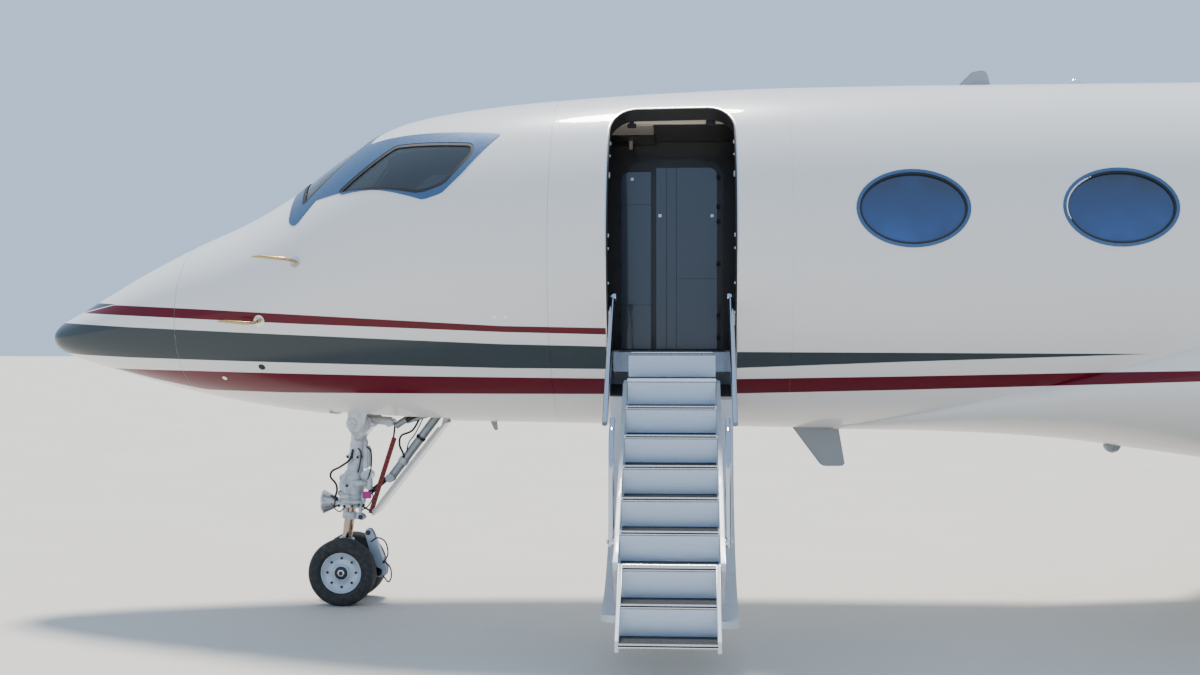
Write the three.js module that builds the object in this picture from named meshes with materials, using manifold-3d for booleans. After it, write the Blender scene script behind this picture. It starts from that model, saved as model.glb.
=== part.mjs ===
// Long-range business jet parked on its landing gear with the entry stairs down.
// Millimetres. +X runs aft, -Y is the port side with the entry door, +Z is up.
// The origin is on the ground, under the middle of the overall length.
// Lengths along the fuselage are stations, measured aft from the nose tip.

import * as THREE from 'three';
import { mergeVertices } from 'three/addons/utils/BufferGeometryUtils.js';
import Module from 'manifold-3d';

const wasm = await Module();
wasm.setup();

// Overall size
const LENGTH = 30410;
const SPAN = 30360;
const HEIGHT = 7820;
const FIT = 0.3;
const PIN_FIT = 0.8;
const FAR = 40000;

// Fuselage
const WALL = 110;
const FLOOR = 2090;
const HULL_POINTS = 32;
const LINING_POINTS = 14;
const FAIRING_POINTS = 20;
const RADOME_END = 1290;
const COCKPIT_START = 1960;
const COCKPIT_SILL = 2600;
const COCKPIT_END = 4300;
const CABIN_START = 6100;
const CABIN_END = 17800;
const CROWN_SEAM = 3700;
const BELLY_SEAM = 2400;
const TAIL_END = 27700;

// Doorway and stairs
const DOOR = { front: 4741, back: 5684, sill: 1760, top: 3960, corner: 250, skin: 45, gap: 6, foot: 12, reach: 1600 };
const STAIR_ANGLE = 132;
const FLOOR_EDGE = 330;
const TREAD = { first: 920, going: 250, rise: 193, halfWidth: 330, thick: 30 };
const STAIR_MIDDLE = (DOOR.front + DOOR.back) / 2;

// Windows
const WINDOW = { first: 6956, pitch: 1466, count: 8, height: 3135, halfLength: 375, halfHeight: 255, reach: 2000 };

// Landing gear
const NOSE_TYRE = { radius: 275, width: 180, rim: 165, spread: 200 };
const MAIN_TYRE = { radius: 470, width: 290, rim: 235, spread: 270 };
const TYRE_SIDES = 20;
const rollingHeight = tyre => tyre.radius * Math.cos(Math.PI / TYRE_SIDES);
const NOSE_AXLE = [2500, 0, rollingHeight(NOSE_TYRE)];
const NOSE_TRUNNION = [2605, 0, 1500];
const STRUT_LEAN = THREE.MathUtils.degToRad(6.7);
const MAIN_AXLE = [15050, 2300, rollingHeight(MAIN_TYRE)];

const paint = (color, roughness, metalness = 0) => new THREE.MeshStandardMaterial({ color, roughness, metalness });
const WHITE = paint(0xf1efe8, 0.25);
const BARE_METAL = paint(0xb9bec4, 0.35, 0.9);
const GEAR_PAINT = paint(0xdadcdc, 0.4);
const CHROME = paint(0xd8dce0, 0.12, 1);
const RUBBER = paint(0x1b1b1c, 0.85);
const GLASS = paint(0x1c2c4c, 0.08);
const STAIR_METAL = paint(0xa9b6c4, 0.4, 0.7);
const CABINET = paint(0x27313d, 0.5);
const LEATHER = paint(0xb9a88c, 0.6);
const FAN_METAL = paint(0x6d7278, 0.3, 0.9);

const jet = new THREE.Group();
jet.position.set(-LENGTH / 2, 0, 0);
const SIDES = [['port', -1], ['starboard', 1]];

// Solids

function solidOf(geometry) {
  const bare = geometry.clone();
  bare.deleteAttribute('normal');
  bare.deleteAttribute('uv');
  const merged = mergeVertices(bare, 1e-3);
  const points = merged.attributes.position.array;
  const triangles = Array.from(merged.index.array);
  const corner = i => new THREE.Vector3().fromArray(points, 3 * i);
  let volume = 0;
  for (let i = 0; i < triangles.length; i += 3) {
    const [a, b, c] = [0, 1, 2].map(k => corner(triangles[i + k]));
    volume += a.dot(b.cross(c));
  }
  if (volume < 0) triangles.reverse();
  const vertProperties = new Float32Array(points);
  const triVerts = new Uint32Array(triangles);
  return new wasm.Manifold(new wasm.Mesh({ numProp: 3, vertProperties, triVerts }));
}

const unite = solids => solids.reduce((whole, solid) => whole.add(solid));
const cutAll = (solid, cutters) => cutters.reduce((rest, cutter) => rest.subtract(cutter), solid);

function largest(solid) {
  const bodies = solid.decompose();
  return bodies.reduce((best, body) => (body.volume() > best.volume() ? body : best));
}

function addPiece(name, solid, material) {
  const mesh = largest(solid).getMesh();
  const geometry = new THREE.BufferGeometry();
  geometry.setAttribute('position', new THREE.BufferAttribute(new Float32Array(mesh.vertProperties), 3));
  geometry.setIndex(new THREE.BufferAttribute(new Uint32Array(mesh.triVerts), 1));
  geometry.computeVertexNormals();
  const piece = new THREE.Mesh(geometry, material);
  piece.name = name;
  jet.add(piece);
}

// A closed skin over rings that all have the same number of points
function loft(rings) {
  const count = rings[0].length;
  const positions = rings.flat(2);
  const index = [];
  for (let i = 0; i < rings.length - 1; i += 1) {
    for (let j = 0; j < count; j += 1) {
      const a = i * count + j;
      const b = i * count + (j + 1) % count;
      index.push(a, b, b + count, a, b + count, a + count);
    }
  }
  for (const [first, ring, flip] of [[0, rings[0], true], [(rings.length - 1) * count, rings.at(-1), false]]) {
    const middle = positions.length / 3;
    positions.push(...[0, 1, 2].map(k => ring.reduce((sum, point) => sum + point[k], 0) / count));
    for (let j = 0; j < count; j += 1) {
      const a = first + j;
      const b = first + (j + 1) % count;
      index.push(middle, flip ? b : a, flip ? a : b);
    }
  }
  const geometry = new THREE.BufferGeometry();
  geometry.setAttribute('position', new THREE.BufferAttribute(new Float32Array(positions), 3));
  geometry.setIndex(index);
  return solidOf(geometry);
}

function box(x0, x1, y0, y1, z0, z1) {
  const geometry = new THREE.BoxGeometry(x1 - x0, y1 - y0, z1 - z0);
  return solidOf(geometry.translate((x0 + x1) / 2, (y0 + y1) / 2, (z0 + z1) / 2));
}

const slab = (x0, x1, z0, z1) => box(x0, x1, -FAR, FAR, z0, z1);

// A box on one side of the middle plane, with inner and outer measured outwards from it
const sideBox = (sign, x0, x1, inner, outer, z0, z1) => box(
  x0, x1, Math.min(sign * inner, sign * outer), Math.max(sign * inner, sign * outer), z0, z1);

// A round bar between two points
function rod(from, to, radius, sides = 10, endRadius = radius, turn = Math.PI / sides) {
  const start = new THREE.Vector3(...from);
  const end = new THREE.Vector3(...to);
  const along = end.clone().sub(start);
  const geometry = new THREE.CylinderGeometry(endRadius, radius, along.length(), sides);
  geometry.rotateY(turn);
  geometry.applyQuaternion(new THREE.Quaternion().setFromUnitVectors(new THREE.Vector3(0, 1, 0), along.normalize()));
  geometry.translate(...start.add(end).multiplyScalar(0.5).toArray());
  return solidOf(geometry);
}

// The hole that a bar of the given radius turns in, its flats facing the bar's corners
function bore(from, to, radius, sides = 10) {
  const corner = (radius + PIN_FIT) / Math.cos(Math.PI / sides);
  return rod(from, to, corner, sides, corner, 0);
}

// A flat plate drawn as [station, height] points, spanning y0 to y1
function plate(outline, y0, y1) {
  const shape = new THREE.Shape(outline.map(([station, height]) => new THREE.Vector2(station, height)));
  const geometry = new THREE.ExtrudeGeometry(shape, { depth: y1 - y0, bevelEnabled: false, curveSegments: 4 });
  return solidOf(geometry.rotateX(Math.PI / 2).translate(0, y1, 0));
}

// A flat plate drawn as [y, height] points, spanning two stations
function frameWise(outline, station0, station1) {
  const shape = new THREE.Shape(outline.map(([y, height]) => new THREE.Vector2(y, height)));
  const geometry = new THREE.ExtrudeGeometry(shape, { depth: station1 - station0, bevelEnabled: false });
  const turn = new THREE.Matrix4().makeBasis(
    new THREE.Vector3(0, 1, 0), new THREE.Vector3(0, 0, 1), new THREE.Vector3(1, 0, 0));
  return solidOf(geometry.applyMatrix4(turn).translate(station0, 0, 0));
}

// A body of revolution; the profile holds [distance along the axis, radius]
function turned(profile, segments, centre, direction) {
  const points = profile.map(([along, radius]) => new THREE.Vector2(radius, along));
  const geometry = new THREE.LatheGeometry(points, segments);
  geometry.rotateY(Math.PI / segments);
  geometry.applyQuaternion(new THREE.Quaternion()
    .setFromUnitVectors(new THREE.Vector3(0, 1, 0), new THREE.Vector3(...direction)));
  return solidOf(geometry.translate(...centre));
}

// A closed bar bent along a smooth path
function bentBar(points, radius, steps) {
  const path = new THREE.CatmullRomCurve3(points.map(point => new THREE.Vector3(...point)), false, 'centripetal');
  const section = new THREE.Shape();
  section.absarc(0, 0, radius, 0, 2 * Math.PI);
  return solidOf(new THREE.ExtrudeGeometry(section, { steps, curveSegments: 4, extrudePath: path }));
}

// Turns a solid about a line parallel to X through [y, z], by degrees
function swung(solid, [y, z], degrees) {
  return solid.translate([0, -y, -z]).rotate([degrees, 0, 0]).translate([0, y, z]);
}

// Fuselage skin

// Columns: station, half width, top, bottom
const HULL = [
  [0, 60, 2250, 2150],
  [60, 165, 2300, 2095],
  [250, 320, 2405, 2015],
  [500, 455, 2548, 1938],
  [900, 620, 2775, 1828],
  [1290, 755, 2970, 1733],
  [1750, 900, 3174, 1645],
  [2130, 1005, 3395, 1590],
  [2450, 1085, 3640, 1556],
  [2850, 1170, 3889, 1530],
  [3080, 1215, 3978, 1520],
  [3600, 1290, 4073, 1507],
  [4300, 1350, 4142, 1497],
  [5200, 1392, 4195, 1482],
  [6100, 1408, 4225, 1468],
  [7500, 1410, 4235, 1461],
  [17800, 1410, 4235, 1470],
  [19000, 1375, 4230, 1550],
  [20000, 1330, 4220, 1700],
  [21000, 1245, 4190, 1930],
  [22000, 1130, 4150, 2180],
  [24000, 860, 4040, 2660],
  [26000, 550, 3880, 3040],
  [TAIL_END, 240, 3690, 3270],
];

function hull(offset, points = HULL_POINTS, rows = HULL) {
  return loft(rows.map(([station, halfWidth, top, bottom]) => {
    const middle = (top + bottom) / 2;
    const halfHeight = (top - bottom) / 2;
    return Array.from({ length: points }, (_, k) => {
      const angle = 2 * Math.PI * k / points;
      return [station, (halfWidth + offset) * Math.sin(angle), middle + (halfHeight + offset) * Math.cos(angle)];
    });
  }));
}

function hullAt(station) {
  const next = HULL.findIndex(row => row[0] >= station);
  const [before, after] = [HULL[Math.max(next - 1, 0)], HULL[next]];
  const share = after[0] === before[0] ? 0 : (station - before[0]) / (after[0] - before[0]);
  return before.map((value, k) => value + share * (after[k] - value));
}

function hullHalfWidth(station, height) {
  const [, halfWidth, top, bottom] = hullAt(station);
  const level = (height - (top + bottom) / 2) / ((top - bottom) / 2);
  return halfWidth * Math.sqrt(1 - level * level);
}

const outside = hull(0);
const outsideGrown = hull(FIT);
const inside = hull(-WALL, LINING_POINTS);
const room = inside.intersect(slab(COCKPIT_START, CABIN_END, FLOOR, FAR));
const between = (station0, station1, low = -FAR, high = FAR) => slab(
  station0 + FIT / 2, station1 - FIT / 2, low + FIT / 2, high - FIT / 2);

// Radome and nose, with the bay that the nose gear folds into

const NOSE_BAY = { front: 2100, back: 3400, halfWidth: 340, roof: 1990 };
const TRUNNION_LUG = { halfLength: 50, thick: 40, low: 1450, high: 1700 };
const NOSE_JACK = { station: 3900, y: 0, low: 1475, high: 1560 };
const WING_JACK = { station: 13000, y: 2900, low: 1310, high: 1560 };
const JACK_PAD_RADIUS = 60;
const jackPad = ({ station, y, low, high }) => rod([station, y, low], [station, y, high], JACK_PAD_RADIUS);
const noseBay = box(NOSE_BAY.front, NOSE_BAY.back, -NOSE_BAY.halfWidth, NOSE_BAY.halfWidth, 0, NOSE_BAY.roof);
addPiece('radome', outside.intersect(slab(-FIT, RADOME_END - FIT / 2, 0, FAR)), WHITE);
const cockpitRoof = between(COCKPIT_START, COCKPIT_END, COCKPIT_SILL, FAR);
const trunnionLugs = [-1, 1].map(sign => sideBox(
  sign, NOSE_TRUNNION[0] - TRUNNION_LUG.halfLength, NOSE_TRUNNION[0] + TRUNNION_LUG.halfLength,
  NOSE_BAY.halfWidth, NOSE_BAY.halfWidth + TRUNNION_LUG.thick, TRUNNION_LUG.low, TRUNNION_LUG.high));
addPiece('nose_section', cutAll(
  unite([outside.intersect(between(RADOME_END, COCKPIT_END)), jackPad(NOSE_JACK), ...trunnionLugs]),
  [slab(COCKPIT_START - FIT / 2, FAR, COCKPIT_SILL - FIT / 2, FAR), room, noseBay]), WHITE);

// Cockpit roof with its side windows and the pair of windshields

// Outlines of the glass openings as [station, height]
const SIDE_GLASS = [[2637, 3312], [3066, 3688], [3686, 3680], [3702, 3604], [3494, 3355], [3329, 3298]];
// Each windshield lies in the plane from low to high; its edges are measured up that plane and across it
const WINDSHIELD = {
  low: [2130, 3395], high: [2850, 3889], inner: 45, outerLow: 850, outerHigh: 560,
  lowEdge: 90, lowCorner: 210, topEdge: 70, topCorner: 190, depth: 700,
};
const SIDE_GLASS_CUT = { front: 2400, back: 4000, inner: 450, outer: 2000, low: 3000, high: 4000 };
const GLAZING = { thick: 25, front: 2150, back: 3850, low: 3180, high: 3860, postFront: 2900, postHalf: 20 };

const sideGlass = plate(SIDE_GLASS, -FAR, FAR).intersect(unite([-1, 1].map(sign => sideBox(
  sign, SIDE_GLASS_CUT.front, SIDE_GLASS_CUT.back, SIDE_GLASS_CUT.inner, SIDE_GLASS_CUT.outer,
  SIDE_GLASS_CUT.low, SIDE_GLASS_CUT.high))));

function windshield(sign) {
  const { low, high, inner, outerLow, outerHigh, lowEdge, lowCorner, topEdge, topCorner, depth } = WINDSHIELD;
  const slope = Math.atan2(high[1] - low[1], high[0] - low[0]);
  const rise = Math.hypot(high[0] - low[0], high[1] - low[1]);
  const outline = [[inner, lowEdge], [inner, rise - topEdge], [outerHigh, rise - topCorner], [outerLow, lowCorner]];
  const shape = new THREE.Shape(outline.map(([y, up]) => new THREE.Vector2(sign * y, up)));
  const geometry = new THREE.ExtrudeGeometry(shape, { depth, bevelEnabled: false });
  const across = new THREE.Vector3(0, 1, 0);
  const up = new THREE.Vector3(Math.cos(slope), 0, Math.sin(slope));
  geometry.translate(0, 0, -depth / 2);
  geometry.applyMatrix4(new THREE.Matrix4().makeBasis(across, up, across.clone().cross(up)));
  return solidOf(geometry.translate(low[0], 0, low[1]));
}

const windshields = [-1, 1].map(windshield);
addPiece('cockpit_shell', cutAll(outside.intersect(cockpitRoof), [room, sideGlass, ...windshields]), WHITE);
const glassBand = hull(-WALL - FIT, LINING_POINTS).subtract(hull(-WALL - GLAZING.thick, LINING_POINTS))
  .intersect(slab(GLAZING.front, GLAZING.back, GLAZING.low, GLAZING.high));
const roofPost = box(GLAZING.postFront, FAR, -GLAZING.postHalf, GLAZING.postHalf, GLAZING.low, GLAZING.high);
addPiece('cockpit_glazing', glassBand.subtract(roofPost), GLASS);

// Entry section, a barrel with the doorway and the well that the folded stairs stand in

const doorwayShape = new THREE.Shape();
doorwayShape.moveTo(DOOR.front, DOOR.sill);
doorwayShape.lineTo(DOOR.back, DOOR.sill);
doorwayShape.lineTo(DOOR.back, DOOR.top - DOOR.corner);
doorwayShape.absarc(DOOR.back - DOOR.corner, DOOR.top - DOOR.corner, DOOR.corner, 0, Math.PI / 2);
doorwayShape.lineTo(DOOR.front + DOOR.corner, DOOR.top);
doorwayShape.absarc(DOOR.front + DOOR.corner, DOOR.top - DOOR.corner, DOOR.corner, Math.PI / 2, Math.PI);
doorwayShape.closePath();

function doorPrism(shrink) {
  const geometry = new THREE.ExtrudeGeometry(doorwayShape,
    { depth: DOOR.reach - FLOOR_EDGE, bevelEnabled: false, curveSegments: 5 });
  const prism = solidOf(geometry.rotateX(Math.PI / 2).translate(0, -FLOOR_EDGE, 0));
  const middle = [STAIR_MIDDLE, 0, (DOOR.sill + DOOR.top) / 2];
  const factors = [1 - 2 * shrink / (DOOR.back - DOOR.front), 1, 1 - 2 * shrink / (DOOR.top - DOOR.sill)];
  return prism.translate(middle.map(value => -value)).scale(factors).translate(middle);
}

const HINGE = [-hullHalfWidth(STAIR_MIDDLE, DOOR.sill), DOOR.sill];
const HINGE_RADIUS = 14;
const HINGE_MARGIN = 10;
const hingeGroove = bore([0, ...HINGE], [DOOR.back + HINGE_MARGIN, ...HINGE], HINGE_RADIUS)
  .intersect(slab(DOOR.front - HINGE_MARGIN, DOOR.back + HINGE_MARGIN, 0, FAR));

// Hand rail pivots on the two jambs, as [y, z]
const RAIL_PIVOT = [-1242, 2500];
const RAIL_KNEE = [-2380, 1540];
const RAIL_FOOT = [-2420, 860];
const RAIL_RADIUS = 19;
const RAILS = [['forward', DOOR.front, 1], ['aft', DOOR.back, -1]];
const RAIL_PIN = { radius: 9, rooted: 40, out: 70 };
const railPins = RAILS.map(([, jamb, inward]) => rod(
  [jamb - inward * RAIL_PIN.rooted, ...RAIL_PIVOT], [jamb + inward * RAIL_PIN.out, ...RAIL_PIVOT], RAIL_PIN.radius));

const FLAP_PLATE = { pivot: [-360, 2075], edge: -920, thick: 30, lip: 150, lipThick: 20, inset: 25 };
const PLATE_PIN = { radius: 10, reach: 30, holeReach: 31 };
const platePinEnds = reach => [[DOOR.front - reach, ...FLAP_PLATE.pivot], [DOOR.back + reach, ...FLAP_PLATE.pivot]];
const platePin = rod(...platePinEnds(PLATE_PIN.reach), PLATE_PIN.radius);
const platePinHole = bore(...platePinEnds(PLATE_PIN.holeReach), PLATE_PIN.radius);

addPiece('entry_section', unite([
  cutAll(outside.intersect(between(COCKPIT_END, CABIN_START)), [room, doorPrism(0), hingeGroove, platePinHole]),
  ...railPins,
]), WHITE);

// Stair door: the outer skin, drawn shut and then swung open

const doorPanel = hull(-FIT).subtract(hull(-DOOR.skin)).intersect(doorPrism(DOOR.gap))
  .intersect(box(DOOR.front, DOOR.back, -FAR, 0, DOOR.sill + DOOR.foot, FAR));
const RIB = { low: DOOR.sill + 250, high: DOOR.sill + 2050, depth: 120 };
const ribFace = HINGE[0] + RIB.depth;
const STRINGER = { thick: 30, outer: TREAD.halfWidth + 30 };
const ribs = [-1, 1].map(side => {
  const outer = STAIR_MIDDLE + side * STRINGER.outer;
  const inner = outer - side * STRINGER.thick;
  const sheet = box(Math.min(outer, inner), Math.max(outer, inner), -FAR, ribFace, RIB.low, RIB.high);
  return sheet.intersect(hull(-DOOR.skin / 2));
});
const KNUCKLE = { inset: 20, outer: 30, inner: 8, low: 2, high: 40 };
const knuckleEnds = [DOOR.front + KNUCKLE.inset, DOOR.back - KNUCKLE.inset];
const doorKnuckle = rod([knuckleEnds[0], ...HINGE], [knuckleEnds[1], ...HINGE], HINGE_RADIUS);
const knuckleLeaf = box(...knuckleEnds, HINGE[0] - KNUCKLE.outer, HINGE[0] + KNUCKLE.inner,
  HINGE[1] + KNUCKLE.low, HINGE[1] + KNUCKLE.high).intersect(hull(-FIT));
const shutDoor = unite([doorPanel, ...ribs, knuckleLeaf]);
addPiece('airstair_skin', unite([swung(shutDoor, HINGE, STAIR_ANGLE), doorKnuckle]), WHITE);

// Treads, risers and stringers of the stairs, drawn where they stand when open

const treadEdge = step => [-(TREAD.first + TREAD.going * step), FLOOR - TREAD.rise * step];
const stairWise = (along, inward) => {
  const angle = THREE.MathUtils.degToRad(STAIR_ANGLE - 90);
  return [
    HINGE[0] - along * Math.cos(angle) - inward * Math.sin(angle),
    HINGE[1] - along * Math.sin(angle) + inward * Math.cos(angle),
  ];
};
const treadFront = STAIR_MIDDLE - TREAD.halfWidth;
const treadBack = STAIR_MIDDLE + TREAD.halfWidth;
const FIRST_TREAD_BACK = -1030;
const RISER_THICK = 20;
const TREAD_LET_IN = 1;

function flight(first, last) {
  const parts = [];
  for (let step = first; step <= last; step += 1) {
    const [edge, top] = treadEdge(step);
    const inner = step === 1 ? FIRST_TREAD_BACK : edge + TREAD.going;
    const across = [treadFront - TREAD_LET_IN, treadBack + TREAD_LET_IN];
    parts.push(box(...across, edge, inner, top - TREAD.thick, top));
    if (step > first) parts.push(box(...across, inner - RISER_THICK, inner, top - TREAD.thick, top + TREAD.rise));
  }
  return parts;
}

function stringers(outline) {
  return [-1, 1].map(side => {
    const outer = STAIR_MIDDLE + side * STRINGER.outer;
    const inner = outer - side * STRINGER.thick;
    return frameWise(outline, Math.min(outer, inner), Math.max(outer, inner));
  });
}

const LOWER_HINGE = [-2650, 740];
const LOWER_PIN = { radius: 12, reach: 28, holeReach: 31 };
const lowerPinEnds = reach => [[treadFront - reach, ...LOWER_HINGE], [treadBack + reach, ...LOWER_HINGE]];
const lowerPin = rod(...lowerPinEnds(LOWER_PIN.reach), LOWER_PIN.radius);
const lowerPinHole = bore(...lowerPinEnds(LOWER_PIN.holeReach), LOWER_PIN.radius);
const lowerHingeRoom = box(treadFront, treadBack, -2700, -2608, 700, 780);
const ribLine = RIB.depth + FIT;
const upperStringer = [
  stairWise(270, ribLine), stairWise(2030, ribLine), stairWise(2050, 300), [-2672, 715], [-2672, 762], [-2640, 770],
  [-2400, 920], [-1180, 1860], [-1035, 1880],
];
const upperFlight = cutAll(unite([...stringers(upperStringer), ...flight(1, 7)]), [lowerPinHole, lowerHingeRoom]);
addPiece('airstair_steps', upperFlight, STAIR_METAL);

const CHEEK = { inset: 6, thick: 25 };
const cheekOutline = [
  [-2640, 728], [-2640, 752], [-2680, 752], [-2920, 562], [-3172, 367], [-3172, 300], [-3120, 300], [-2690, 640],
];
const lowerCheeks = [-1, 1].map(side => {
  const outer = STAIR_MIDDLE + side * (TREAD.halfWidth - CHEEK.inset);
  const inner = outer - side * CHEEK.thick;
  return frameWise(cheekOutline, Math.min(outer, inner), Math.max(outer, inner));
});
const narrowTreads = flight(8, 9).map(part => part.intersect(box(
  treadFront + CHEEK.inset, treadBack - CHEEK.inset, -FAR, FAR, -FAR, FAR)));
addPiece('lower_steps', unite([...lowerCheeks, ...narrowTreads, lowerPin]), STAIR_METAL);

// Plate that bridges the stair well when the stairs are down

const bridgeEnds = [DOOR.front + FLAP_PLATE.inset, DOOR.back - FLAP_PLATE.inset];
const bridge = box(...bridgeEnds, FLAP_PLATE.edge, FLAP_PLATE.pivot[0], FLOOR - FLAP_PLATE.thick, FLOOR);
const bridgeLip = box(...bridgeEnds, FLAP_PLATE.edge, FLAP_PLATE.edge + FLAP_PLATE.lipThick,
  FLOOR - FLAP_PLATE.lip, FLOOR);
addPiece('threshold_plate', unite([bridge, bridgeLip, platePin]), STAIR_METAL);

// Hand rails: an upper bar hung on each jamb and a lower post fixed to the stringer

const towards = ([y0, z0], [y1, z1], distance) => {
  const length = Math.hypot(y1 - y0, z1 - z0);
  return [y0 + (y1 - y0) * distance / length, z0 + (z1 - z0) * distance / length];
};
const UPPER_RAIL_INSET = 38;
const LOWER_RAIL_INSET = 88;
// The bar stops short of the knee, so that its tip passes under the doorway's rounded corner
const railTip = towards(RAIL_KNEE, RAIL_PIVOT, 175);
const RAIL_BOSS = { half: 24, radius: 28, holeReach: 60, barStart: 10 };
const POST = { below: 30, bend: 160, tip: 180, steps: 7, footRadius: 26 };
for (const [name, jamb, inward] of RAILS) {
  const plane = jamb + inward * UPPER_RAIL_INSET;
  const pivotEnds = reach => [[plane - reach, ...RAIL_PIVOT], [plane + reach, ...RAIL_PIVOT]];
  const boss = rod(...pivotEnds(RAIL_BOSS.half), RAIL_BOSS.radius);
  const pinHole = bore(...pivotEnds(RAIL_BOSS.holeReach), RAIL_PIN.radius);
  const bar = rod([plane, ...towards(RAIL_PIVOT, RAIL_KNEE, RAIL_BOSS.barStart)], [plane, ...railTip], RAIL_RADIUS);
  addPiece(`${name}_upper_rail`, unite([bar, boss]).subtract(pinHole), CHROME);

  const postPlane = jamb + inward * LOWER_RAIL_INSET;
  const post = bentBar([
    [postPlane, RAIL_FOOT[0], RAIL_FOOT[1] - POST.below],
    [postPlane, RAIL_FOOT[0], RAIL_KNEE[1] - POST.bend],
    [postPlane, ...RAIL_KNEE],
    [postPlane, ...towards(RAIL_KNEE, RAIL_PIVOT, POST.tip)],
  ], RAIL_RADIUS, POST.steps);
  const foot = rod([postPlane, ...RAIL_FOOT],
    [STAIR_MIDDLE - inward * (STRINGER.outer + FIT), ...RAIL_FOOT], POST.footRadius);
  addPiece(`${name}_lower_rail`, unite([post, foot]), CHROME);
}

// Cabin barrel in four long panels, with the window openings

const windowHoles = Array.from({ length: WINDOW.count }, (_, k) => {
  const shape = new THREE.Shape();
  const middle = WINDOW.first + k * WINDOW.pitch;
  shape.absellipse(middle, WINDOW.height, WINDOW.halfLength, WINDOW.halfHeight, 0, 2 * Math.PI);
  const geometry = new THREE.ExtrudeGeometry(shape, { depth: 2 * WINDOW.reach, bevelEnabled: false, curveSegments: 6 });
  return solidOf(geometry.rotateX(Math.PI / 2).translate(0, WINDOW.reach, 0));
});
const cabinSkin = (low, high) => outside.intersect(between(CABIN_START, CABIN_END, low, high)).subtract(room);
addPiece('cabin_crown', cabinSkin(CROWN_SEAM, FAR), WHITE);
addPiece('cabin_belly', cabinSkin(-FAR, BELLY_SEAM), WHITE);
for (const [side, sign] of SIDES) {
  const half = sign < 0 ? box(0, FAR, -FAR, 0, 0, FAR) : box(0, FAR, 0, FAR, 0, FAR);
  addPiece(`cabin_${side}_side`, cutAll(cabinSkin(BELLY_SEAM, CROWN_SEAM).intersect(half), windowHoles), WHITE);
}

// Tail cone, a thin shell behind the aft bulkhead

const TAIL = { wall: 70, bulkhead: 120, closedEnd: 600 };
const BULKHEAD_DOOR = { ahead: 10, behind: 200, halfWidth: 300, low: 2300, high: 3700 };
const tailHollow = hull(-TAIL.wall, LINING_POINTS)
  .intersect(slab(CABIN_END + TAIL.bulkhead, TAIL_END - TAIL.closedEnd, 0, FAR));
const bulkheadDoor = box(CABIN_END - BULKHEAD_DOOR.ahead, CABIN_END + BULKHEAD_DOOR.behind,
  -BULKHEAD_DOOR.halfWidth, BULKHEAD_DOOR.halfWidth, BULKHEAD_DOOR.low, BULKHEAD_DOOR.high);
addPiece('tail_cone', cutAll(outside.intersect(between(CABIN_END, TAIL_END + 10)), [tailHollow, bulkheadDoor]), WHITE);

// Fairing under the belly that takes the wing roots

// Columns: station, half width, top, bottom
const FAIRING = [
  [6500, 300, 1560, 1455],
  [7000, 590, 1700, 1452],
  [7600, 850, 1950, 1435],
  [8300, 1070, 2250, 1390],
  [9000, 1270, 2550, 1300],
  [9800, 1480, 2800, 1200],
  [10600, 1590, 2870, 1165],
  [11500, 1620, 2880, 1160],
  [15500, 1620, 2800, 1170],
  [17000, 1450, 2500, 1300],
  [18400, 800, 2000, 1480],
  [19000, 250, 1750, 1590],
];
const fairingFull = hull(0, FAIRING_POINTS, FAIRING);
addPiece('belly_fairing', fairingFull.subtract(outsideGrown), WHITE);
const bodyKeepOut = hull(FIT, FAIRING_POINTS, FAIRING).add(outsideGrown);

// Wing sections and everything hinged on them

// One closed aerofoil ring; cant turns its thickness from upright to sideways
const CHORD_STEPS = [0, 0.02, 0.09, 0.24, 0.45, 0.72, 1];
const BLUNT_EDGE = 0.0012;
function halfThickness(share, ratio) {
  const curve = 0.2969 * Math.sqrt(share) - 0.126 * share - 0.3516 * share ** 2
    + 0.2843 * share ** 3 - 0.1036 * share ** 4;
  return Math.max(5 * ratio * curve, BLUNT_EDGE);
}

function aerofoil({ leading, chord, y, z, ratio, cant }) {
  const upper = CHORD_STEPS.map(share => [share, halfThickness(share, ratio)]);
  const lower = CHORD_STEPS.slice(1).reverse().map(share => [share, -halfThickness(share, ratio)]);
  return [...upper, ...lower].map(([share, thick]) => [
    leading + share * chord,
    y - thick * chord * Math.sin(cant),
    z + thick * chord * Math.cos(cant),
  ]);
}

// Columns: y, leading edge station, chord, height, thickness ratio, cant in degrees
const WING = [
  [500, 9387, 6988, 1612, 0.115, 3],
  [1250, 9387, 6988, 1612, 0.115, 3],
  [5000, 12210, 4800, 1810, 0.11, 3],
  [9600, 15680, 3175, 2050, 0.105, 3],
  [14150, 19112, 1568, 2288, 0.1, 3],
  [14620, 19500, 1400, 2360, 0.095, 20],
  [14930, 19870, 1240, 2560, 0.09, 50],
  [15060, 20230, 1060, 2860, 0.085, 76],
  [SPAN / 2 - 25, 21350, 600, 3900, 0.08, 84],
];

const wingRow = row => {
  const [y, leading, chord, z, ratio, cant] = row;
  return { y, leading, chord, z, ratio, cant: THREE.MathUtils.degToRad(cant) };
};

function wingAt(y) {
  const next = WING.findIndex(row => row[0] >= y);
  const [before, after] = [WING[next - 1], WING[next]];
  const share = (y - before[0]) / (after[0] - before[0]);
  return wingRow(before.map((value, k) => value + share * (after[k] - value)));
}

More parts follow.
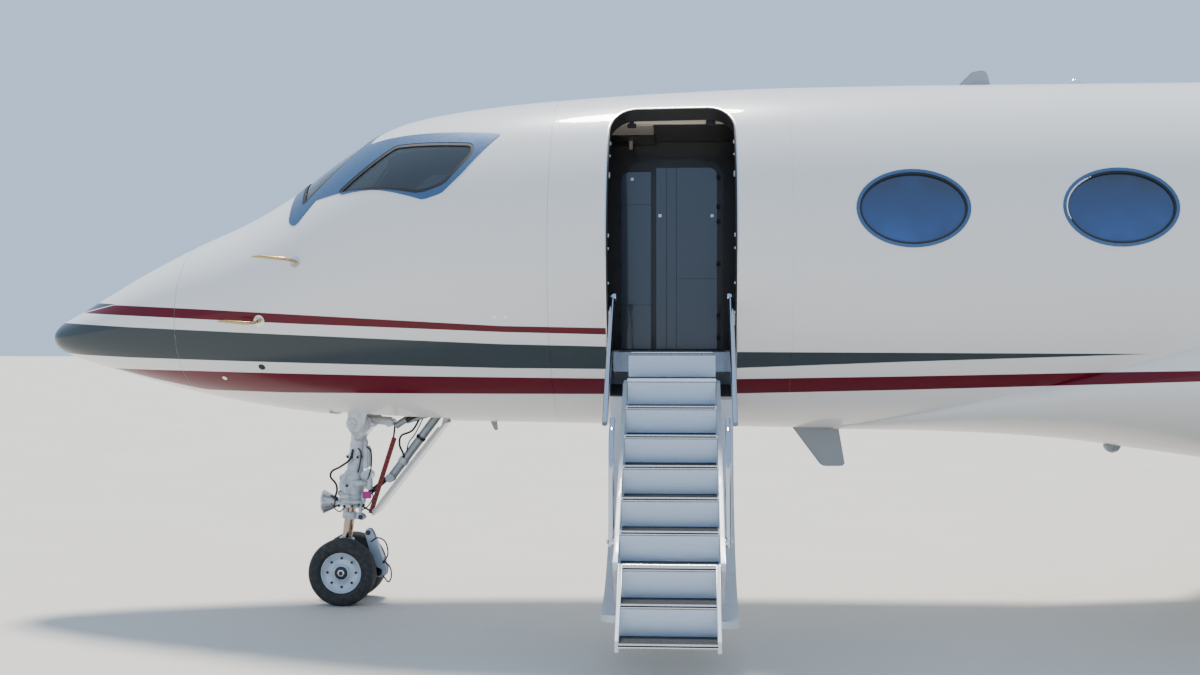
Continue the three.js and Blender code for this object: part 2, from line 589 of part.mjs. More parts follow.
// The part of an aerofoil behind a hinge, with a half-round nose about the hinge line
const NOSE_ARC = 4;
function tailRing(section, hingeStation, radius, trim) {
  const end = section.leading + section.chord;
  const ring = [];
  for (let k = 0; k <= NOSE_ARC; k += 1) {
    const angle = Math.PI / 2 + Math.PI * k / NOSE_ARC;
    ring.push([hingeStation + radius * Math.cos(angle), radius * Math.sin(angle)]);
  }
  const tip = BLUNT_EDGE * section.chord;
  ring.push([end, -tip], [end, tip]);
  return ring.map(([station, up]) => [
    station,
    section.y - up * Math.sin(section.cant) - trim * Math.max(station - hingeStation, 0),
    section.z + up * Math.cos(section.cant),
  ]);
}

const thicknessAt = (section, station) => halfThickness(
  (station - section.leading) / section.chord, section.ratio) * section.chord;

const SURFACE_GAP = 14;
const END_GAP = 25;
const PIN_RADIUS = 16;
const PIN_REACH = 70;
const PIN_HOLE_REACH = 72;
const NOTCH = { behind: 200, half: 400 };
const SKIN_STEP = 1;

// A hinged surface, with the notch and the pin holes that it needs in what carries it.
// A swept hinge carries the trailing edge towards the tip as it turns, so the outer end is trimmed.
// Its upper skin moves inwards at the same time, which sets the inner gap.
function hingedSurface(sectionAt, { ends, hinges, swing, gaps = [END_GAP, END_GAP] }) {
  const slope = (hinges[1] - hinges[0]) / (ends[1] - ends[0]);
  const sweep = Math.atan(slope);
  const trims = [0, Math.sin(sweep) * Math.cos(sweep) * (1 - Math.cos(THREE.MathUtils.degToRad(swing)))];
  const endRings = (stretches, ring) => ends.map((position, k) => {
    const reach = (k === 0 ? -1 : 1) * stretches[k];
    return ring(sectionAt(position + reach), hinges[k] + slope * reach, trims[k]);
  });
  const blade = loft(endRings([0, 0], (section, hinge, trim) => tailRing(
    section, hinge, thicknessAt(section, hinge) - SKIN_STEP, trim)));
  const notch = loft(endRings(gaps, (section, hinge) => {
    const front = hinge - thicknessAt(section, hinge) - SURFACE_GAP;
    const back = section.leading + section.chord + NOTCH.behind;
    const { half } = NOTCH;
    return [[front, -half], [back, -half], [back, half], [front, half]].map(([station, up]) => [
      station, section.y, section.z + up]);
  }));
  const pinEnds = reach => endRings([reach, reach], (section, hinge) => [hinge, section.y, section.z]);
  return {
    blade: blade.add(rod(...pinEnds(PIN_REACH), PIN_RADIUS)),
    notch,
    pinHole: bore(...pinEnds(PIN_HOLE_REACH), PIN_RADIUS),
  };
}

const FLAP = { ends: [1800, 8950], hinges: [15050, 17810], swing: 39, gaps: [50, END_GAP] };
const AILERON = { ends: [9100, 12900], hinges: [17850, 19700], swing: 20 };

// Flap track fairings: slim pods under the wing, ahead of the hinge
const CANOE = { places: [3600, 6400], ahead: 1150, flat: 0.7, drop: 25, sides: 8 };
// Columns: distance behind the pod's front, radius
const CANOE_PROFILE = [[0, 20], [400, 105], [1090, 95]];
const mirrored = (solid, sign) => (sign > 0 ? solid : solid.mirror([0, 1, 0]));

const wingBlank = loft(WING.map(row => aerofoil(wingRow(row))));
const flap = hingedSurface(wingAt, FLAP);
const aileron = hingedSurface(wingAt, AILERON);
const canoes = CANOE.places.map(y => {
  const section = wingAt(y);
  const hinge = FLAP.hinges[0] + (y - FLAP.ends[0]) * (FLAP.hinges[1] - FLAP.hinges[0]) / (FLAP.ends[1] - FLAP.ends[0]);
  const middle = section.z - thicknessAt(section, hinge) - CANOE.drop;
  return loft(CANOE_PROFILE.map(([along, radius]) => Array.from({ length: CANOE.sides }, (_, k) => {
    const angle = 2 * Math.PI * k / CANOE.sides;
    return [hinge - CANOE.ahead + along, y + CANOE.flat * radius * Math.cos(angle), middle + radius * Math.sin(angle)];
  })));
});
const wingUncut = cutAll(unite([wingBlank, ...canoes, jackPad(WING_JACK)]),
  [flap.notch, aileron.notch, flap.pinHole, aileron.pinHole]);
const wings = {};
for (const [side, sign] of SIDES) {
  wings[side] = largest(mirrored(wingUncut, sign).subtract(bodyKeepOut));
  addPiece(`${side}_wing`, wings[side], WHITE);
  addPiece(`${side}_flap`, mirrored(flap.blade, sign), WHITE);
  addPiece(`${side}_aileron`, mirrored(aileron.blade, sign), WHITE);
}

// Fin, rudder, tailplane and elevators

// Columns: height, leading edge station, chord, thickness ratio
const FIN = [
  [3650, 21500, 6000, 0.07],
  [4350, 23150, 4330, 0.1],
  [7480, 25750, 2950, 0.1],
];
const RUDDER = { ends: [4250, 7080], hinges: [26130, 27620], swing: 22 };
const upright = solid => solid.rotate([90, 0, 0]);

// Drawn lying on its side, with y as the height, and then stood up
function finAt(height) {
  const next = FIN.findIndex(row => row[0] >= height);
  const [before, after] = [FIN[next - 1], FIN[next]];
  const share = (height - before[0]) / (after[0] - before[0]);
  const [y, leading, chord, ratio] = before.map((value, k) => value + share * (after[k] - value));
  return { y, leading, chord, z: 0, ratio, cant: 0 };
}

const rudder = hingedSurface(finAt, RUDDER);
const finBlank = loft([FIN[0][0] + 1, FIN[1][0], FIN[2][0]].map(height => aerofoil(finAt(height))));
const TAILPLANE_HEIGHT = 7600;
const BULLET = { front: 25350, sides: 12 };
const bulletRadius = (HEIGHT - TAILPLANE_HEIGHT) / Math.cos(Math.PI / BULLET.sides);
const bulletProfile = [[0, 0], [120, 80], [500, 165], [1200, bulletRadius], [2500, 195], [3750, 0]];
const bullet = turned(bulletProfile, BULLET.sides, [BULLET.front, 0, TAILPLANE_HEIGHT], [1, 0, 0]);

// Columns: y, leading edge station, chord, thickness ratio
const TIP_STATION = 29250;
const TAILPLANE = [
  [0, 25800, 2750, 0.1],
  [5300, TIP_STATION, LENGTH - TIP_STATION, 0.09],
];
function tailplaneAt(y) {
  const share = y / TAILPLANE[1][0];
  const [, leading, chord, ratio] = TAILPLANE[0].map((value, k) => value + share * (TAILPLANE[1][k] - value));
  return { y, leading, chord, z: TAILPLANE_HEIGHT, ratio, cant: 0 };
}
const ELEVATOR = { ends: [290, 5050], hinges: [27850, 29960], swing: 24 };
const elevator = hingedSurface(tailplaneAt, ELEVATOR);
const tailplaneBlank = loft(TAILPLANE.map(([y]) => aerofoil(tailplaneAt(y))));
const tailplaneHalf = cutAll(tailplaneBlank, [elevator.notch, elevator.pinHole]);
const tailplane = unite([tailplaneHalf, mirrored(tailplaneHalf, -1), bullet]);
const tailplaneCut = [-1, 1].reduce((rest, sign) => rest.subtract(mirrored(elevator.pinHole, sign)), tailplane);
addPiece('tailplane', tailplaneCut, WHITE);
const fin = upright(cutAll(finBlank, [rudder.notch, rudder.pinHole]));
addPiece('fin', cutAll(fin, [outsideGrown, tailplaneCut, tailplaneCut.translate([0, 0, -FIT])]), WHITE);
addPiece('rudder', upright(rudder.blade), WHITE);
for (const [side, sign] of SIDES) addPiece(`${side}_elevator`, mirrored(elevator.blade, sign), WHITE);

// Engines: cowl, pylon, fan and the core as one plain block

const ENGINE = { y: 2450, z: 3360, front: 19900, duct: 660 };
const ROUND = 20;
const SHAFT = 90;
const SHAFT_HOLE = { front: 1120, back: 1400 };
const FAN = { count: 16, chord: 110, thick: 14, twist: 0.6, middle: 1190, root: 150, length: 470 };
const PYLON = { inner: 700, leading: 21250, chord: 3400, ratio: 0.09 };
// Profiles as [distance behind the intake, radius]
const COWL = [[0, 690], [90, 765], [400, 845], [1200, 898], [2300, 900], [3700, 840], [5300, 590]];
const DUCT = [[5300, 560], [3900, ENGINE.duct], [900, ENGINE.duct], [450, 625]];
const CORE = [
  [1150, 0], [1150, SHAFT], [1350, SHAFT], [1350, ENGINE.duct - FIT], [3850, ENGINE.duct - FIT],
  [3850, 330], [4700, 260], [5450, 60], [5450, 0],
];
const HUB = [[780, 0], [980, 145], [1100, 190], [1280, 190], [1280, 0]];
for (const [side, sign] of SIDES) {
  const centre = [ENGINE.front, sign * ENGINE.y, ENGINE.z];
  const onShaft = distance => [centre[0] + distance, centre[1], centre[2]];
  const around = profile => turned(profile, ROUND, centre, [1, 0, 0]);
  const cowlGrown = COWL.map(([along, radius]) => [along, radius + FIT]);
  const cowlFilled = around([[COWL[0][0], 0], ...cowlGrown, [COWL.at(-1)[0], 0]]);
  addPiece(`${side}_nacelle`, around([...COWL, ...DUCT, COWL[0]]), WHITE);
  addPiece(`${side}_engine`, around(CORE), FAN_METAL);
  const hub = around(HUB).subtract(bore(onShaft(SHAFT_HOLE.front), onShaft(SHAFT_HOLE.back), SHAFT, ROUND));
  const blades = Array.from({ length: FAN.count }, (_, k) => {
    const blade = new THREE.BoxGeometry(FAN.chord, FAN.thick, FAN.length);
    blade.rotateZ(FAN.twist).translate(FAN.middle, 0, FAN.root + FAN.length / 2).rotateX(2 * Math.PI * k / FAN.count);
    return solidOf(blade.translate(...centre));
  });
  addPiece(`${side}_fan`, unite([hub, ...blades]), FAN_METAL);
  const pylon = loft([PYLON.inner, ENGINE.y].map(y => aerofoil({
    leading: PYLON.leading, chord: PYLON.chord, y, z: ENGINE.z, ratio: PYLON.ratio, cant: 0,
  })));
  addPiece(`${side}_pylon`, cutAll(mirrored(pylon, sign), [cowlFilled, outsideGrown]), WHITE);
}

// Nose gear

const strutPoint = height => {
  const down = NOSE_TRUNNION[2] - height;
  return [NOSE_TRUNNION[0] - down * Math.tan(STRUT_LEAN), 0, height];
};
const BAR_SIDES = 12;
const STRUT_RADIUS = 82;
const STRUT_HEAD = 40;
const COLLAR = { low: 790, high: 920, radius: 105 };
const PISTON = { radius: 45, top: COLLAR.low + 150, boreTop: COLLAR.low + 160, boreFoot: COLLAR.low - 10 };
const TRUNNION_RADIUS = 40;
const bayPin = (station, height, radius) => rod([station, -NOSE_BAY.halfWidth + FIT, height],
  [station, NOSE_BAY.halfWidth - FIT, height], radius);
const strutBarrel = rod(strutPoint(COLLAR.low), strutPoint(NOSE_TRUNNION[2] + STRUT_HEAD), STRUT_RADIUS, BAR_SIDES);
const collar = rod(strutPoint(COLLAR.low), strutPoint(COLLAR.high), COLLAR.radius, BAR_SIDES);
const pistonBore = bore(strutPoint(PISTON.boreFoot), strutPoint(PISTON.boreTop), PISTON.radius, BAR_SIDES);
const LAMP = { station: 2330, height: 830, halfLength: 45, radius: 90, backRadius: 60, bracket: 15 };
const lamp = rod([LAMP.station - LAMP.halfLength, 0, LAMP.height], [LAMP.station + LAMP.halfLength, 0, LAMP.height],
  LAMP.radius, BAR_SIDES, LAMP.backRadius);
const lampBracket = box(LAMP.station, strutPoint(LAMP.height)[0], -LAMP.bracket, LAMP.bracket,
  LAMP.height - LAMP.bracket, LAMP.height + LAMP.bracket);
const trunnion = bayPin(NOSE_TRUNNION[0], NOSE_TRUNNION[2], TRUNNION_RADIUS);
addPiece('nose_strut', unite([strutBarrel, collar, trunnion, lamp, lampBracket]).subtract(pistonBore), GEAR_PAINT);

const BRACE = { top: [3290, 0, 1600], knee: [2860, 0, 1030], end: [2600, 0, 985], radius: 32, topPin: 24 };
const BRACE_KNEE = { radius: 42, half: 60 };
const STRUT_CLEAR = 100;
const strutKeepOut = rod(strutPoint(COLLAR.low), strutPoint(NOSE_TRUNNION[2] + STRUT_CLEAR),
  STRUT_RADIUS + FIT, BAR_SIDES);
const [kneeStation, , kneeHeight] = BRACE.knee;
addPiece('nose_drag_brace', unite([
  rod(BRACE.top, BRACE.knee, BRACE.radius),
  rod(BRACE.knee, BRACE.end, BRACE.radius),
  bayPin(BRACE.top[0], BRACE.top[2], BRACE.topPin),
  rod([kneeStation, -BRACE_KNEE.half, kneeHeight], [kneeStation, BRACE_KNEE.half, kneeHeight], BRACE_KNEE.radius),
]).subtract(strutKeepOut), GEAR_PAINT);

const LEAF_OUTLINE = [[3318, 1500], [3340, 1500], [2744, 728], [2720, 742]];
const LEAF = { half: 150, hinge: [3345, 1590], pin: 14 };
const leafPlate = plate(LEAF_OUTLINE, -LEAF.half, LEAF.half);
const leafStem = box(3326, 3356, -20, 20, 1480, 1595);
addPiece('nose_gear_door', unite([leafPlate, bayPin(...LEAF.hinge, LEAF.pin), leafStem]), WHITE);

// The steered part: piston, axle carrier and torque arm
const NOSE_HOUSING = { half: 92, radius: 58, axle: 30, boreHalf: 100 };
const PISTON_FOOT = { half: 40, halfWidth: 50, top: 400, leanAt: 280 };
const TORQUE_HALF = 22;
const TORQUE_COLLAR = { low: 690, high: 740, radius: 66 };
const UPPER_LINK = [[2560, 690], [2560, 740], [2600, 740], [2790, 560], [2790, 520], [2760, 520]];
const LOWER_LINK = [[2760, 520], [2790, 520], [2790, 560], [2560, 330], [2520, 300], [2540, 280]];
const onNoseAxle = half => [[NOSE_AXLE[0], -half, NOSE_AXLE[2]], [NOSE_AXLE[0], half, NOSE_AXLE[2]]];
const pistonFoot = box(strutPoint(PISTON_FOOT.leanAt)[0] - PISTON_FOOT.half, NOSE_AXLE[0] + PISTON_FOOT.half,
  -PISTON_FOOT.halfWidth, PISTON_FOOT.halfWidth, NOSE_AXLE[2] - PISTON_FOOT.half, PISTON_FOOT.top);
addPiece('nose_fork', unite([
  rod(...onNoseAxle(NOSE_HOUSING.half), NOSE_HOUSING.radius, BAR_SIDES),
  pistonFoot,
  rod(strutPoint(NOSE_AXLE[2]), strutPoint(PISTON.top), PISTON.radius, BAR_SIDES),
  plate(UPPER_LINK, -TORQUE_HALF, TORQUE_HALF),
  plate(LOWER_LINK, -TORQUE_HALF, TORQUE_HALF),
  rod(strutPoint(TORQUE_COLLAR.low), strutPoint(TORQUE_COLLAR.high), TORQUE_COLLAR.radius, BAR_SIDES),
]).subtract(bore(...onNoseAxle(NOSE_HOUSING.boreHalf), NOSE_HOUSING.axle, BAR_SIDES)), CHROME);

// Wheels: a tyre profile and a hub profile, both as [across, radius] from the tyre's middle
const RIM_SHARE = 0.62;
function tyreProfile({ radius, width, rim }) {
  const half = width / 2;
  const seat = RIM_SHARE * half;
  const wall = radius - rim;
  return [
    [-seat, rim], [-half, rim + 0.4 * wall], [-0.88 * half, rim + 0.82 * wall], [-0.5 * half, radius],
    [0.5 * half, radius], [0.88 * half, rim + 0.82 * wall], [half, rim + 0.4 * wall], [seat, rim], [-seat, rim],
  ];
}

const DISH = { share: 0.4, rim: 40, boss: 30 };
function hubProfile({ width, rim }, axle) {
  const half = RIM_SHARE * width / 2;
  const barrel = rim - FIT;
  const dished = DISH.share * half;
  return [
    [-half, 0], [-half, barrel], [half, barrel], [dished, barrel - DISH.rim], [dished, axle + DISH.boss], [half, 0],
  ];
}

function wheelPair(tyre, [station, y, height], axle) {
  const acrossAt = sign => [station, y + sign * tyre.spread, height];
  return {
    tyres: [-1, 1].map(sign => turned(tyreProfile(tyre), TYRE_SIDES, acrossAt(sign), [0, 1, 0])),
    hubs: unite([
      ...[-1, 1].map(sign => turned(hubProfile(tyre, axle), TYRE_SIDES, acrossAt(sign), [0, sign, 0])),
      rod(acrossAt(-1), acrossAt(1), axle, BAR_SIDES),
    ]),
  };
}

const noseWheels = wheelPair(NOSE_TYRE, NOSE_AXLE, NOSE_HOUSING.axle);
addPiece('nose_port_tyre', noseWheels.tyres[0], RUBBER);
addPiece('nose_starboard_tyre', noseWheels.tyres[1], RUBBER);
addPiece('nose_hubs', noseWheels.hubs, BARE_METAL);

// Main gear under each wing, drawn with its offsets measured outwards from the leg

const MAIN_LEG = { head: [14930, 1800], neck: [14960, 780], radius: 92 };
const MAIN_PISTON = { top: [14960, 800], foot: 14985, radius: 62 };
const MAIN_HOUSING = { half: 98, radius: 78, axle: 45, boreHalf: 110 };
const MAIN_FOOT = { front: 14930, behindAxle: 40, half: 60 };
const SIDE_BRACE = { from: [14950, -40, 1010], to: [14950, -560, 1330], radius: 38 };
const MAIN_STAY = { from: [14940, 40, 1040], to: [14560, 0, 1420], radius: 34 };
const MAIN_TORQUE = [[15000, 700], [15000, 760], [15190, 610], [15190, 560], [15060, 480], [15030, 510], [15140, 585]];
const MAIN_TORQUE_HALF = 24;
const LEG_DOOR = { front: 14650, back: 15130, inner: 330, outer: 350, low: 1000, high: 1480 };
const DOOR_LINK = { from: [14950, 40, 1150], to: [14950, 340, 1150], radius: 26 };

for (const [side, sign] of SIDES) {
  const [axleStation, gearY, axleHeight] = MAIN_AXLE;
  const y = sign * gearY;
  const at = (station, offset, height) => [station, y + sign * offset, height];
  const bar = ({ from, to, radius }) => rod(at(...from), at(...to), radius);
  const onAxle = half => [at(axleStation, -half, axleHeight), at(axleStation, half, axleHeight)];
  const footBack = axleStation + MAIN_FOOT.behindAxle;
  const upright = ([station, height]) => at(station, 0, height);
  const leg = unite([
    rod(upright(MAIN_LEG.neck), upright(MAIN_LEG.head), MAIN_LEG.radius, BAR_SIDES),
    rod(upright([MAIN_PISTON.foot, axleHeight]), upright(MAIN_PISTON.top), MAIN_PISTON.radius, BAR_SIDES),
    rod(...onAxle(MAIN_HOUSING.half), MAIN_HOUSING.radius, BAR_SIDES),
    box(MAIN_FOOT.front, footBack, y - MAIN_FOOT.half, y + MAIN_FOOT.half,
      axleHeight - MAIN_FOOT.half, axleHeight + MAIN_FOOT.half),
    bar(SIDE_BRACE),
    bar(MAIN_STAY),
    plate(MAIN_TORQUE, y - MAIN_TORQUE_HALF, y + MAIN_TORQUE_HALF),
    sideBox(sign, LEG_DOOR.front, LEG_DOOR.back, gearY + LEG_DOOR.inner, gearY + LEG_DOOR.outer,
      LEG_DOOR.low, LEG_DOOR.high),
    bar(DOOR_LINK),
  ]);
  const wheels = wheelPair(MAIN_TYRE, [axleStation, y, axleHeight], MAIN_HOUSING.axle);
  const axleBore = bore(...onAxle(MAIN_HOUSING.boreHalf), MAIN_HOUSING.axle, BAR_SIDES);
  addPiece(`${side}_main_leg`, cutAll(leg,
    [wings[side], wings[side].translate([0, 0, -FIT]), axleBore, bodyKeepOut]), GEAR_PAINT);
  addPiece(`${side}_inner_tyre`, wheels.tyres[sign < 0 ? 1 : 0], RUBBER);
  addPiece(`${side}_outer_tyre`, wheels.tyres[sign < 0 ? 0 : 1], RUBBER);
  addPiece(`${side}_main_hubs`, wheels.hubs, BARE_METAL);
}

// Cockpit and cabin furniture, all standing on the floor

const DECK = FLOOR + FIT;
const PANEL_OUTLINE = [[2420, DECK], [2700, DECK], [2680, 2780], [2900, 3050], [2860, 3180], [2420, 3230]];
const PANEL_HALF = 600;
addPiece('instrument_panel', plate(PANEL_OUTLINE, -PANEL_HALF, PANEL_HALF), CABINET);

// A seat from the side, as [distance in front of its middle, height over the floor]
const SEAT_OUTLINE = [
  [-230, 0], [200, 0], [260, 430], [240, 480], [-170, 470], [-330, 1130], [-430, 1120], [-300, 400],
];
const seatOutline = (station, facing) => SEAT_OUTLINE.map(([along, up]) => [station + facing * along, DECK + up]);
const PILOT_SEAT = { station: 3500, inner: 300, outer: 760 };
const SEAT_TRACK = { front: 3260, back: 3700, half: 310, height: 90 };
const CONSOLE = { front: 2950, back: 3500, half: 150, height: 500 };
addPiece('pilot_seats', unite([
  plate(seatOutline(PILOT_SEAT.station, -1), -PILOT_SEAT.outer, -PILOT_SEAT.inner),
  plate(seatOutline(PILOT_SEAT.station, -1), PILOT_SEAT.inner, PILOT_SEAT.outer),
  box(SEAT_TRACK.front, SEAT_TRACK.back, -SEAT_TRACK.half, SEAT_TRACK.half, DECK, DECK + SEAT_TRACK.height),
  box(CONSOLE.front, CONSOLE.back, -CONSOLE.half, CONSOLE.half, DECK, DECK + CONSOLE.height),
]), LEATHER);

const LOCKERS = { front: 4450, back: 5980, face: 450, outer: 1500, top: 3950 };
addPiece('vestibule_cabinet', box(LOCKERS.front, LOCKERS.back, LOCKERS.face, LOCKERS.outer, DECK, LOCKERS.top)
  .intersect(hull(-WALL - FIT, LINING_POINTS)), CABINET);

const SEAT_ROWS = [7300, 8900, 10300, 11900, 13400, 15000, 16300];
const CABIN_SEAT = { inner: 420, outer: 1000 };
const SEAT_RAIL = { beyond: 200, inset: 200, height: 40 };
for (const [side, sign] of SIDES) {
  const [low, high] = [sign * CABIN_SEAT.inner, sign * CABIN_SEAT.outer].sort((a, b) => a - b);
  const seats = SEAT_ROWS.map((station, k) => plate(seatOutline(station, k % 2 ? 1 : -1), low, high));
  const rail = box(SEAT_ROWS[0] - SEAT_RAIL.beyond, SEAT_ROWS.at(-1) + SEAT_RAIL.beyond,
    low + SEAT_RAIL.inset, high - SEAT_RAIL.inset, DECK, DECK + SEAT_RAIL.height);
  addPiece(`${side}_cabin_seats`, unite([...seats, rail]), LEATHER);
}

export default jet;
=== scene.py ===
"""A long-range business jet on its landing gear with the entry stairs down.

Metres. +X runs aft, -Y is the port side with the entry door, +Z is up.
Stations run aft from the nose tip; x is the station less half the overall length.
"""

import math

import bmesh
import bpy
import numpy as np
from mathutils import Matrix, Vector
from mathutils.geometry import delaunay_2d_cdt


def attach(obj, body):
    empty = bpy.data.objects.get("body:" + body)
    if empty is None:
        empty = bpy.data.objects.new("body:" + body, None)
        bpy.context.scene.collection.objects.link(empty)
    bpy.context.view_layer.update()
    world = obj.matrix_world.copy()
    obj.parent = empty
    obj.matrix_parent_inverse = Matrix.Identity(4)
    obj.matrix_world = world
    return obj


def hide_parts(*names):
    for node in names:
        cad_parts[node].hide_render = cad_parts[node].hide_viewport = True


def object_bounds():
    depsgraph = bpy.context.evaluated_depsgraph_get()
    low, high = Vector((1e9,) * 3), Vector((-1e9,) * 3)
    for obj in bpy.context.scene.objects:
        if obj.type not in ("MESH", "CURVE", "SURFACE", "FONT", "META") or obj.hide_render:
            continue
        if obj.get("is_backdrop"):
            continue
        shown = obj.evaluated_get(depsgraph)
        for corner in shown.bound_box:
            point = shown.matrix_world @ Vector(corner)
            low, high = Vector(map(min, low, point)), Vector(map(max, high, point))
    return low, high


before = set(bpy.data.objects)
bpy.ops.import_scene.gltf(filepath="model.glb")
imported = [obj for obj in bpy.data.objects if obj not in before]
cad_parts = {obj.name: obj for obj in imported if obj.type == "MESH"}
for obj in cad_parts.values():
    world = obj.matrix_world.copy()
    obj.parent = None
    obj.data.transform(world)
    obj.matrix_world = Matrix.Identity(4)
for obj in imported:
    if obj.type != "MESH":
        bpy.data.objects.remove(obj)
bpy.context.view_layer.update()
TAU = 2 * math.pi


# Floor, camera and light
# A pale plain floor under a soft blue sky, with one high sun behind the jet.
# The camera stands at eye height off the port side of the door.

MIDDLE = 15.205
EYE_HEIGHT = 2.2
EYE_DISTANCE = 11.7
EYE_STATION = 5.324
EYE_YAW = math.radians(3.5)
LENS = 42.5
FARTHEST = 400
SUN_POWER, SUN_COLOR = 6.0, (1.0, 0.95, 0.87)
SUN_WIDTH, SUN_TILT, SUN_TURN = math.radians(10), math.radians(-25), math.radians(10)
SKY_POWER, SKY_COLOR = 1.1, (0.54, 0.73, 1.0, 1)

camera_data = bpy.data.cameras.new("camera")
camera_data.lens = LENS
camera_data.clip_end = FARTHEST
camera = bpy.data.objects.new("camera", camera_data)
camera.location = (EYE_STATION - MIDDLE, -EYE_DISTANCE, EYE_HEIGHT)
camera.rotation_euler = (math.pi / 2, 0, EYE_YAW)
bpy.context.scene.collection.objects.link(camera)
bpy.context.scene.camera = camera

sun_data = bpy.data.lights.new("sun", "SUN")
sun_data.energy = SUN_POWER
sun_data.angle = SUN_WIDTH
sun_data.color = SUN_COLOR
sun = bpy.data.objects.new("sun", sun_data)
sun.rotation_euler = (SUN_TILT, 0, SUN_TURN)
bpy.context.scene.collection.objects.link(sun)

sky = bpy.data.worlds.new("sky")
sky.use_nodes = True
sky_light = sky.node_tree.nodes["Background"]
sky_light.inputs["Color"].default_value = SKY_COLOR
sky_light.inputs["Strength"].default_value = SKY_POWER
bpy.context.scene.world = sky


class Value:
    """A shader socket that Python arithmetic can be written on."""

    def __init__(self, tree, socket):
        self.tree = tree
        self.socket = socket

    def maths(self, operation, *operands, clamp=False):
        node = self.tree.nodes.new("ShaderNodeMath")
        node.operation = operation
        node.use_clamp = clamp
        for slot, operand in zip(node.inputs, (self, *operands)):
            if isinstance(operand, Value):
                self.tree.links.new(operand.socket, slot)
            else:
                slot.default_value = operand
        return Value(self.tree, node.outputs[0])

    def constant(self, number):
        node = self.tree.nodes.new("ShaderNodeValue")
        node.outputs[0].default_value = number
        return Value(self.tree, node.outputs[0])

    def __add__(self, other):
        return self.maths("ADD", other)

    __radd__ = __add__

    def __sub__(self, other):
        return self.maths("SUBTRACT", other)

    def __rsub__(self, other):
        return self.constant(other).maths("SUBTRACT", self)

    def __mul__(self, other):
        return self.maths("MULTIPLY", other)

    __rmul__ = __mul__

    def __truediv__(self, other):
        return self.maths("DIVIDE", other)

    def __rtruediv__(self, other):
        return self.constant(other).maths("DIVIDE", self)

    def ramp(self, low, high):
        """0 below low, 1 above high, and straight between them."""
        node = self.tree.nodes.new("ShaderNodeMapRange")
        self.tree.links.new(self.socket, node.inputs["Value"])
        node.inputs["From Min"].default_value = low
        node.inputs["From Max"].default_value = high
        return Value(self.tree, node.outputs["Result"])


class Finish:
    """A material in the making, with one principled surface."""

    def __init__(self, name, color=(0.8, 0.8, 0.8), roughness=0.5, metallic=0.0, **settings):
        self.material = bpy.data.materials.new(name)
        self.material.use_nodes = True
        self.tree = self.material.node_tree
        self.surface = self.tree.nodes["Principled BSDF"]
        self.set(**{"Base Color": (*color, 1), "Roughness": roughness, "Metallic": metallic})
        self.set(**{key.replace("_", " ").title(): value for key, value in settings.items()})
        place = self.node("ShaderNodeTexCoord")
        self.place = place.outputs["Object"]
        self.axes = None

    def set(self, **sockets):
        """Each socket gets a number, a colour or a link."""
        for name, value in sockets.items():
            self.plug(self.surface.inputs[name], value)

    def plug(self, socket, value):
        if isinstance(value, Value):
            self.tree.links.new(value.socket, socket)
        elif isinstance(value, bpy.types.NodeSocket):
            self.tree.links.new(value, socket)
        else:
            socket.default_value = value

    def node(self, kind, settings=None, **sockets):
        node = self.tree.nodes.new(kind)
        for name, value in (settings or {}).items():
            if name == "points":
                curve = node.mapping.curves[0]
                while len(curve.points) < len(value):
                    curve.points.new(0.5, 0.5)
                for point, place in zip(curve.points, value):
                    point.location = place
                    point.handle_type = "VECTOR"
                node.mapping.update()
            else:
                setattr(node, name, value)
        for name, value in sockets.items():
            self.plug(node.inputs[name.replace("_", " ")], value)
        return node

    def xyz(self):
        """Object coordinates as three values."""
        if self.axes is None:
            node = self.node("ShaderNodeSeparateXYZ", Vector=self.place)
            self.axes = [Value(self.tree, socket) for socket in node.outputs]
        return self.axes

    def noise(self, scale, detail=3.0, stretch=(1, 1, 1)):
        place = self.node("ShaderNodeMapping", Vector=self.place, Scale=stretch)
        node = self.node("ShaderNodeTexNoise", Vector=place.outputs[0], Scale=scale, Detail=detail)
        return Value(self.tree, node.outputs["Fac"])

    def mix(self, share, first, second):
        """The first colour where share is 0 and the second where it is 1."""
        node = self.node("ShaderNodeMix", {"data_type": "RGBA"})
        self.plug(node.inputs["Factor"], share)
        for socket, value in ((node.inputs[6], first), (node.inputs[7], second)):
            self.plug(socket, (*value, 1) if isinstance(value, tuple) and len(value) == 3 else value)
        return node.outputs[2]

    def bump(self, height, depth):
        """Raises the surface by height, a value from 0 to 1, times depth in metres."""
        node = self.node("ShaderNodeBump", Height=height, Distance=depth, Strength=1.0)
        self.set(Normal=node.outputs[0])

    def grain(self, scale, detail=3.0, tones=None, depth=None, rough=None, stretch=(1, 1, 1), band=(0, 1)):
        """One noise clouds the colour between two tones, raises the surface and spreads the roughness.

        The roughness is given as (spread, least); the band is the part of the noise that tells in the colour.
        """
        pattern = self.noise(scale, detail, stretch)
        if tones:
            self.set(**{"Base Color": self.mix(pattern if band == (0, 1) else pattern.ramp(*band), *tones)})
        if depth:
            self.bump(pattern, depth)
        if rough:
            self.set(Roughness=pattern * rough[0] + rough[1])
        return self


def new_object(name, mesh, finishes):
    piece = bpy.data.objects.new(name, mesh)
    bpy.context.scene.collection.objects.link(piece)
    for finish in finishes:
        mesh.materials.append(finish.material)
    return piece


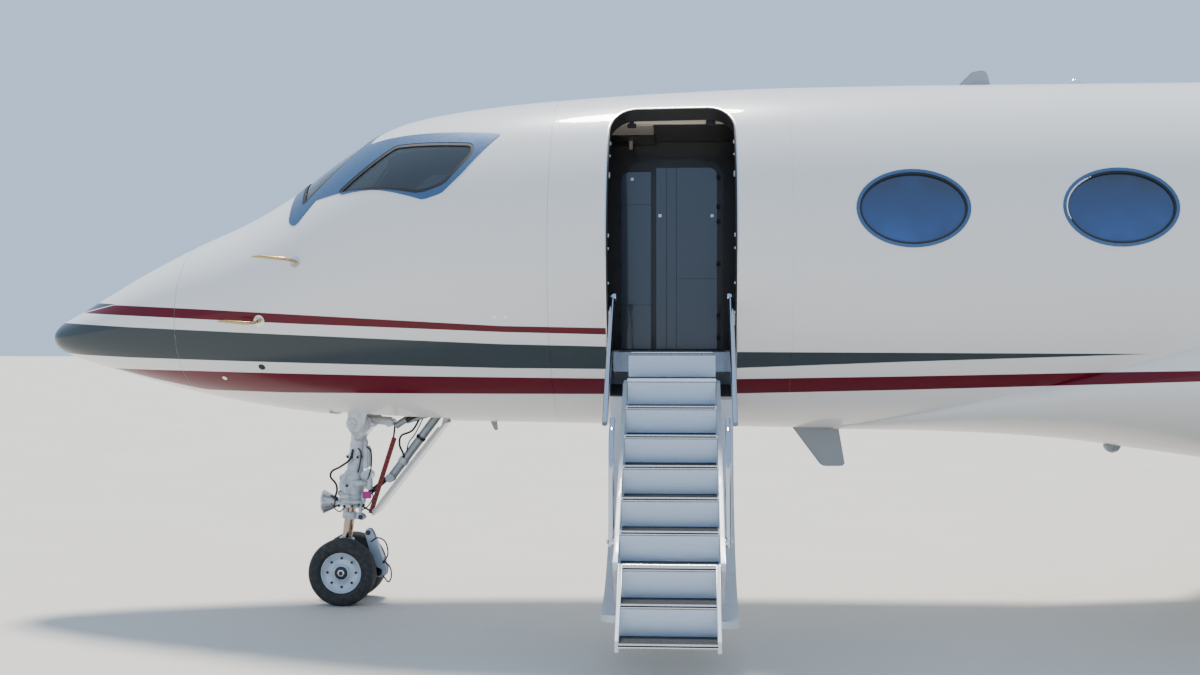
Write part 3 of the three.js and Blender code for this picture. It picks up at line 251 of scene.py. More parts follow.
FLOOR_REACH = 150.0
floor_finish = Finish("floor_screed", (0.62, 0.59, 0.55), 0.75).grain(
    0.6, 6, ((0.60, 0.555, 0.49), (0.68, 0.635, 0.57)))
floor_mesh = bpy.data.meshes.new("floor")
floor_mesh.from_pydata([(x, y, 0) for x, y in ((-1, -1), (1, -1), (1, 1), (-1, 1))], [], [(0, 1, 2, 3)])
floor_mesh.transform(Matrix.Diagonal((FLOOR_REACH, FLOOR_REACH, 1, 1)))
floor = new_object("floor", floor_mesh, [floor_finish])
floor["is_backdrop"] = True


# Fuselage skin
# A pressure tube of riveted aluminium skins, rolled to one smooth form from the nose to the tail
# and painted pearl white, with a grey band between two burgundy bands along its flanks.

# Columns: station, half width, top, bottom
HULL = np.array([
    (0, 0, 2.2, 2.2),
    (0.06, 0.165, 2.3, 2.095),
    (0.25, 0.32, 2.405, 2.015),
    (0.5, 0.455, 2.548, 1.938),
    (0.9, 0.62, 2.775, 1.828),
    (1.29, 0.755, 2.97, 1.733),
    (1.75, 0.9, 3.174, 1.645),
    (2.13, 1.005, 3.395, 1.59),
    (2.45, 1.085, 3.64, 1.556),
    (2.85, 1.17, 3.889, 1.53),
    (3.08, 1.215, 3.978, 1.52),
    (3.6, 1.29, 4.073, 1.507),
    (4.3, 1.35, 4.142, 1.497),
    (5.2, 1.392, 4.195, 1.482),
    (6.1, 1.408, 4.225, 1.468),
    (7.5, 1.41, 4.235, 1.461),
    (17.8, 1.41, 4.235, 1.47),
    (19, 1.375, 4.23, 1.55),
    (20, 1.33, 4.22, 1.7),
    (21, 1.245, 4.19, 1.93),
    (22, 1.13, 4.15, 2.18),
    (24, 0.86, 4.04, 2.66),
    (26, 0.55, 3.88, 3.04),
    (27.7, 0.24, 3.69, 3.27),
])


def smooth_curve(knots, values, wanted):
    """A curve through the values that never swings past them."""
    gaps = np.diff(knots)
    slopes = np.diff(values) / gaps
    tangents = np.empty(len(knots))
    tangents[0], tangents[-1] = slopes[0], slopes[-1]
    before, after = slopes[:-1], slopes[1:]
    rising = before * after > 0
    weight_a, weight_b = 2 * gaps[1:] + gaps[:-1], gaps[1:] + 2 * gaps[:-1]
    safe_before = np.where(rising, before, 1)
    safe_after = np.where(rising, after, 1)
    mean = (weight_a + weight_b) / (weight_a / safe_before + weight_b / safe_after)
    tangents[1:-1] = np.where(rising, mean, 0)
    k = np.clip(np.searchsorted(knots, wanted) - 1, 0, len(gaps) - 1)
    t = (wanted - knots[k]) / gaps[k]
    return (
        (2 * t**3 - 3 * t**2 + 1) * values[k]
        + (t**3 - 2 * t**2 + t) * gaps[k] * tangents[k]
        + (3 * t**2 - 2 * t**3) * values[k + 1]
        + (t**3 - t**2) * gaps[k] * tangents[k + 1]
    )


def hull_section(station):
    """Half width, middle height and half height at one or many stations."""
    station = np.clip(np.asarray(station, float), 0, HULL[-1, 0])
    width, top, bottom = (smooth_curve(np.sqrt(HULL[:, 0]), HULL[:, k], np.sqrt(station)) for k in (1, 2, 3))
    return width, (top + bottom) / 2, (top - bottom) / 2


def hull_point(station, angle, lift=0.0):
    """A point on the skin. The angle runs from the crown down the port side."""
    width, middle, half = hull_section(station)
    # the nose comes to one point, so the lift fades out there
    lift = lift * np.clip(width / 0.1, 0, 1)
    x = np.asarray(station, float) - MIDDLE
    return np.stack([x, -(width + lift) * np.sin(angle), middle + (half + lift) * np.cos(angle)], axis=-1)


def hull_normal(station, angle):
    ahead = hull_point(np.maximum(station - 0.01, 0.0004), angle)
    behind = hull_point(np.minimum(station + 0.01, HULL[-1, 0]), angle)
    around = hull_point(station, angle + 0.01) - hull_point(station, angle - 0.01)
    normal = np.cross(around, behind - ahead)
    tip = np.asarray(station) < 0.003
    normal[tip] = (-1, 0, 0)
    return normal / np.linalg.norm(normal, axis=-1, keepdims=True)


def side_angle(station, height):
    """The angle on the port side at which the skin is at this height."""
    _, middle, half = hull_section(station)
    return np.arccos(np.clip((np.asarray(height) - middle) / half, -1, 1))


def inside_loops(points, loops):
    """Which points lie in the loops taken together, where a loop in a loop is a hole."""
    inside = np.zeros(len(points), bool)
    for loop in loops:
        start, end = loop, np.roll(loop, -1, axis=0)
        for (x0, y0), (x1, y1) in zip(start, end):
            crosses = (y0 > points[:, 1]) != (y1 > points[:, 1])
            with np.errstate(divide="ignore", invalid="ignore"):
                where = (x1 - x0) * (points[:, 1] - y0) / (y1 - y0) + x0
            inside ^= crosses & (points[:, 0] < where)
    return inside


def finer(loop, step):
    """The same closed loop with no side longer than step."""
    points = []
    for start, end in zip(loop, np.roll(loop, -1, axis=0)):
        pieces = max(1, math.ceil(np.linalg.norm((end - start) / step)))
        points += [start + (end - start) * k / pieces for k in range(pieces)]
    return np.array(points)


def grid_step(length, degrees):
    """How fine a skin is divided: along the stations, and round the hull."""
    return np.array((length, math.radians(degrees)))


SKIN_STEP = grid_step(0.16, 5)


def skin_mesh(name, loops, outer=0.0, inner=-0.05, step=SKIN_STEP, ring=False):
    """A closed shell that follows the hull between two lifts, inside loops of (station, angle).

    Faces take material 0 outside, 1 inside and 2 on the edges. A ring is closed under the belly.
    """
    loops = [finer(np.array(loop, float), step) for loop in loops]
    low, high = loops[0].min(0), loops[0].max(0)
    counts = np.maximum(1, np.ceil((high - low) / step)).astype(int)
    axes = [np.linspace(low[k], high[k], counts[k] + 1) for k in (0, 1)]
    grid = np.stack(np.meshgrid(*axes, indexing="ij"), axis=-1).reshape(-1, 2)
    grid = grid[inside_loops(grid, loops)]
    border = np.concatenate(loops)
    spread = np.abs((grid[:, None] - border[None]) / step).max(-1).min(1) if len(grid) else []
    grid = grid[np.array(spread) > 0.35] if len(grid) else grid
    points = np.concatenate([border, grid]) / step
    edges, first = [], 0
    for loop in loops:
        count = len(loop)
        edges += [(first + k, first + (k + 1) % count) for k in range(count)]
        first += count
    found, _, faces, *_ = delaunay_2d_cdt([Vector(p) for p in points], edges, [], 0, 1e-6)
    flat = np.array([tuple(v) for v in found]) * step
    faces = np.array([face for face in faces if len(face) == 3])
    faces = faces[inside_loops(flat[faces].mean(1), loops)]
    turn = np.cross(flat[faces[:, 1]] - flat[faces[:, 0]], flat[faces[:, 2]] - flat[faces[:, 0]])
    faces[turn > 0] = faces[turn > 0][:, ::-1]
    sides = np.concatenate([faces[:, [0, 1]], faces[:, [1, 2]], faces[:, [2, 0]]])
    keys = {tuple(side) for side in sides.tolist()}
    rim = np.array([side for side in sides.tolist() if (side[1], side[0]) not in keys])
    if ring:
        at_seam = [np.isclose(flat[rim, 1], edge).all(1) for edge in (low[1], high[1])]
        rim = rim[~(at_seam[0] | at_seam[1])]
    total = len(flat)
    skin = hull_point(flat[:, 0], flat[:, 1], outer)
    lining = hull_point(flat[:, 0], flat[:, 1], inner)
    facing = hull_normal(flat[:, 0], flat[:, 1])
    places = np.concatenate([skin, lining])
    facings = np.concatenate([facing, -facing])
    walls = np.concatenate([
        np.stack([rim[:, 1], rim[:, 0], rim[:, 0] + total], 1),
        np.stack([rim[:, 1], rim[:, 0] + total, rim[:, 1] + total], 1),
    ])
    triangles = np.concatenate([faces, faces[:, ::-1] + total, walls])
    kinds = np.repeat([0, 1, 2], [len(faces), len(faces), len(walls)])
    _, keep, same = np.unique(np.round(places, 6), axis=0, return_index=True, return_inverse=True)
    same = same.reshape(-1)
    facings = facings[keep]
    triangles = same[triangles]
    whole = (triangles[:, 0] != triangles[:, 1]) & (triangles[:, 1] != triangles[:, 2]) & (
        triangles[:, 0] != triangles[:, 2])
    triangles, kinds = triangles[whole], kinds[whole]
    mesh = bpy.data.meshes.new(name)
    mesh.from_pydata(places[keep].tolist(), [], triangles.tolist())
    mesh.polygons.foreach_set("material_index", kinds.astype(np.int32))
    mesh.polygons.foreach_set("use_smooth", np.ones(len(triangles), bool))
    mesh.update()
    mesh.set_sharp_from_angle(angle=math.radians(35))
    given = facings[triangles]
    given[kinds == 2] = 0
    mesh.normals_split_custom_set(given.reshape(-1, 3).tolist())
    return mesh


# The stripes follow the flank: a thin burgundy line, a broad grey band that wraps the nose tip
# and tapers to a point behind the door, and a second burgundy band that runs on over the fairing.

# Columns: station, lower edge, upper edge
UPPER_STRIPE = [
    (0.34, 2.402, 2.402), (0.69, 2.384, 2.463), (1.56, 2.341, 2.419), (2.38, 2.303, 2.372),
    (3.17, 2.272, 2.328), (3.94, 2.241, 2.286), (4.735, 2.222, 2.27),
]
NOSE_WEDGE = [(0.18, 2.385, 2.5), (0.32, 2.407, 2.495), (0.69, 2.468, 2.47)]
GREY_STRIPE = [
    (0.0, 2.08, 2.33), (0.37, 2.056, 2.31), (0.83, 2.039, 2.285), (1.93, 2.012, 2.236), (2.95, 1.989, 2.192),
    (3.92, 1.968, 2.151), (4.71, 1.963, 2.133), (5.7, 1.972, 2.093), (6.89, 2.019, 2.088), (8.69, 2.08, 2.08),
]
LOWER_STRIPE = [
    (0.6, 1.945, 1.945), (0.95, 1.86, 1.94), (1.4, 1.776, 1.934), (2.15, 1.762, 1.92), (3.08, 1.762, 1.903),
    (4.7, 1.766, 1.889), (5.7, 1.774, 1.888), (6.92, 1.805, 1.91), (8.01, 1.839, 1.934), (9.1, 1.887, 1.962),
    (12.0, 2.04, 2.09), (15.0, 2.21, 2.235), (17.5, 2.35, 2.35),
]
PEARL = (0.80, 0.785, 0.76)
BAND_GREY = (0.04, 0.052, 0.058)
BURGUNDY = (0.11, 0.0015, 0.012)
STRIPE_LOW, STRIPE_HIGH = 1.5, 2.6


def edge_curve(finish, station, rows, column):
    """The height of one edge of a stripe at a station."""
    reach = rows[-1][0]
    points = [(row[0] / reach, (row[column] - STRIPE_LOW) / (STRIPE_HIGH - STRIPE_LOW)) for row in rows]
    if points[0][0] > 0:
        points.insert(0, (0.0, points[0][1]))
    node = finish.node("ShaderNodeFloatCurve", {"points": points}, Value=station / reach)
    return Value(finish.tree, node.outputs[0]) * (STRIPE_HIGH - STRIPE_LOW) + STRIPE_LOW


def stripe_mask(finish, station, height, rows):
    softness = 0.0015
    low, high = (edge_curve(finish, station, rows, column) for column in (1, 2))
    above = (height - low).ramp(-softness, softness)
    below = (high - height).ramp(-softness, softness)
    begun = (station - rows[0][0]).ramp(0, softness)
    ended = (station - rows[-1][0]).ramp(softness, 0)
    return above * below * begun * ended


def pearl_paint(name, swung=False, stripes=True):
    """Pearl white enamel under clear coat; on the open door the pattern is turned with the door."""
    finish = Finish(name, PEARL, 0.3, 0.0, coat_weight=0.38, coat_roughness=0.04)
    finish.set(**{"Specular IOR Level": 0.1})
    if swung:
        turned = finish.node(
            "ShaderNodeVectorRotate", {"rotation_type": "AXIS_ANGLE"}, Vector=finish.place,
            Center=(0, -DOOR_HINGE[0], DOOR_HINGE[1]), Axis=(1, 0, 0), Angle=-DOOR_SWING)
        finish.place = turned.outputs[0]
    x, _, height = finish.xyz()
    station = x + MIDDLE
    cloud = finish.noise(1.3, 4)
    color = finish.mix(cloud, tuple(c * 0.985 for c in PEARL), tuple(min(1, c * 1.012) for c in PEARL))
    if stripes:
        for rows, paint in ((UPPER_STRIPE, BURGUNDY), (NOSE_WEDGE, BAND_GREY), (GREY_STRIPE, BAND_GREY),
                            (LOWER_STRIPE, BURGUNDY)):
            color = finish.mix(stripe_mask(finish, station, height, rows), color, paint)
    finish.set(**{"Base Color": color})
    finish.bump(finish.noise(14.0, 2), 0.0003)
    return finish


DOOR_HINGE = (0.84462, 1.76)
DOOR_SWING = math.radians(132)
livery = pearl_paint("pearl_paint_striped")
plain_pearl = pearl_paint("pearl_paint", stripes=False)
trim_seal = Finish("black_seal_rubber", (0.012, 0.012, 0.013), 0.6).grain(90.0, 2, depth=0.0004)
lining_finish = Finish("cabin_lining", (0.55, 0.49, 0.40), 0.7).grain(
    160.0, 2, ((0.52, 0.46, 0.37), (0.58, 0.52, 0.43)), 0.0006)
SKIN_FINISHES = [livery, lining_finish, plain_pearl]

SEAM = 0.0015
RADOME_END = 1.29
COCKPIT_START, COCKPIT_SILL, COCKPIT_END = 1.96, 2.6, 4.3
CABIN_START, CABIN_END, TAIL_END = 6.1, 17.8, 27.7
CROWN_SEAM, BELLY_SEAM = 3.7, 2.4
WALL = 0.10


def rectangle(station0, station1, angle0, angle1):
    return np.array([(station0, angle0), (station1, angle0), (station1, angle1), (station0, angle1)])


def placed(name, mesh, finishes, slot, *nodes, body="airframe"):
    """Makes a mesh one piece that rides on a body, in the place of nodes."""
    piece = new_object(name, mesh, finishes)
    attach(piece, body)
    if nodes:
        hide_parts(*nodes)
    return piece


def skin_panel(name, node, loops, inner=-WALL, step=SKIN_STEP, ring=False, finishes=SKIN_FINISHES):
    placed(name, skin_mesh(name, loops, 0.0, inner, step, ring), finishes, "white_paint", node)


# Radome
# A thin glass-fibre cone over the weather radar, hinged and latched to the nose at a fine seam.

skin_panel("radome_shell", "radome", [rectangle(0, RADOME_END - SEAM, -math.pi, math.pi)], -0.03,
           grid_step(0.045, 5), ring=True)


# Nose section
# The lower shell under the cockpit floor, with the bay that the nose leg folds into.

BAY_FRONT, BAY_BACK, BAY_HALF_WIDTH = 2.42, 3.4, 0.30


def sill_line(station0, station1, height, count=24):
    stations = np.linspace(station0, station1, count)
    return np.stack([stations, side_angle(stations, height)], 1)


def belly_box(station0, station1, half_width):
    """A loop round an opening in the belly."""
    stations = np.linspace(station0, station1, 12)
    reach = np.arcsin(half_width / hull_section(stations)[0])
    port, starboard = np.stack([stations, math.pi - reach], 1), np.stack([stations, math.pi + reach], 1)
    return np.concatenate([port, starboard[::-1]])


port_sill = sill_line(COCKPIT_START, COCKPIT_END - SEAM, COCKPIT_SILL)
starboard_sill = port_sill * (1, -1) + (0, TAU)
nose_loop = np.concatenate([
    [(RADOME_END + SEAM, 0), (COCKPIT_START, 0)], port_sill, starboard_sill[::-1],
    [(COCKPIT_START, TAU), (RADOME_END + SEAM, TAU)],
])
skin_panel("nose_shell", "nose_section", [nose_loop, belly_box(BAY_FRONT, BAY_BACK, BAY_HALF_WIDTH)],
           -0.05, grid_step(0.08, 4), ring=True)


# Cockpit shell
# The roof and brow of the flight deck, cut for two windshields and a side window each side.

# Glass openings as (station, height) beside the pilot and as (station, y) in front
SIDE_GLASS = [(2.637, 3.312), (3.066, 3.688), (3.686, 3.68), (3.702, 3.604), (3.494, 3.355), (3.329, 3.298)]
WINDSHIELD = [(2.21, 0.045), (2.82, 0.045), (2.74, 0.52), (2.33, 0.78)]
ROUNDING = 0.05


def rounded(loop, radius, count=6):
    """The same loop with each corner turned on a small arc."""
    loop = np.array(loop, float)
    points = []
    for before, corner, after in zip(np.roll(loop, 1, axis=0), loop, np.roll(loop, -1, axis=0)):
        arms = [(p - corner) for p in (before, after)]
        reach = [min(radius, 0.45 * np.linalg.norm(arm)) for arm in arms]
        start, end = (corner + arm * r / np.linalg.norm(arm) for arm, r in zip(arms, reach))
        for t in np.linspace(0, 1, count):
            points.append((1 - t) ** 2 * start + 2 * t * (1 - t) * corner + t**2 * end)
    return np.array(points)


def grown(loop, distance):
    """The same loop moved outwards by a distance, or inwards where it is negative."""
    loop = np.array(loop, float)
    along = np.roll(loop, -1, axis=0) - np.roll(loop, 1, axis=0)
    along /= np.linalg.norm(along, axis=1, keepdims=True)
    area = np.sum(loop[:, 0] * np.roll(loop[:, 1], -1) - loop[:, 1] * np.roll(loop[:, 0], -1))
    outward = np.stack([along[:, 1], -along[:, 0]], 1) * np.sign(area)
    return loop + outward * distance


def side_loop(loop, sign):
    """A loop of (station, height) as (station, angle) on the port (1) or starboard (-1) side."""
    return np.stack([loop[:, 0], sign * side_angle(loop[:, 0], loop[:, 1])], 1)


def top_loop(loop, sign):
    """A loop of (station, y) on the crown as (station, angle)."""
    return np.stack([loop[:, 0], sign * np.arcsin(loop[:, 1] / hull_section(loop[:, 0])[0])], 1)


side_glass = rounded(SIDE_GLASS, ROUNDING)
front_glass = rounded(WINDSHIELD, ROUNDING)
GLASS_LOOPS = {
    "port_side": side_loop(side_glass, 1),
    "starboard_side": side_loop(side_glass, -1),
    "port_front": top_loop(front_glass, 1),
    "starboard_front": top_loop(front_glass, -1),
}
roof_loop = np.concatenate([port_sill, (port_sill * (1, -1))[::-1]])
skin_panel("cockpit_roof", "cockpit_shell", [roof_loop, *GLASS_LOOPS.values()], -0.06, grid_step(0.06, 3.5))


# Entry section
# The barrel behind the cockpit, with the doorway cut in its port side down to below the floor.

DOOR_FRONT, DOOR_BACK, DOOR_SILL, DOOR_TOP = 4.741, 5.684, 1.76, 3.96
DOOR_CORNER = 0.2


def door_loop(shrink, sill_shrink=None):
    """The doorway's outline as (station, height), moved inwards by shrink."""
    low = DOOR_SILL + (shrink if sill_shrink is None else sill_shrink)
    top, radius = DOOR_TOP - shrink, DOOR_CORNER - shrink
    left, right = DOOR_FRONT + shrink, DOOR_BACK - shrink
    turns = np.linspace(0, math.pi / 2, 9)
    aft = [(right - radius + radius * math.cos(a), top - radius + radius * math.sin(a)) for a in turns]
    fore = [(left + radius - radius * math.sin(a), top - radius + radius * math.cos(a)) for a in turns]
    return np.array([(left, low), (right, low), *aft, *fore])


skin_panel("entry_barrel", "entry_section", [
    rectangle(COCKPIT_END, CABIN_START - SEAM / 3, -math.pi, math.pi),
    side_loop(finer(door_loop(0), np.array((0.1, 0.1))), 1),
], -WALL, grid_step(0.1, 4), ring=True, finishes=[livery, lining_finish, trim_seal])


# Cabin
# Four long panels riveted to frames: crown, belly and two sides, each side with eight oval windows.

WINDOW_FIRST, WINDOW_PITCH, WINDOW_COUNT, WINDOW_HEIGHT = 6.956, 1.466, 8, 3.135
WINDOW_HALF_LENGTH, WINDOW_HALF_HEIGHT = 0.375, 0.255


def window_loop(number, growth=0.0, count=48):
    turns = np.linspace(0, TAU, count, endpoint=False)
    return np.stack([
        WINDOW_FIRST + number * WINDOW_PITCH + (WINDOW_HALF_LENGTH + growth) * np.cos(turns),
        WINDOW_HEIGHT + (WINDOW_HALF_HEIGHT + growth) * np.sin(turns),
    ], 1)


crown_edge = sill_line(CABIN_START, CABIN_END, CROWN_SEAM, 40)
belly_edge = sill_line(CABIN_START, CABIN_END, BELLY_SEAM, 40)
CABIN_STEP = grid_step(0.45, 4)
PORT_TO_STARBOARD = (1, -1)
crown_loop = np.concatenate([crown_edge, (crown_edge * PORT_TO_STARBOARD)[::-1]])
belly_loop = np.concatenate([belly_edge, (belly_edge * PORT_TO_STARBOARD + (0, TAU))[::-1]])
skin_panel("cabin_crown_panel", "cabin_crown", [crown_loop], step=CABIN_STEP)
skin_panel("cabin_belly_panel", "cabin_belly", [belly_loop], step=CABIN_STEP)
for side, sign in (("port", 1), ("starboard", -1)):
    panel_loop = np.concatenate([crown_edge, belly_edge[::-1]]) * (1, sign)
    holes = [side_loop(window_loop(k), sign) for k in range(WINDOW_COUNT)]
    skin_panel(f"cabin_{side}_panel", f"cabin_{side}_side", [panel_loop, *holes], step=CABIN_STEP)


# Tail cone
# The tapering shell behind the pressure bulkhead, which carries the engines and the fin.

skin_panel("tail_shell", "tail_cone", [rectangle(CABIN_END, TAIL_END, -math.pi, math.pi)], -0.06,
           grid_step(0.35, 5), ring=True, finishes=[plain_pearl, lining_finish, plain_pearl])


# Flight deck windows
# Heated laminated panes bedded on black sealant, clamped under blue-grey anodised retainer frames.

window_metal = Finish("anodised_retainer", (0.06, 0.12, 0.24), 0.36, 0.5, coat_weight=0.15).grain(
    30.0, 3, ((0.04, 0.09, 0.19), (0.09, 0.17, 0.31)), 0.0002, (0.14, 0.25), (1, 1, 6))
cockpit_glass = Finish("flight_deck_glass", (0.02, 0.03, 0.04), 0.03, 0.0, alpha=0.62, coat_weight=1.0,
                       coat_roughness=0.01)
cockpit_glass.grain(2.0, 2, ((0.012, 0.018, 0.025), (0.03, 0.042, 0.052)))

SIDE_RETAINER = [
    (2.40, 3.262), (2.80, 3.735), (3.0, 3.772), (3.905, 3.765), (3.62, 3.42), (3.49, 3.282), (3.36, 3.236)]
FRONT_RETAINER = [(2.14, 0.0), (2.87, 0.0), (2.80, 0.575), (2.74, 0.64), (2.30, 0.90), (2.22, 0.82)]
SEAL_WIDTH = 0.012
FINE_STEP = grid_step(0.03, 1.5)


def joined(name, meshes):
    """One mesh from several, each keeping its own material number."""
    whole = bmesh.new()
    for mesh in meshes:
        whole.from_mesh(mesh)
    result = bpy.data.meshes.new(name)
    whole.to_mesh(result)
    whole.free()
    for mesh in meshes:
        bpy.data.meshes.remove(mesh)
    return result


side_retainer = rounded(SIDE_RETAINER, 0.03)
front_retainer = rounded(FRONT_RETAINER, 0.05)
panes, seals, retainers = [], [], []
for sign in (1, -1):
    for glass, retainer, as_loop in (
            (side_glass, side_retainer, side_loop), (front_glass, front_retainer, top_loop)):
        pane = as_loop(glass, sign)
        sealed, within = (as_loop(grown(glass, growth), sign) for growth in (SEAL_WIDTH, -SEAL_WIDTH))
        panes.append(skin_mesh("pane", [pane], -0.006, -0.016, FINE_STEP))
        seals.append(skin_mesh("seal", [sealed, within], 0.0015, -0.02, FINE_STEP))
        retainers.append(skin_mesh("retainer", [as_loop(retainer, sign), sealed], 0.004, -0.004, FINE_STEP))
placed("flight_deck_panes", joined("panes", panes), [cockpit_glass] * 3, "window_glass", "cockpit_glazing")
placed("flight_deck_seals", joined("seals", seals), [trim_seal] * 3, "tyre_rubber")
placed("flight_deck_retainers", joined("retainers", retainers), [window_metal] * 3, "wheel_metal")


# Cabin windows
# Sixteen oval panes, each in a bright anodised ring with a dark sealant line and a deep reveal.

cabin_glass = Finish("cabin_window_glass", (0.01, 0.03, 0.1), 0.04, 0.0, coat_weight=1.0, coat_roughness=0.01)
_, _, pane_height = cabin_glass.xyz()
# Each pane is painted dark at its top and bright blue along its lower edge, a painted sky reflection, with a
# random ripple over it.
lit = (pane_height - (WINDOW_HEIGHT - WINDOW_HALF_HEIGHT)).ramp(0.5, 0.02)
ripple = cabin_glass.noise(3.0, 3)
deep = cabin_glass.mix(lit, (0.004, 0.008, 0.022), (0.012, 0.07, 0.27))
cabin_glass.set(**{"Base Color": cabin_glass.mix(ripple.ramp(0.35, 0.75), deep, (0.006, 0.03, 0.12))})


def wired(tree, *wires):
    """Joins nodes; each wire is a node, its output, the next node and its input."""
    for start, output, end, entry in wires:
        tree.links.new(start.outputs[output], end.inputs[entry])


def repeat_tree(name, turned):
    """A Geometry Nodes tree that copies one object, named Unit, in a row or turned round its own origin."""
    tree = bpy.data.node_groups.new(name, "GeometryNodeTree")
    for entry, kind in (("Unit", "Object"), ("Count", "Int"), ("Reach", "Vector"), ("Finish", "Material")):
        tree.interface.new_socket(entry, in_out="INPUT", socket_type=f"NodeSocket{kind}")
    tree.interface.new_socket("Geometry", in_out="OUTPUT", socket_type="NodeSocketGeometry")
    source, end, unit, line, copies, real, finish = (tree.nodes.new(kind) for kind in (
        "NodeGroupInput", "NodeGroupOutput", "GeometryNodeObjectInfo", "GeometryNodeMeshLine",
        "GeometryNodeInstanceOnPoints", "GeometryNodeRealizeInstances", "GeometryNodeSetMaterial"))
    wired(tree, (source, "Unit", unit, "Object"), (unit, "Geometry", copies, "Instance"),
          (source, "Count", line, "Count"), (line, "Mesh", copies, "Points"),
          (copies, "Instances", real, "Geometry"), (real, "Geometry", finish, "Geometry"),
          (source, "Finish", finish, "Material"), (finish, "Geometry", end, "Geometry"))
    if turned:
        index, scale = tree.nodes.new("GeometryNodeInputIndex"), tree.nodes.new("ShaderNodeVectorMath")
        scale.operation = "SCALE"
        line.inputs["Offset"].default_value = (0, 0, 0)
        wired(tree, (source, "Reach", scale, 0), (index, "Index", scale, "Scale"),
              (scale, "Vector", copies, "Rotation"))
    else:
        wired(tree, (source, "Reach", line, "Offset"))
    return tree


row_tree = repeat_tree("row_of_copies", False)
round_tree = repeat_tree("round_of_copies", True)


def copied(tree, mesh, count, reach, finish, place=(0, 0, 0)):
    """All the copies as one (mesh, finish) pair. Reach is the step between them, or the turn on each axis."""
    unit = bpy.data.objects.new("unit", mesh)
    carrier = bpy.data.objects.new("carrier", bpy.data.meshes.new("carrier"))
    for thing in (unit, carrier):
        bpy.context.scene.collection.objects.link(thing)
    modifier = carrier.modifiers.new("copies", "NODES")
    modifier.node_group = tree
    given = {"Unit": unit, "Count": count, "Reach": reach, "Finish": finish.material}
    for item in tree.interface.items_tree:
        if item.in_out == "INPUT":
            modifier[item.identifier] = given[item.name]
    carrier.update_tag()
    graph = bpy.context.evaluated_depsgraph_get()
    result = bpy.data.meshes.new_from_object(carrier.evaluated_get(graph))
    bpy.data.objects.remove(carrier)
    bpy.data.objects.remove(unit)
    bpy.data.meshes.remove(mesh)
    result.transform(Matrix.Translation(place))
    return result, finish


WINDOW_RINGS = (
    # name, inner growth, outer growth, outer lift, inner lift, finish, slot
    ("ring", 0.010, 0.034, 0.004, -0.002, window_metal, "wheel_metal"),
    ("sealant", -0.004, 0.010, 0.001, -0.02, trim_seal, "tyre_rubber"),
    ("pane", None, -0.002, -0.012, -0.02, cabin_glass, "window_glass"),
)
for side, sign in (("port", 1), ("starboard", -1)):
    for part, inner, outer, lift, depth, finish, slot in WINDOW_RINGS:
        growths = [outer] if inner is None else [outer, inner]
        loops = [side_loop(window_loop(0, growth), sign) for growth in growths]
        unit = skin_mesh(part, loops, lift, depth, grid_step(0.04, 2))
        copies, _ = copied(row_tree, unit, WINDOW_COUNT, (WINDOW_PITCH, 0, 0), finish)
        placed(f"{side}_window_{part}s", copies, [], slot)


# Doorway
# A black rubber seal round the cut-out, inside a thin bright edge strip, with roller fittings.

bright_strip = Finish("bright_strip", (0.6, 0.62, 0.64), 0.22, 1.0).grain(40.0, rough=(0.2, 0.14))
DOOR_STEP = grid_step(0.05, 2.5)


def door_ring(name, outside, within, lift, depth):
    loops = [side_loop(finer(door_loop(edge), DOOR_STEP), 1) for edge in (outside, within)]
    return skin_mesh(name, loops, lift, depth, DOOR_STEP)


placed("doorway_edge_strip", door_ring("edge", -0.014, -0.007, 0.0025, -0.004), [bright_strip] * 3, "chrome")
placed("doorway_seal", door_ring("seal", -0.007, 0.004, 0.004, -0.03), [trim_seal] * 3, "tyre_rubber")


# Stair door
# The lowered door is the stairs' backing: a curved skin with a closing seal, hinged at the sill.

STAIR_X = (DOOR_FRONT + DOOR_BACK) / 2 - MIDDLE
DOOR_GAP, DOOR_FOOT_GAP = 0.006, 0.012
striped_door = pearl_paint("pearl_paint_on_door", swung=True)
primer = Finish("satin_door_lining", (0.66, 0.68, 0.7), 0.42, 0.1).grain(
    18.0, 4, ((0.58, 0.6, 0.62), (0.72, 0.74, 0.76)), 0.0004)


def swing_open(mesh):
    """Turns a mesh drawn on the shut door to where it lies when the door is down."""
    to_hinge = Matrix.Translation((0, -DOOR_HINGE[0], DOOR_HINGE[1]))
    mesh.transform(to_hinge @ Matrix.Rotation(DOOR_SWING, 4, "X") @ to_hinge.inverted())
    return mesh


def finish_edges(work, name, angle=35):
    """Closes a bmesh into a mesh with its broad faces smooth and its corners crisp."""
    bmesh.ops.remove_doubles(work, verts=work.verts, dist=1e-6)
    bmesh.ops.recalc_face_normals(work, faces=work.faces)
    mesh = bpy.data.meshes.new(name)
    work.to_mesh(mesh)
    work.free()
    mesh.polygons.foreach_set("use_smooth", np.ones(len(mesh.polygons), bool))
    mesh.set_sharp_from_angle(angle=math.radians(angle))
    return mesh


def prism(outline, axis, low, high, bevel=0.002, segments=2):
    """A flat outline on the other two axes, pushed from low to high along one axis, with eased edges."""
    work = bmesh.new()
    near, far = ([work.verts.new((*point[:axis], reach, *point[axis:])) for point in outline]
                 for reach in (low, high))
    work.faces.new(near)
    work.faces.new(far[::-1])
    for k, after in enumerate([*range(1, len(outline)), 0]):
        work.faces.new((near[k], far[k], far[after], near[after]))
    bmesh.ops.bevel(work, geom=work.edges[:], offset=bevel, segments=segments, affect="EDGES",
                    clamp_overlap=True)
    return finish_edges(work, "prism")


def plate(outline, low, high, bevel=0.004, segments=2):
    """An outline of (station, height), pushed from low to high across the jet."""
    return prism([(station - MIDDLE, height) for station, height in outline], 1, low, high, bevel, segments)


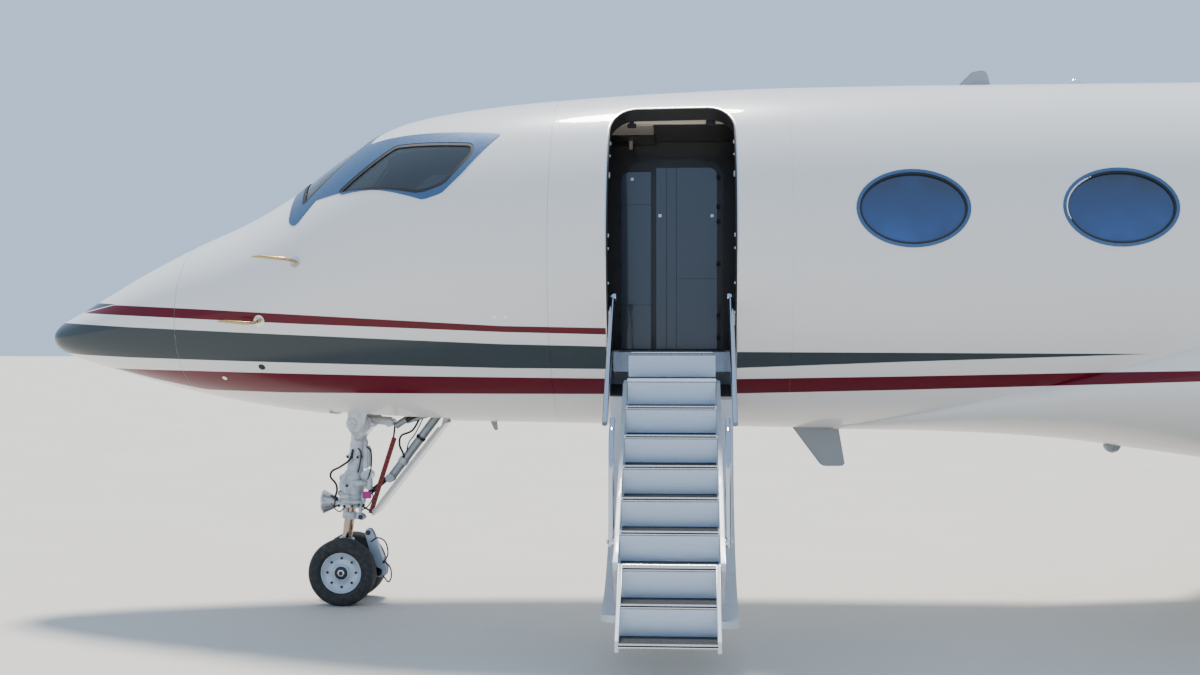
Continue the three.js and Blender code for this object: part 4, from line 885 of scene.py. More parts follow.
def block(low, high, bevel=0.002, segments=2):
    (x0, y0, z0), (x1, y1, z1) = low, high
    return prism([(y0, z0), (y1, z0), (y1, z1), (y0, z1)], 0, x0, x1, bevel, segments)


def smooth_path(points, per_span=8):
    """A Catmull-Rom curve through the points."""
    points = np.array(points, float)
    if len(points) == 2:
        return points
    padded = np.concatenate([[2 * points[0] - points[1]], points, [2 * points[-1] - points[-2]]])
    path = []
    for p0, p1, p2, p3 in zip(padded, padded[1:], padded[2:], padded[3:]):
        for t in np.linspace(0, 1, per_span, endpoint=False):
            path.append(0.5 * (2 * p1 + (p2 - p0) * t + (2 * p0 - 5 * p1 + 4 * p2 - p3) * t**2
                               + (3 * p1 - p0 - 3 * p2 + p3) * t**3))
    return np.array([*path, points[-1]])


def loft(rings, angle=35):
    """A closed skin over rings with the same number of points."""
    work = bmesh.new()
    rows = [[work.verts.new(point) for point in ring] for ring in rings]
    for before, after in zip(rows, rows[1:]):
        for k, beside in enumerate([*range(1, len(before)), 0]):
            work.faces.new((before[k], before[beside], after[beside], after[k]))
    work.faces.new(rows[0][::-1])
    work.faces.new(rows[-1])
    return finish_edges(work, "loft", angle)


def tube(points, radii, sides=16, per_span=8, smooth=True):
    """A round bar along a path; radii is one radius or one for each point given."""
    points = np.array(points, float)
    way = smooth_path(points, per_span) if smooth else points
    radii = np.broadcast_to(np.asarray(radii, float), len(points))
    radii = np.interp(np.linspace(0, 1, len(way)), np.linspace(0, 1, len(points)), radii)
    along = np.gradient(way, axis=0)
    along /= np.linalg.norm(along, axis=1, keepdims=True)
    across = np.cross(along[0], (0, 0, 1) if abs(along[0][2]) < 0.9 else (1, 0, 0))
    turns = np.linspace(0, TAU, sides, endpoint=False)
    rings = []
    for place, direction, radius in zip(way, along, radii):
        across = across - direction * np.dot(across, direction)
        across /= np.linalg.norm(across)
        other = np.cross(direction, across)
        rings.append([place + radius * (math.cos(a) * across + math.sin(a) * other) for a in turns])
    return loft(rings)


def lathe(profile, centre, axis, sides=48):
    """Turns a profile of (distance along the axis, radius) round the axis through the centre."""
    turn = Vector((0, 0, 1)).rotation_difference(Vector(axis).normalized()).to_matrix().to_4x4()
    turns = np.linspace(0, TAU, sides, endpoint=False)
    work = bmesh.new()
    rings = []
    for along, radius in profile:
        circle = turns if radius > 1e-6 else turns[:1]
        reach = radius if radius > 1e-6 else 0
        rings.append([work.verts.new((reach * math.cos(a), reach * math.sin(a), along)) for a in circle])
    closed = len(rings[0]) > 1 and profile[0] == profile[-1]
    if closed:
        rings[-1] = rings[0]
    for before, after in zip(rings, rings[1:]):
        for k in range(sides):
            corners = [before[k % len(before)], before[(k + 1) % len(before)],
                       after[(k + 1) % len(after)], after[k % len(after)]]
            distinct = list(dict.fromkeys(corners))
            if len(distinct) > 2:
                work.faces.new(distinct)
    for ring in (rings[0][::-1], rings[-1]):
        if len(ring) > 1 and not closed:
            work.faces.new(ring)
    work.transform(Matrix.Translation(centre) @ turn)
    return finish_edges(work, "lathe")


door_outline = finer(door_loop(DOOR_GAP, DOOR_FOOT_GAP), DOOR_STEP)
door_skin = skin_mesh("door_skin", [side_loop(door_outline, 1)], -0.0003, -0.045, grid_step(0.08, 3))
placed("airstair_door_shell", swing_open(door_skin), [striped_door, primer, primer], "white_paint",
       "airstair_skin", body="airstair")


# Stairs
# Seven treads on two side plates stand on the door, and two more fold under on their own arms.
# Satin aluminium risers, ribbed rubber treads, and a bright nosing rolled over each front edge.

stair_metal = Finish("satin_stair_metal", (0.5, 0.6, 0.74), 0.36, 0.55).grain(
    9.0, 4, ((0.44, 0.54, 0.68), (0.58, 0.68, 0.8)), 0.0003, (0.16, 0.28), (1, 4, 9))
side_paint = Finish("stair_side_paint", (0.62, 0.65, 0.68), 0.35, 0.2, coat_weight=0.3).grain(
    22.0, 4, ((0.56, 0.6, 0.64), (0.7, 0.73, 0.76)))
nosing_metal = Finish("bright_nosing", (0.72, 0.74, 0.76), 0.24, 0.95).grain(60.0, 3, rough=(0.25, 0.14))
grip = Finish("ribbed_tread_rubber", (0.03, 0.032, 0.036), 0.85).grain(
    35.0, 4, ((0.02, 0.022, 0.025), (0.06, 0.063, 0.068)))
grip.set(**{"Specular IOR Level": 0.15})
RIBS_PER_METRE = 110.0
_, tread_y, _ = grip.xyz()
ribbing = (tread_y * RIBS_PER_METRE).maths("FRACT").maths("SUBTRACT", 0.5).maths("ABSOLUTE")
grip.bump(ribbing * 2.0, 0.002)

FLOOR = 2.09
TREAD_FIRST, GOING, RISE, TREAD_HALF, TREAD_THICK = 0.92, 0.25, 0.193, 0.33, 0.03
SIDE_PLATE, LOWER_PLATE = 0.03, 0.025
STEP_DOWN = (0, -GOING, -RISE)


def tread_edge(step):
    return -(TREAD_FIRST + GOING * step), FLOOR - RISE * step


def nosing(edge, top, x0, x1):
    """A bright strip rolled over the front edge of a tread."""
    outline = [(0, -0.024), (0.004, -0.029), (0.03, -0.029), (0.013, -0.001), (0.006, 0.001), (0, -0.006)]
    return prism([(edge + y, top + z) for y, z in outline], 0, x0 + 0.002, x1 - 0.002, 0.0015)


def assembled(name, parts):
    """One mesh from (mesh, finish) pairs, with one material for each finish."""
    finishes = list(dict.fromkeys(finish for _, finish in parts))
    work = bmesh.new()
    for mesh, finish in parts:
        first = len(work.faces)
        work.from_mesh(mesh)
        work.faces.ensure_lookup_table()
        for face in work.faces[first:]:
            face.material_index = finishes.index(finish)
        bpy.data.meshes.remove(mesh)
    mesh = bpy.data.meshes.new(name)
    work.to_mesh(mesh)
    work.free()
    for finish in finishes:
        mesh.materials.append(finish.material)
    return mesh


def built(name, parts, slot, *nodes, body="airframe"):
    """One piece from (mesh, finish) pairs."""
    placed(name, assembled(name, parts), [], slot, *nodes, body=body)


def flight_parts(step, count, half_width):
    """A run of steps: the risers, the rubber treads and the bright nosings."""
    edge, top = tread_edge(step)
    x0, x1 = STAIR_X - half_width, STAIR_X + half_width
    inner = edge + GOING
    boards = (
        # start inwards of the sides, y and z, then end y and z, bevel, finish
        (0, edge + 0.012, top - TREAD_THICK, inner - 0.002, top - 0.004, 0.001, stair_metal),
        (0.012, edge + 0.014, top - 0.006, inner - 0.016, top, 0.0015, grip),
        (0.01, edge - 0.0012, top - 0.019, edge + 0.004, top - 0.009, 0.0005, trim_seal),
        (0.004, inner - 0.018, top - 0.006, inner - 0.008, top + RISE - 0.03, 0.0015, stair_metal),
    )
    parts = [(block((x0 + inset, y0, z0), (x1 - inset, y1, z1), bevel), finish)
             for inset, y0, z0, y1, z1, bevel, finish in boards]
    parts.insert(2, (nosing(edge, top, x0, x1), nosing_metal))
    return [copied(row_tree, mesh, count, STEP_DOWN, finish) for mesh, finish in parts]


def side_pair(outline, half_width, thick):
    """Two plates of one (y, z) outline, outside the treads on each side."""
    return [(prism(outline, 0, STAIR_X + low, STAIR_X + low + thick, 0.003), side_paint)
            for low in (half_width, -half_width - thick)]


def stair_wise(along, inward):
    angle = DOOR_SWING - math.pi / 2
    return (-DOOR_HINGE[0] - along * math.cos(angle) - inward * math.sin(angle),
            DOOR_HINGE[1] - along * math.sin(angle) + inward * math.cos(angle))


upper_plate = [stair_wise(0.27, 0.07), stair_wise(2.03, 0.07), stair_wise(2.05, 0.3), (-2.672, 0.715),
               (-2.672, 0.762), (-2.64, 0.77), (-2.4, 0.92), (-1.18, 1.86), (-1.035, 1.88)]
x_left, x_right = STAIR_X - TREAD_HALF, STAIR_X + TREAD_HALF
edge, top = tread_edge(1)
built("airstair_flight", [
    *side_pair(upper_plate, TREAD_HALF, SIDE_PLATE),
    (block((x_left, edge + 0.012, top - TREAD_THICK), (x_right, -1.03, top - 0.004)), stair_metal),
    (block((x_left + 0.012, edge + 0.014, top - 0.006), (x_right - 0.012, -1.04, top), 0.0015), grip),
    (nosing(edge, top, x_left, x_right), nosing_metal),
    *flight_parts(2, 6, TREAD_HALF),
], "stair_metal", "airstair_steps", body="airstair")

lower_arm = [(-2.64, 0.728), (-2.64, 0.752), (-2.68, 0.752), (-2.92, 0.562), (-3.172, 0.367), (-3.172, 0.3),
             (-3.12, 0.3), (-2.69, 0.64)]
LOWER_HALF = TREAD_HALF - 0.006
built("lower_flight", [
    *side_pair(lower_arm, LOWER_HALF - LOWER_PLATE, LOWER_PLATE),
    *flight_parts(8, 2, LOWER_HALF),
    (tube([(x_left - 0.028, -2.65, 0.74), (x_right + 0.028, -2.65, 0.74)], 0.012), nosing_metal),
], "stair_metal", "lower_steps", body="folding_steps")


# Threshold plate
# A folding floor plate bridges the well that the stairs stand in, with a bright edge and a front lip.

PLATE_INSET = 0.025
plate_left, plate_right = DOOR_FRONT - MIDDLE + PLATE_INSET, DOOR_BACK - MIDDLE - PLATE_INSET
edge, top = tread_edge(0)
plate_paint = Finish("slate_blue_paint", (0.16, 0.21, 0.3), 0.38, 0.3, coat_weight=0.4).grain(
    25.0, 4, ((0.12, 0.17, 0.25), (0.24, 0.29, 0.38)))
lip = [(edge - 0.002, top - 0.02), (edge + 0.03, top - 0.026), (edge + 0.034, top), (edge + 0.004, top)]
built("threshold_floor", [
    (block((plate_left, edge + 0.02, top - 0.03), (plate_right, -0.36, top - 0.003)), stair_metal),
    (block((plate_left + 0.03, edge + 0.05, top - 0.004), (plate_right - 0.03, -0.38, top), 0.001), grip),
    (block((plate_left, edge + 0.006, top - 0.15), (plate_right, edge + 0.02, top)), plate_paint),
    (block((x_left, edge, top - 0.19), (x_right, edge + 0.008, top - 0.028)), stair_metal),
    (block((x_left + 0.02, edge - 0.004, top - 0.017), (x_right - 0.02, edge + 0.004, top - 0.01), 0.0005),
     trim_seal),
    (prism(lip, 0, x_left + 0.02, x_right - 0.02, 0.0015), nosing_metal),
    (tube([(plate_left - 0.03, -0.36, 2.075), (plate_right + 0.03, -0.36, 2.075)], 0.01), nosing_metal),
], "stair_metal", "threshold_plate", body="floor_plate")


# Hand rails
# Polished tubes: a post bolted to each side plate, bent at the knee, and a bar hung on each door jamb.

rail_chrome = Finish("polished_rail", (0.46, 0.52, 0.62), 0.08, 1.0).grain(25.0, 3, rough=(0.12, 0.03))
RAIL_PIVOT, RAIL_KNEE, RAIL_FOOT = (-1.242, 2.5), (-2.38, 1.54), (-2.42, 0.86)
RAIL_RADIUS = 0.019
BRACE_ROD = ((-2.385, 0.95), (-2.37, 1.45))
UPPER_INSET, LOWER_INSET = 0.038, 0.088
KNUCKLE = [(-0.024, 0.012), (-0.024, 0.026), (-0.02, 0.028), (0.02, 0.028), (0.024, 0.026), (0.024, 0.012),
           (-0.024, 0.012)]


def up_rail(distance):
    """A place on the line from the knee to the pivot."""
    knee, pivot = np.array(RAIL_KNEE), np.array(RAIL_PIVOT)
    return knee + (pivot - knee) * distance / np.linalg.norm(pivot - knee)


for name, jamb, inward in (("forward", DOOR_FRONT, 1), ("aft", DOOR_BACK, -1)):
    plane = jamb - MIDDLE + inward * UPPER_INSET
    post = jamb - MIDDLE + inward * LOWER_INSET
    outer_face = STAIR_X - inward * (TREAD_HALF + SIDE_PLATE)
    bar_ends = [(plane, *RAIL_PIVOT), (plane, *up_rail(0.13))]
    post_line = [(RAIL_FOOT[0], RAIL_FOOT[1] - 0.03), (RAIL_FOOT[0], 1.1), (RAIL_FOOT[0], 1.38), RAIL_KNEE,
                 up_rail(0.09), up_rail(0.18)]
    built(f"{name}_rail_bar", [
        (tube(bar_ends, RAIL_RADIUS, 24), rail_chrome),
        (lathe(KNUCKLE, bar_ends[0], (1, 0, 0), 32), rail_chrome),
    ], "chrome", f"{name}_upper_rail", body=f"{name}_rail")
    built(f"{name}_rail_post", [
        (tube([(post, *place) for place in post_line], RAIL_RADIUS, 24, 6), rail_chrome),
        (tube([(post, *RAIL_FOOT), (outer_face, *RAIL_FOOT)], 0.026, 20), nosing_metal),
        (tube([(post - inward * reach, *RAIL_FOOT) for reach in (0.03, 0.018)], 0.015, 6), nosing_metal),
        (tube([(post + inward * 0.012, y, z) for y, z in BRACE_ROD], 0.009, 12), rail_chrome),
    ], "chrome", f"{name}_lower_rail", body="airstair")


# Cabin floor and stair well
# A carpeted floor on honeycomb board runs the length of the pressure tube, with the stair well cut out of it.

carpet = Finish("wool_carpet", (0.2, 0.17, 0.13), 0.95, sheen_weight=0.4).grain(
    240.0, 3, ((0.15, 0.125, 0.095), (0.27, 0.23, 0.18)), 0.002)
FLOOR_BOARD = 0.07
FLOOR_INSET = 0.13


def hull_reach(station, height, inset):
    """How far the skin reaches to each side at a height, less the inset."""
    width, middle, half = hull_section(station)
    return float(width - inset) * math.sqrt(1 - ((float(middle) - height) / float(half - inset)) ** 2)


def floor_slab(station0, station1, port=None):
    stations = np.linspace(station0, station1, max(2, int((station1 - station0) / 0.4)))
    reach = [hull_reach(s, FLOOR - FLOOR_BOARD, FLOOR_INSET) for s in stations]
    port_side = [(s - MIDDLE, -r if port is None else port) for s, r in zip(stations, reach)]
    starboard_side = [(s - MIDDLE, r) for s, r in zip(stations, reach)]
    return prism(port_side + starboard_side[::-1], 2, FLOOR - FLOOR_BOARD, FLOOR, 0.001, 1), carpet


well_x0, well_x1 = DOOR_FRONT - MIDDLE, DOOR_BACK - MIDDLE
WELL_EDGE = -0.33
WELL_WALL = 0.02
WELL_BACK = WELL_EDGE + WELL_WALL
WELL_SKIN = 0.015
well_foot = DOOR_SILL - WELL_WALL
well_rim = [(-hull_reach((DOOR_FRONT + DOOR_BACK) / 2, height, WELL_SKIN), height)
            for height in np.linspace(well_foot, FLOOR, 8)]
well_side = [(WELL_BACK, FLOOR), (WELL_BACK, well_foot), *well_rim]
built("cabin_floor", [
    (block((well_x0, WELL_EDGE, DOOR_SILL), (well_x1, WELL_BACK, FLOOR - 0.001)), primer),
    (block((well_x0, well_rim[0][0], well_foot), (well_x1, WELL_BACK, DOOR_SILL - 0.001)), primer),
    (prism(well_side, 0, well_x0 - WELL_WALL, well_x0 - 0.001), primer),
    (prism(well_side, 0, well_x1 + 0.001, well_x1 + WELL_WALL), primer),
    floor_slab(2.7, DOOR_FRONT),
    floor_slab(DOOR_FRONT, DOOR_BACK, WELL_BACK),
    floor_slab(DOOR_BACK, CABIN_END - 0.05),
], "cabinet")


# Vestibule
# Gloss lacquered lockers face the door, under a dark fascia and a beige soffit.

lacquer = Finish("slate_lacquer", (0.05, 0.07, 0.11), 0.16, 0.0, coat_weight=1.0, coat_roughness=0.03)
_, _, locker_height = lacquer.xyz()
# The lacquer is painted bluer and brighter towards the tops of the lockers, as painted light, with a random
# cloud over it.
painted_light_share = lacquer.noise(1.5, 2) * 0.25 + locker_height.ramp(2.1, 3.7) * 0.75
lacquer.set(**{"Base Color": lacquer.mix(painted_light_share, (0.055, 0.068, 0.082), (0.055, 0.085, 0.16))})
lacquer.grain(5.0, 2, depth=0.0005)
fascia = Finish("dark_fascia", (0.004, 0.004, 0.005), 0.3, coat_weight=0.2).grain(80.0, 2, depth=0.0003)
soffit_finish = Finish("pale_soffit", (0.8, 0.72, 0.62), 0.7).grain(160.0, 2, depth=0.0004)

LOCKER_FRONT, LOCKER_BACK, LOCKER_FACE, LOCKER_TOP = 4.45, 5.98, 0.45, 3.95
LOCKER_FOOT = FLOOR + 0.0005
LOCKER_INSET = 0.125
PANEL_GAP = 0.004
PANEL_THICK = 0.016


def locker_outline(station):
    width, middle, half = (float(value) for value in hull_section(station))
    width, half = width - LOCKER_INSET, half - LOCKER_INSET
    low = math.asin((LOCKER_FOOT - middle) / half)
    high = math.asin((LOCKER_TOP - middle) / half)
    curve = [(width * math.cos(a), middle + half * math.sin(a)) for a in np.linspace(low, high, 14)]
    back = LOCKER_FACE + PANEL_THICK
    return [(back, LOCKER_FOOT), *[point for point in curve if point[0] > back], (back, curve[-1][1])]


# Columns: first and last station of each locker door, radii of its top corners, the heights it is split at
LOCKERS = (
    (4.76, 5.02, 0.07, 0.002, (2.10, 2.48, 3.338, 3.62)),
    (5.062, 5.152, 0.002, 0.002, (2.10, 3.655)),
    (5.152, 5.236, 0.002, 0.002, (2.10, 3.655)),
    (5.236, 5.585, 0.002, 0.07, (2.10, 2.703, 3.655)),
)


def rounded_top(x0, x1, z0, z1, left, right):
    turns = np.linspace(0, math.pi / 2, 6)
    return [(x0, z0), (x1, z0),
            *[(x1 - right + right * math.cos(a), z1 - right + right * math.sin(a)) for a in turns],
            *[(x0 + left - left * math.sin(a), z1 - left + left * math.cos(a)) for a in turns]]


def fitting(station, height, half, tall, ahead, behind, bevel, finish):
    """A small block on the lockers' face, reaching ahead and behind of it."""
    x, y = station - MIDDLE, LOCKER_FACE
    return block((x - half, y - ahead, height - tall), (x + half, y + behind, height + tall), bevel), finish


locker_form = prism(locker_outline(LOCKER_FRONT), 0, LOCKER_FRONT - MIDDLE, LOCKER_BACK - MIDDLE, 0.002, 1)
lockers = [(locker_form, fascia)]
for start, end, left, right, levels in LOCKERS:
    x0, x1 = start - MIDDLE + PANEL_GAP / 2, end - MIDDLE - PANEL_GAP / 2
    for low, high in zip(levels, levels[1:]):
        corners = (left, right) if high == levels[-1] else (0.002, 0.002)
        outline = rounded_top(x0, x1, low + PANEL_GAP / 2, high - PANEL_GAP / 2, *corners)
        lockers.append((prism(outline, 1, LOCKER_FACE, LOCKER_FACE + PANEL_THICK, 0.0015), lacquer))
# Black door catches along the outer edges of the lockers, as heights
CATCHES = (3.571, 3.319, 3.192, 2.83, 2.388, 2.198)
for station in (4.752, 5.594):
    lockers += [fitting(station, height, 0.016, 0.018, 0.02, 0.002, 0.004, trim_seal) for height in CATCHES]
LATCHES = ((5.096, 3.244), (5.541, 3.241), (4.857, 3.558))
lockers += [fitting(*latch, 0.013, 0.013, 0.006, 0.002, 0.002, bright_strip) for latch in LATCHES]
built("vestibule_lockers", lockers, "cabinet", "vestibule_cabinet")

SOFFIT = (
    # start station, y and z, then end station, y and z, bevel, finish
    (LOCKER_FRONT, -0.6, 3.86, 5.06, -0.08, 3.95, 0.006, soffit_finish),
    (DOOR_FRONT, -0.65, 3.864, DOOR_BACK, -0.6, 3.97, 0.006, soffit_finish),
    (5.064, -0.599, 3.88, 5.98, 0.44, 3.95, 0.006, fascia),
    (LOCKER_FRONT, -0.079, 3.85, 5.06, 0.44, 3.95, 0.006, fascia),
    (4.842, 0.2, 3.78, 4.872, 0.22, 3.861, 0.003, lining_finish),
)
built("vestibule_soffit", [
    (block((start - MIDDLE, y0, z0), (end - MIDDLE, y1, z1), bevel), finish)
    for start, y0, z0, end, y1, z1, bevel, finish in SOFFIT
], "cabinet")

# Columns: height, drop and depth of the small latch and roller fittings that line both jambs
JAMB_FITTINGS = ((3.67, 0.03, 0.05), (3.565, 0.02, 0.04), (3.41, 0.045, 0.05), (2.95, 0.03, 0.05),
                 (2.853, 0.02, 0.04), (2.6, 0.02, 0.05), (2.382, 0.03, 0.06))
FITTING_DEPTH = 0.055


def behind_skin(station, height):
    """How far to port the wall reaches at this height, inside the skin."""
    return -hull_reach(station, height, FITTING_DEPTH)


def stud(radius, tall, ease, top, centre, axis, sides):
    """A round or many-sided stud, narrowed at its top."""
    return lathe([(0, 0), (0, radius), (tall - ease, radius), (tall, top), (tall, 0)], centre, axis, sides)


fittings = []
for jamb, inward in ((DOOR_FRONT, 1), (DOOR_BACK, -1)):
    x = jamb - MIDDLE
    for height, tall, deep in JAMB_FITTINGS:
        y = behind_skin(jamb, height + tall / 2)
        x0, x1 = sorted((x, x + inward * 0.012))
        low, high = height - tall / 2, height + tall / 2
        fittings.append((block((x0, y, low), (x1, y + deep, high), 0.003), bright_strip))
        roller_place = (x + inward * 0.012, y + deep / 2, height)
        fittings.append((stud(0.006, 0.006, 0.001, 0.004, roller_place, (inward, 0, 0), 12), trim_seal))
    y = behind_skin(jamb, 2.29)
    x0, x1 = sorted((x, x + inward * 0.014))
    fittings.append((block((x0, y, 2.29), (x1, y + 0.05, 2.365), 0.003), side_paint))
for station in (4.896, 5.509):
    x, y = station - MIDDLE, behind_skin(station, 3.96)
    for half, start, deep, low, high in ((0.035, 0, 0.05, 3.84, 3.885), (0.018, -0.006, 0.02, 3.85, 3.96)):
        fittings.append((block((x - half, y + start, low), (x + half, y + deep, high), 0.004), trim_seal))
built("doorway_fittings", fittings, "wheel_metal")


# Wheels
# Aircraft tyres with circumferential grooves on forged alloy rims, two on each axle.

tyre_rubber = Finish("tyre_rubber", (0.02, 0.02, 0.021), 0.72).grain(
    28.0, 5, ((0.014, 0.014, 0.015), (0.05, 0.047, 0.045)), 0.0012, (0.2, 0.6), band=(0.35, 0.75))
rim_paint = Finish("pale_rim_paint", (0.6, 0.68, 0.78), 0.3, 0.25, coat_weight=0.5).grain(
    14.0, 5, ((0.6, 0.68, 0.78), (0.42, 0.48, 0.56)), 0.0003, band=(0.4, 0.8))
dark_steel = Finish("dark_steel", (0.05, 0.052, 0.058), 0.35, 0.9).grain(60.0, 3, depth=0.0004)

# Tyres: radius, width, rim radius, distance from the axle's middle to the tyre's middle
NOSE_TYRE = (0.275, 0.18, 0.165, 0.20)
MAIN_TYRE = (0.47, 0.29, 0.235, 0.27)
# The tyre's side from bead to tread, as shares of half the width and of the wall
TYRE_SIDE = ((0.62, 0), (0.78, 0.03), (0.93, 0.14), (0.955, 0.2), (0.985, 0.22), (0.995, 0.3), (1, 0.42),
             (0.985, 0.56), (0.94, 0.7), (0.925, 0.72), (0.89, 0.78), (0.8, 0.87), (0.66, 0.955))
GROOVES = (-0.38, -0.13, 0.13, 0.38)
GROOVE_WIDTH, GROOVE_DEPTH = 0.009, 0.008
GROOVE_FORM = ((-1 / 2, 0), (-1 / 3, GROOVE_DEPTH), (1 / 3, GROOVE_DEPTH), (1 / 2, 0))
WHEEL_SIDES = 96
RIM_SHARE = 0.62


def tyre_profile(radius, width, rim):
    half, wall = width / 2, radius - rim
    left = [(-along * half, rim + up * wall) for along, up in TYRE_SIDE] + [(-0.5 * half, radius - 0.002)]
    tread = [(place * half + along * GROOVE_WIDTH, radius - deep)
             for place in GROOVES for along, deep in GROOVE_FORM]
    right = [(-along, reach) for along, reach in reversed(left)]
    return left + tread + right + [left[0]]


def rim_profile(width, rim, axle):
    """From the back of the rim to the dished face on the outer side."""
    half = RIM_SHARE * width / 2
    flange = rim + 0.012
    return [(-half, axle), (-half, rim - 0.05), (-half - 0.004, rim - 0.012), (-half - 0.006, flange),
            (-half + 0.006, flange), (-half + 0.01, rim - 0.003), (half - 0.01, rim - 0.003),
            (half - 0.006, flange), (half + 0.006, flange), (half + 0.004, rim - 0.006),
            (half - 0.006, rim - 0.014), (0.62 * half, rim - 0.028), (0.5 * half, rim - 0.05),
            (0.5 * half, axle + 0.055), (0.62 * half, axle + 0.04), (0.92 * half, axle + 0.032),
            (0.95 * half, axle + 0.024), (0.95 * half, axle), (-half, axle)]


def wheel_parts(tyre, centre, outward, axle, bolts):
    """Tyre mesh and rim parts of one wheel; outward is the side that its dished face looks to."""
    radius, width, rim, _ = tyre
    facing = (0, outward, 0)
    half = RIM_SHARE * width / 2
    bolt = stud(0.011, 0.011, 0.002, 0.009, (0, outward * 0.5 * half, (rim + axle) / 2 + 0.02), facing, 6)
    cap = [(0.9, 0), (0.9, axle + 0.026), (1.02, axle + 0.022), (1.06, axle + 0.012), (1.06, 0)]
    nut = [(1.0, 0), (1.0, axle), (1.16, axle), (1.2, axle * 0.8), (1.2, 0)]
    end = [(1.1, 0), (1.1, axle * 0.6), (1.26, axle * 0.55), (1.26, 0)]
    parts = [(lathe(rim_profile(width, rim, axle), centre, facing, WHEEL_SIDES), rim_paint),
             copied(round_tree, bolt, bolts, (0, TAU / bolts, 0), dark_steel, centre)]
    for profile, sides, finish in ((cap, 48, dark_steel), (nut, 6, nosing_metal), (end, 24, dark_steel)):
        places = [(along * half, reach) for along, reach in profile]
        parts.append((lathe(places, centre, facing, sides), finish))
    return lathe(tyre_profile(radius, width, rim), centre, facing, WHEEL_SIDES), parts


def wheel_pair(label, body, tyre, axle_place, axle, bolts, tyre_nodes):
    """Two wheels on one axle; the nodes of their tyres are given from port to starboard."""
    x, y, z = axle_place
    ends = [(x, y + sign * tyre[3], z) for sign in (-1, 1)]
    hubs = []
    for sign, centre, node in zip((-1, 1), ends, tyre_nodes):
        rubber, parts = wheel_parts(tyre, centre, sign, axle, bolts)
        placed(f"{node}_rubber", rubber, [tyre_rubber], "tyre_rubber", node, body=body)
        hubs += parts
    hubs.append((tube(ends, axle - 0.001, 24), nosing_metal))
    built(f"{label}_rims", hubs, "wheel_metal", f"{label}_hubs", body=body)


SIDES = (("port", -1), ("starboard", 1))
TYRE_FLAT = math.cos(math.pi / 20)
NOSE_AXLE = (2.5 - MIDDLE, 0, NOSE_TYRE[0] * TYRE_FLAT)
wheel_pair("nose", "nose_wheels", NOSE_TYRE, NOSE_AXLE, 0.03, 8, ("nose_port_tyre", "nose_starboard_tyre"))
MAIN_STATION, MAIN_Y, MAIN_AXLE_HEIGHT = 15.05, 2.3, MAIN_TYRE[0] * TYRE_FLAT
for side, sign in SIDES:
    nodes = [f"{side}_{'outer' if tyre_sign == sign else 'inner'}_tyre" for tyre_sign in (-1, 1)]
    wheel_pair(f"{side}_main", f"{side}_main_wheels", MAIN_TYRE,
               (MAIN_STATION - MIDDLE, sign * MAIN_Y, MAIN_AXLE_HEIGHT), 0.045, 10, nodes)


# Nose leg
# A raked shock strut on a trunnion, with its steering housing, hoses, taxi lamp and folding drag brace.

gear_paint = Finish("pale_gear_paint", (0.62, 0.66, 0.7), 0.34, 0.1, coat_weight=0.4).grain(
    16.0, 6, ((0.62, 0.66, 0.7), (0.3, 0.3, 0.3)), 0.0008, band=(0.45, 0.8))
brace_paint = Finish("grey_brace_paint", (0.36, 0.39, 0.42), 0.4, 0.3).grain(25.0, 4, depth=0.0006)
piston_chrome = Finish("bronze_tinted_chrome", (0.36, 0.28, 0.22), 0.12, 1.0).grain(
    50.0, 3, rough=(0.15, 0.06), stretch=(1, 1, 0.1))
hose_rubber = Finish("black_hose", (0.015, 0.015, 0.016), 0.5).grain(300.0, 2, depth=0.0005)
blue_steel = Finish("blue_grey_link", (0.42, 0.5, 0.58), 0.35, 0.4).grain(30.0, 4, depth=0.0005)
red_anodised = Finish("red_lock_bar", (0.2, 0.012, 0.018), 0.45, 0.2).grain(60.0, 2, depth=0.0003)
purple_band = Finish("purple_band", (0.5, 0.012, 0.24), 0.45).grain(60.0, 2, depth=0.0002)
lens = Finish("lamp_lens", (0.75, 0.78, 0.8), 0.06, 0.6, coat_weight=1.0).grain(90.0, 1, depth=0.001)

TRUNNION_STATION, TRUNNION_HEIGHT, STRUT_LEAN = 2.605, 1.5, math.radians(6.7)
STRUT_AXIS = (-math.sin(STRUT_LEAN), 0, -math.cos(STRUT_LEAN))
AXES = {"x": (1, 0, 0), "y": (0, 1, 0), "z": (0, 0, 1)}


def strut_place(height):
    down = TRUNNION_HEIGHT - height
    return (TRUNNION_STATION - MIDDLE - down * math.tan(STRUT_LEAN), 0, height)


def strut_lathe(profile, sides=40):
    """A profile of (height, radius) turned round the leg's own axis."""
    scale = 1 / math.cos(STRUT_LEAN)
    return lathe([((TRUNNION_HEIGHT - height) * scale, radius) for height, radius in profile],
                 strut_place(TRUNNION_HEIGHT), STRUT_AXIS, sides)


def pipe(route, radius, sides=16):
    """A tube along points given as (station, height) or (station, y, height)."""
    return tube([(p[0] - MIDDLE, p[1] if len(p) > 2 else 0, p[-1]) for p in route], radius, sides)


def across(station, height, y0, y1, radius, sides=24):
    return pipe([(station, y0, height), (station, y1, height)], radius, sides)


BOSS = ((0, 1), (0.012, 1), (0.016, 0.93), (0.016, 0.72), (0.024, 0.7), (0.024, 0.45), (0.018, 0.42),
        (0.018, 0.25), (0.032, 0.22))


def boss(station, height, side, radius):
    """A stepped round boss with a bolt in it, on one side of the leg."""
    profile = [(0, 0), *[(along, share * radius) for along, share in BOSS], (BOSS[-1][0], 0)]
    return lathe(profile, (station - MIDDLE, side, height), (0, math.copysign(1, side), 0), 40), gear_paint


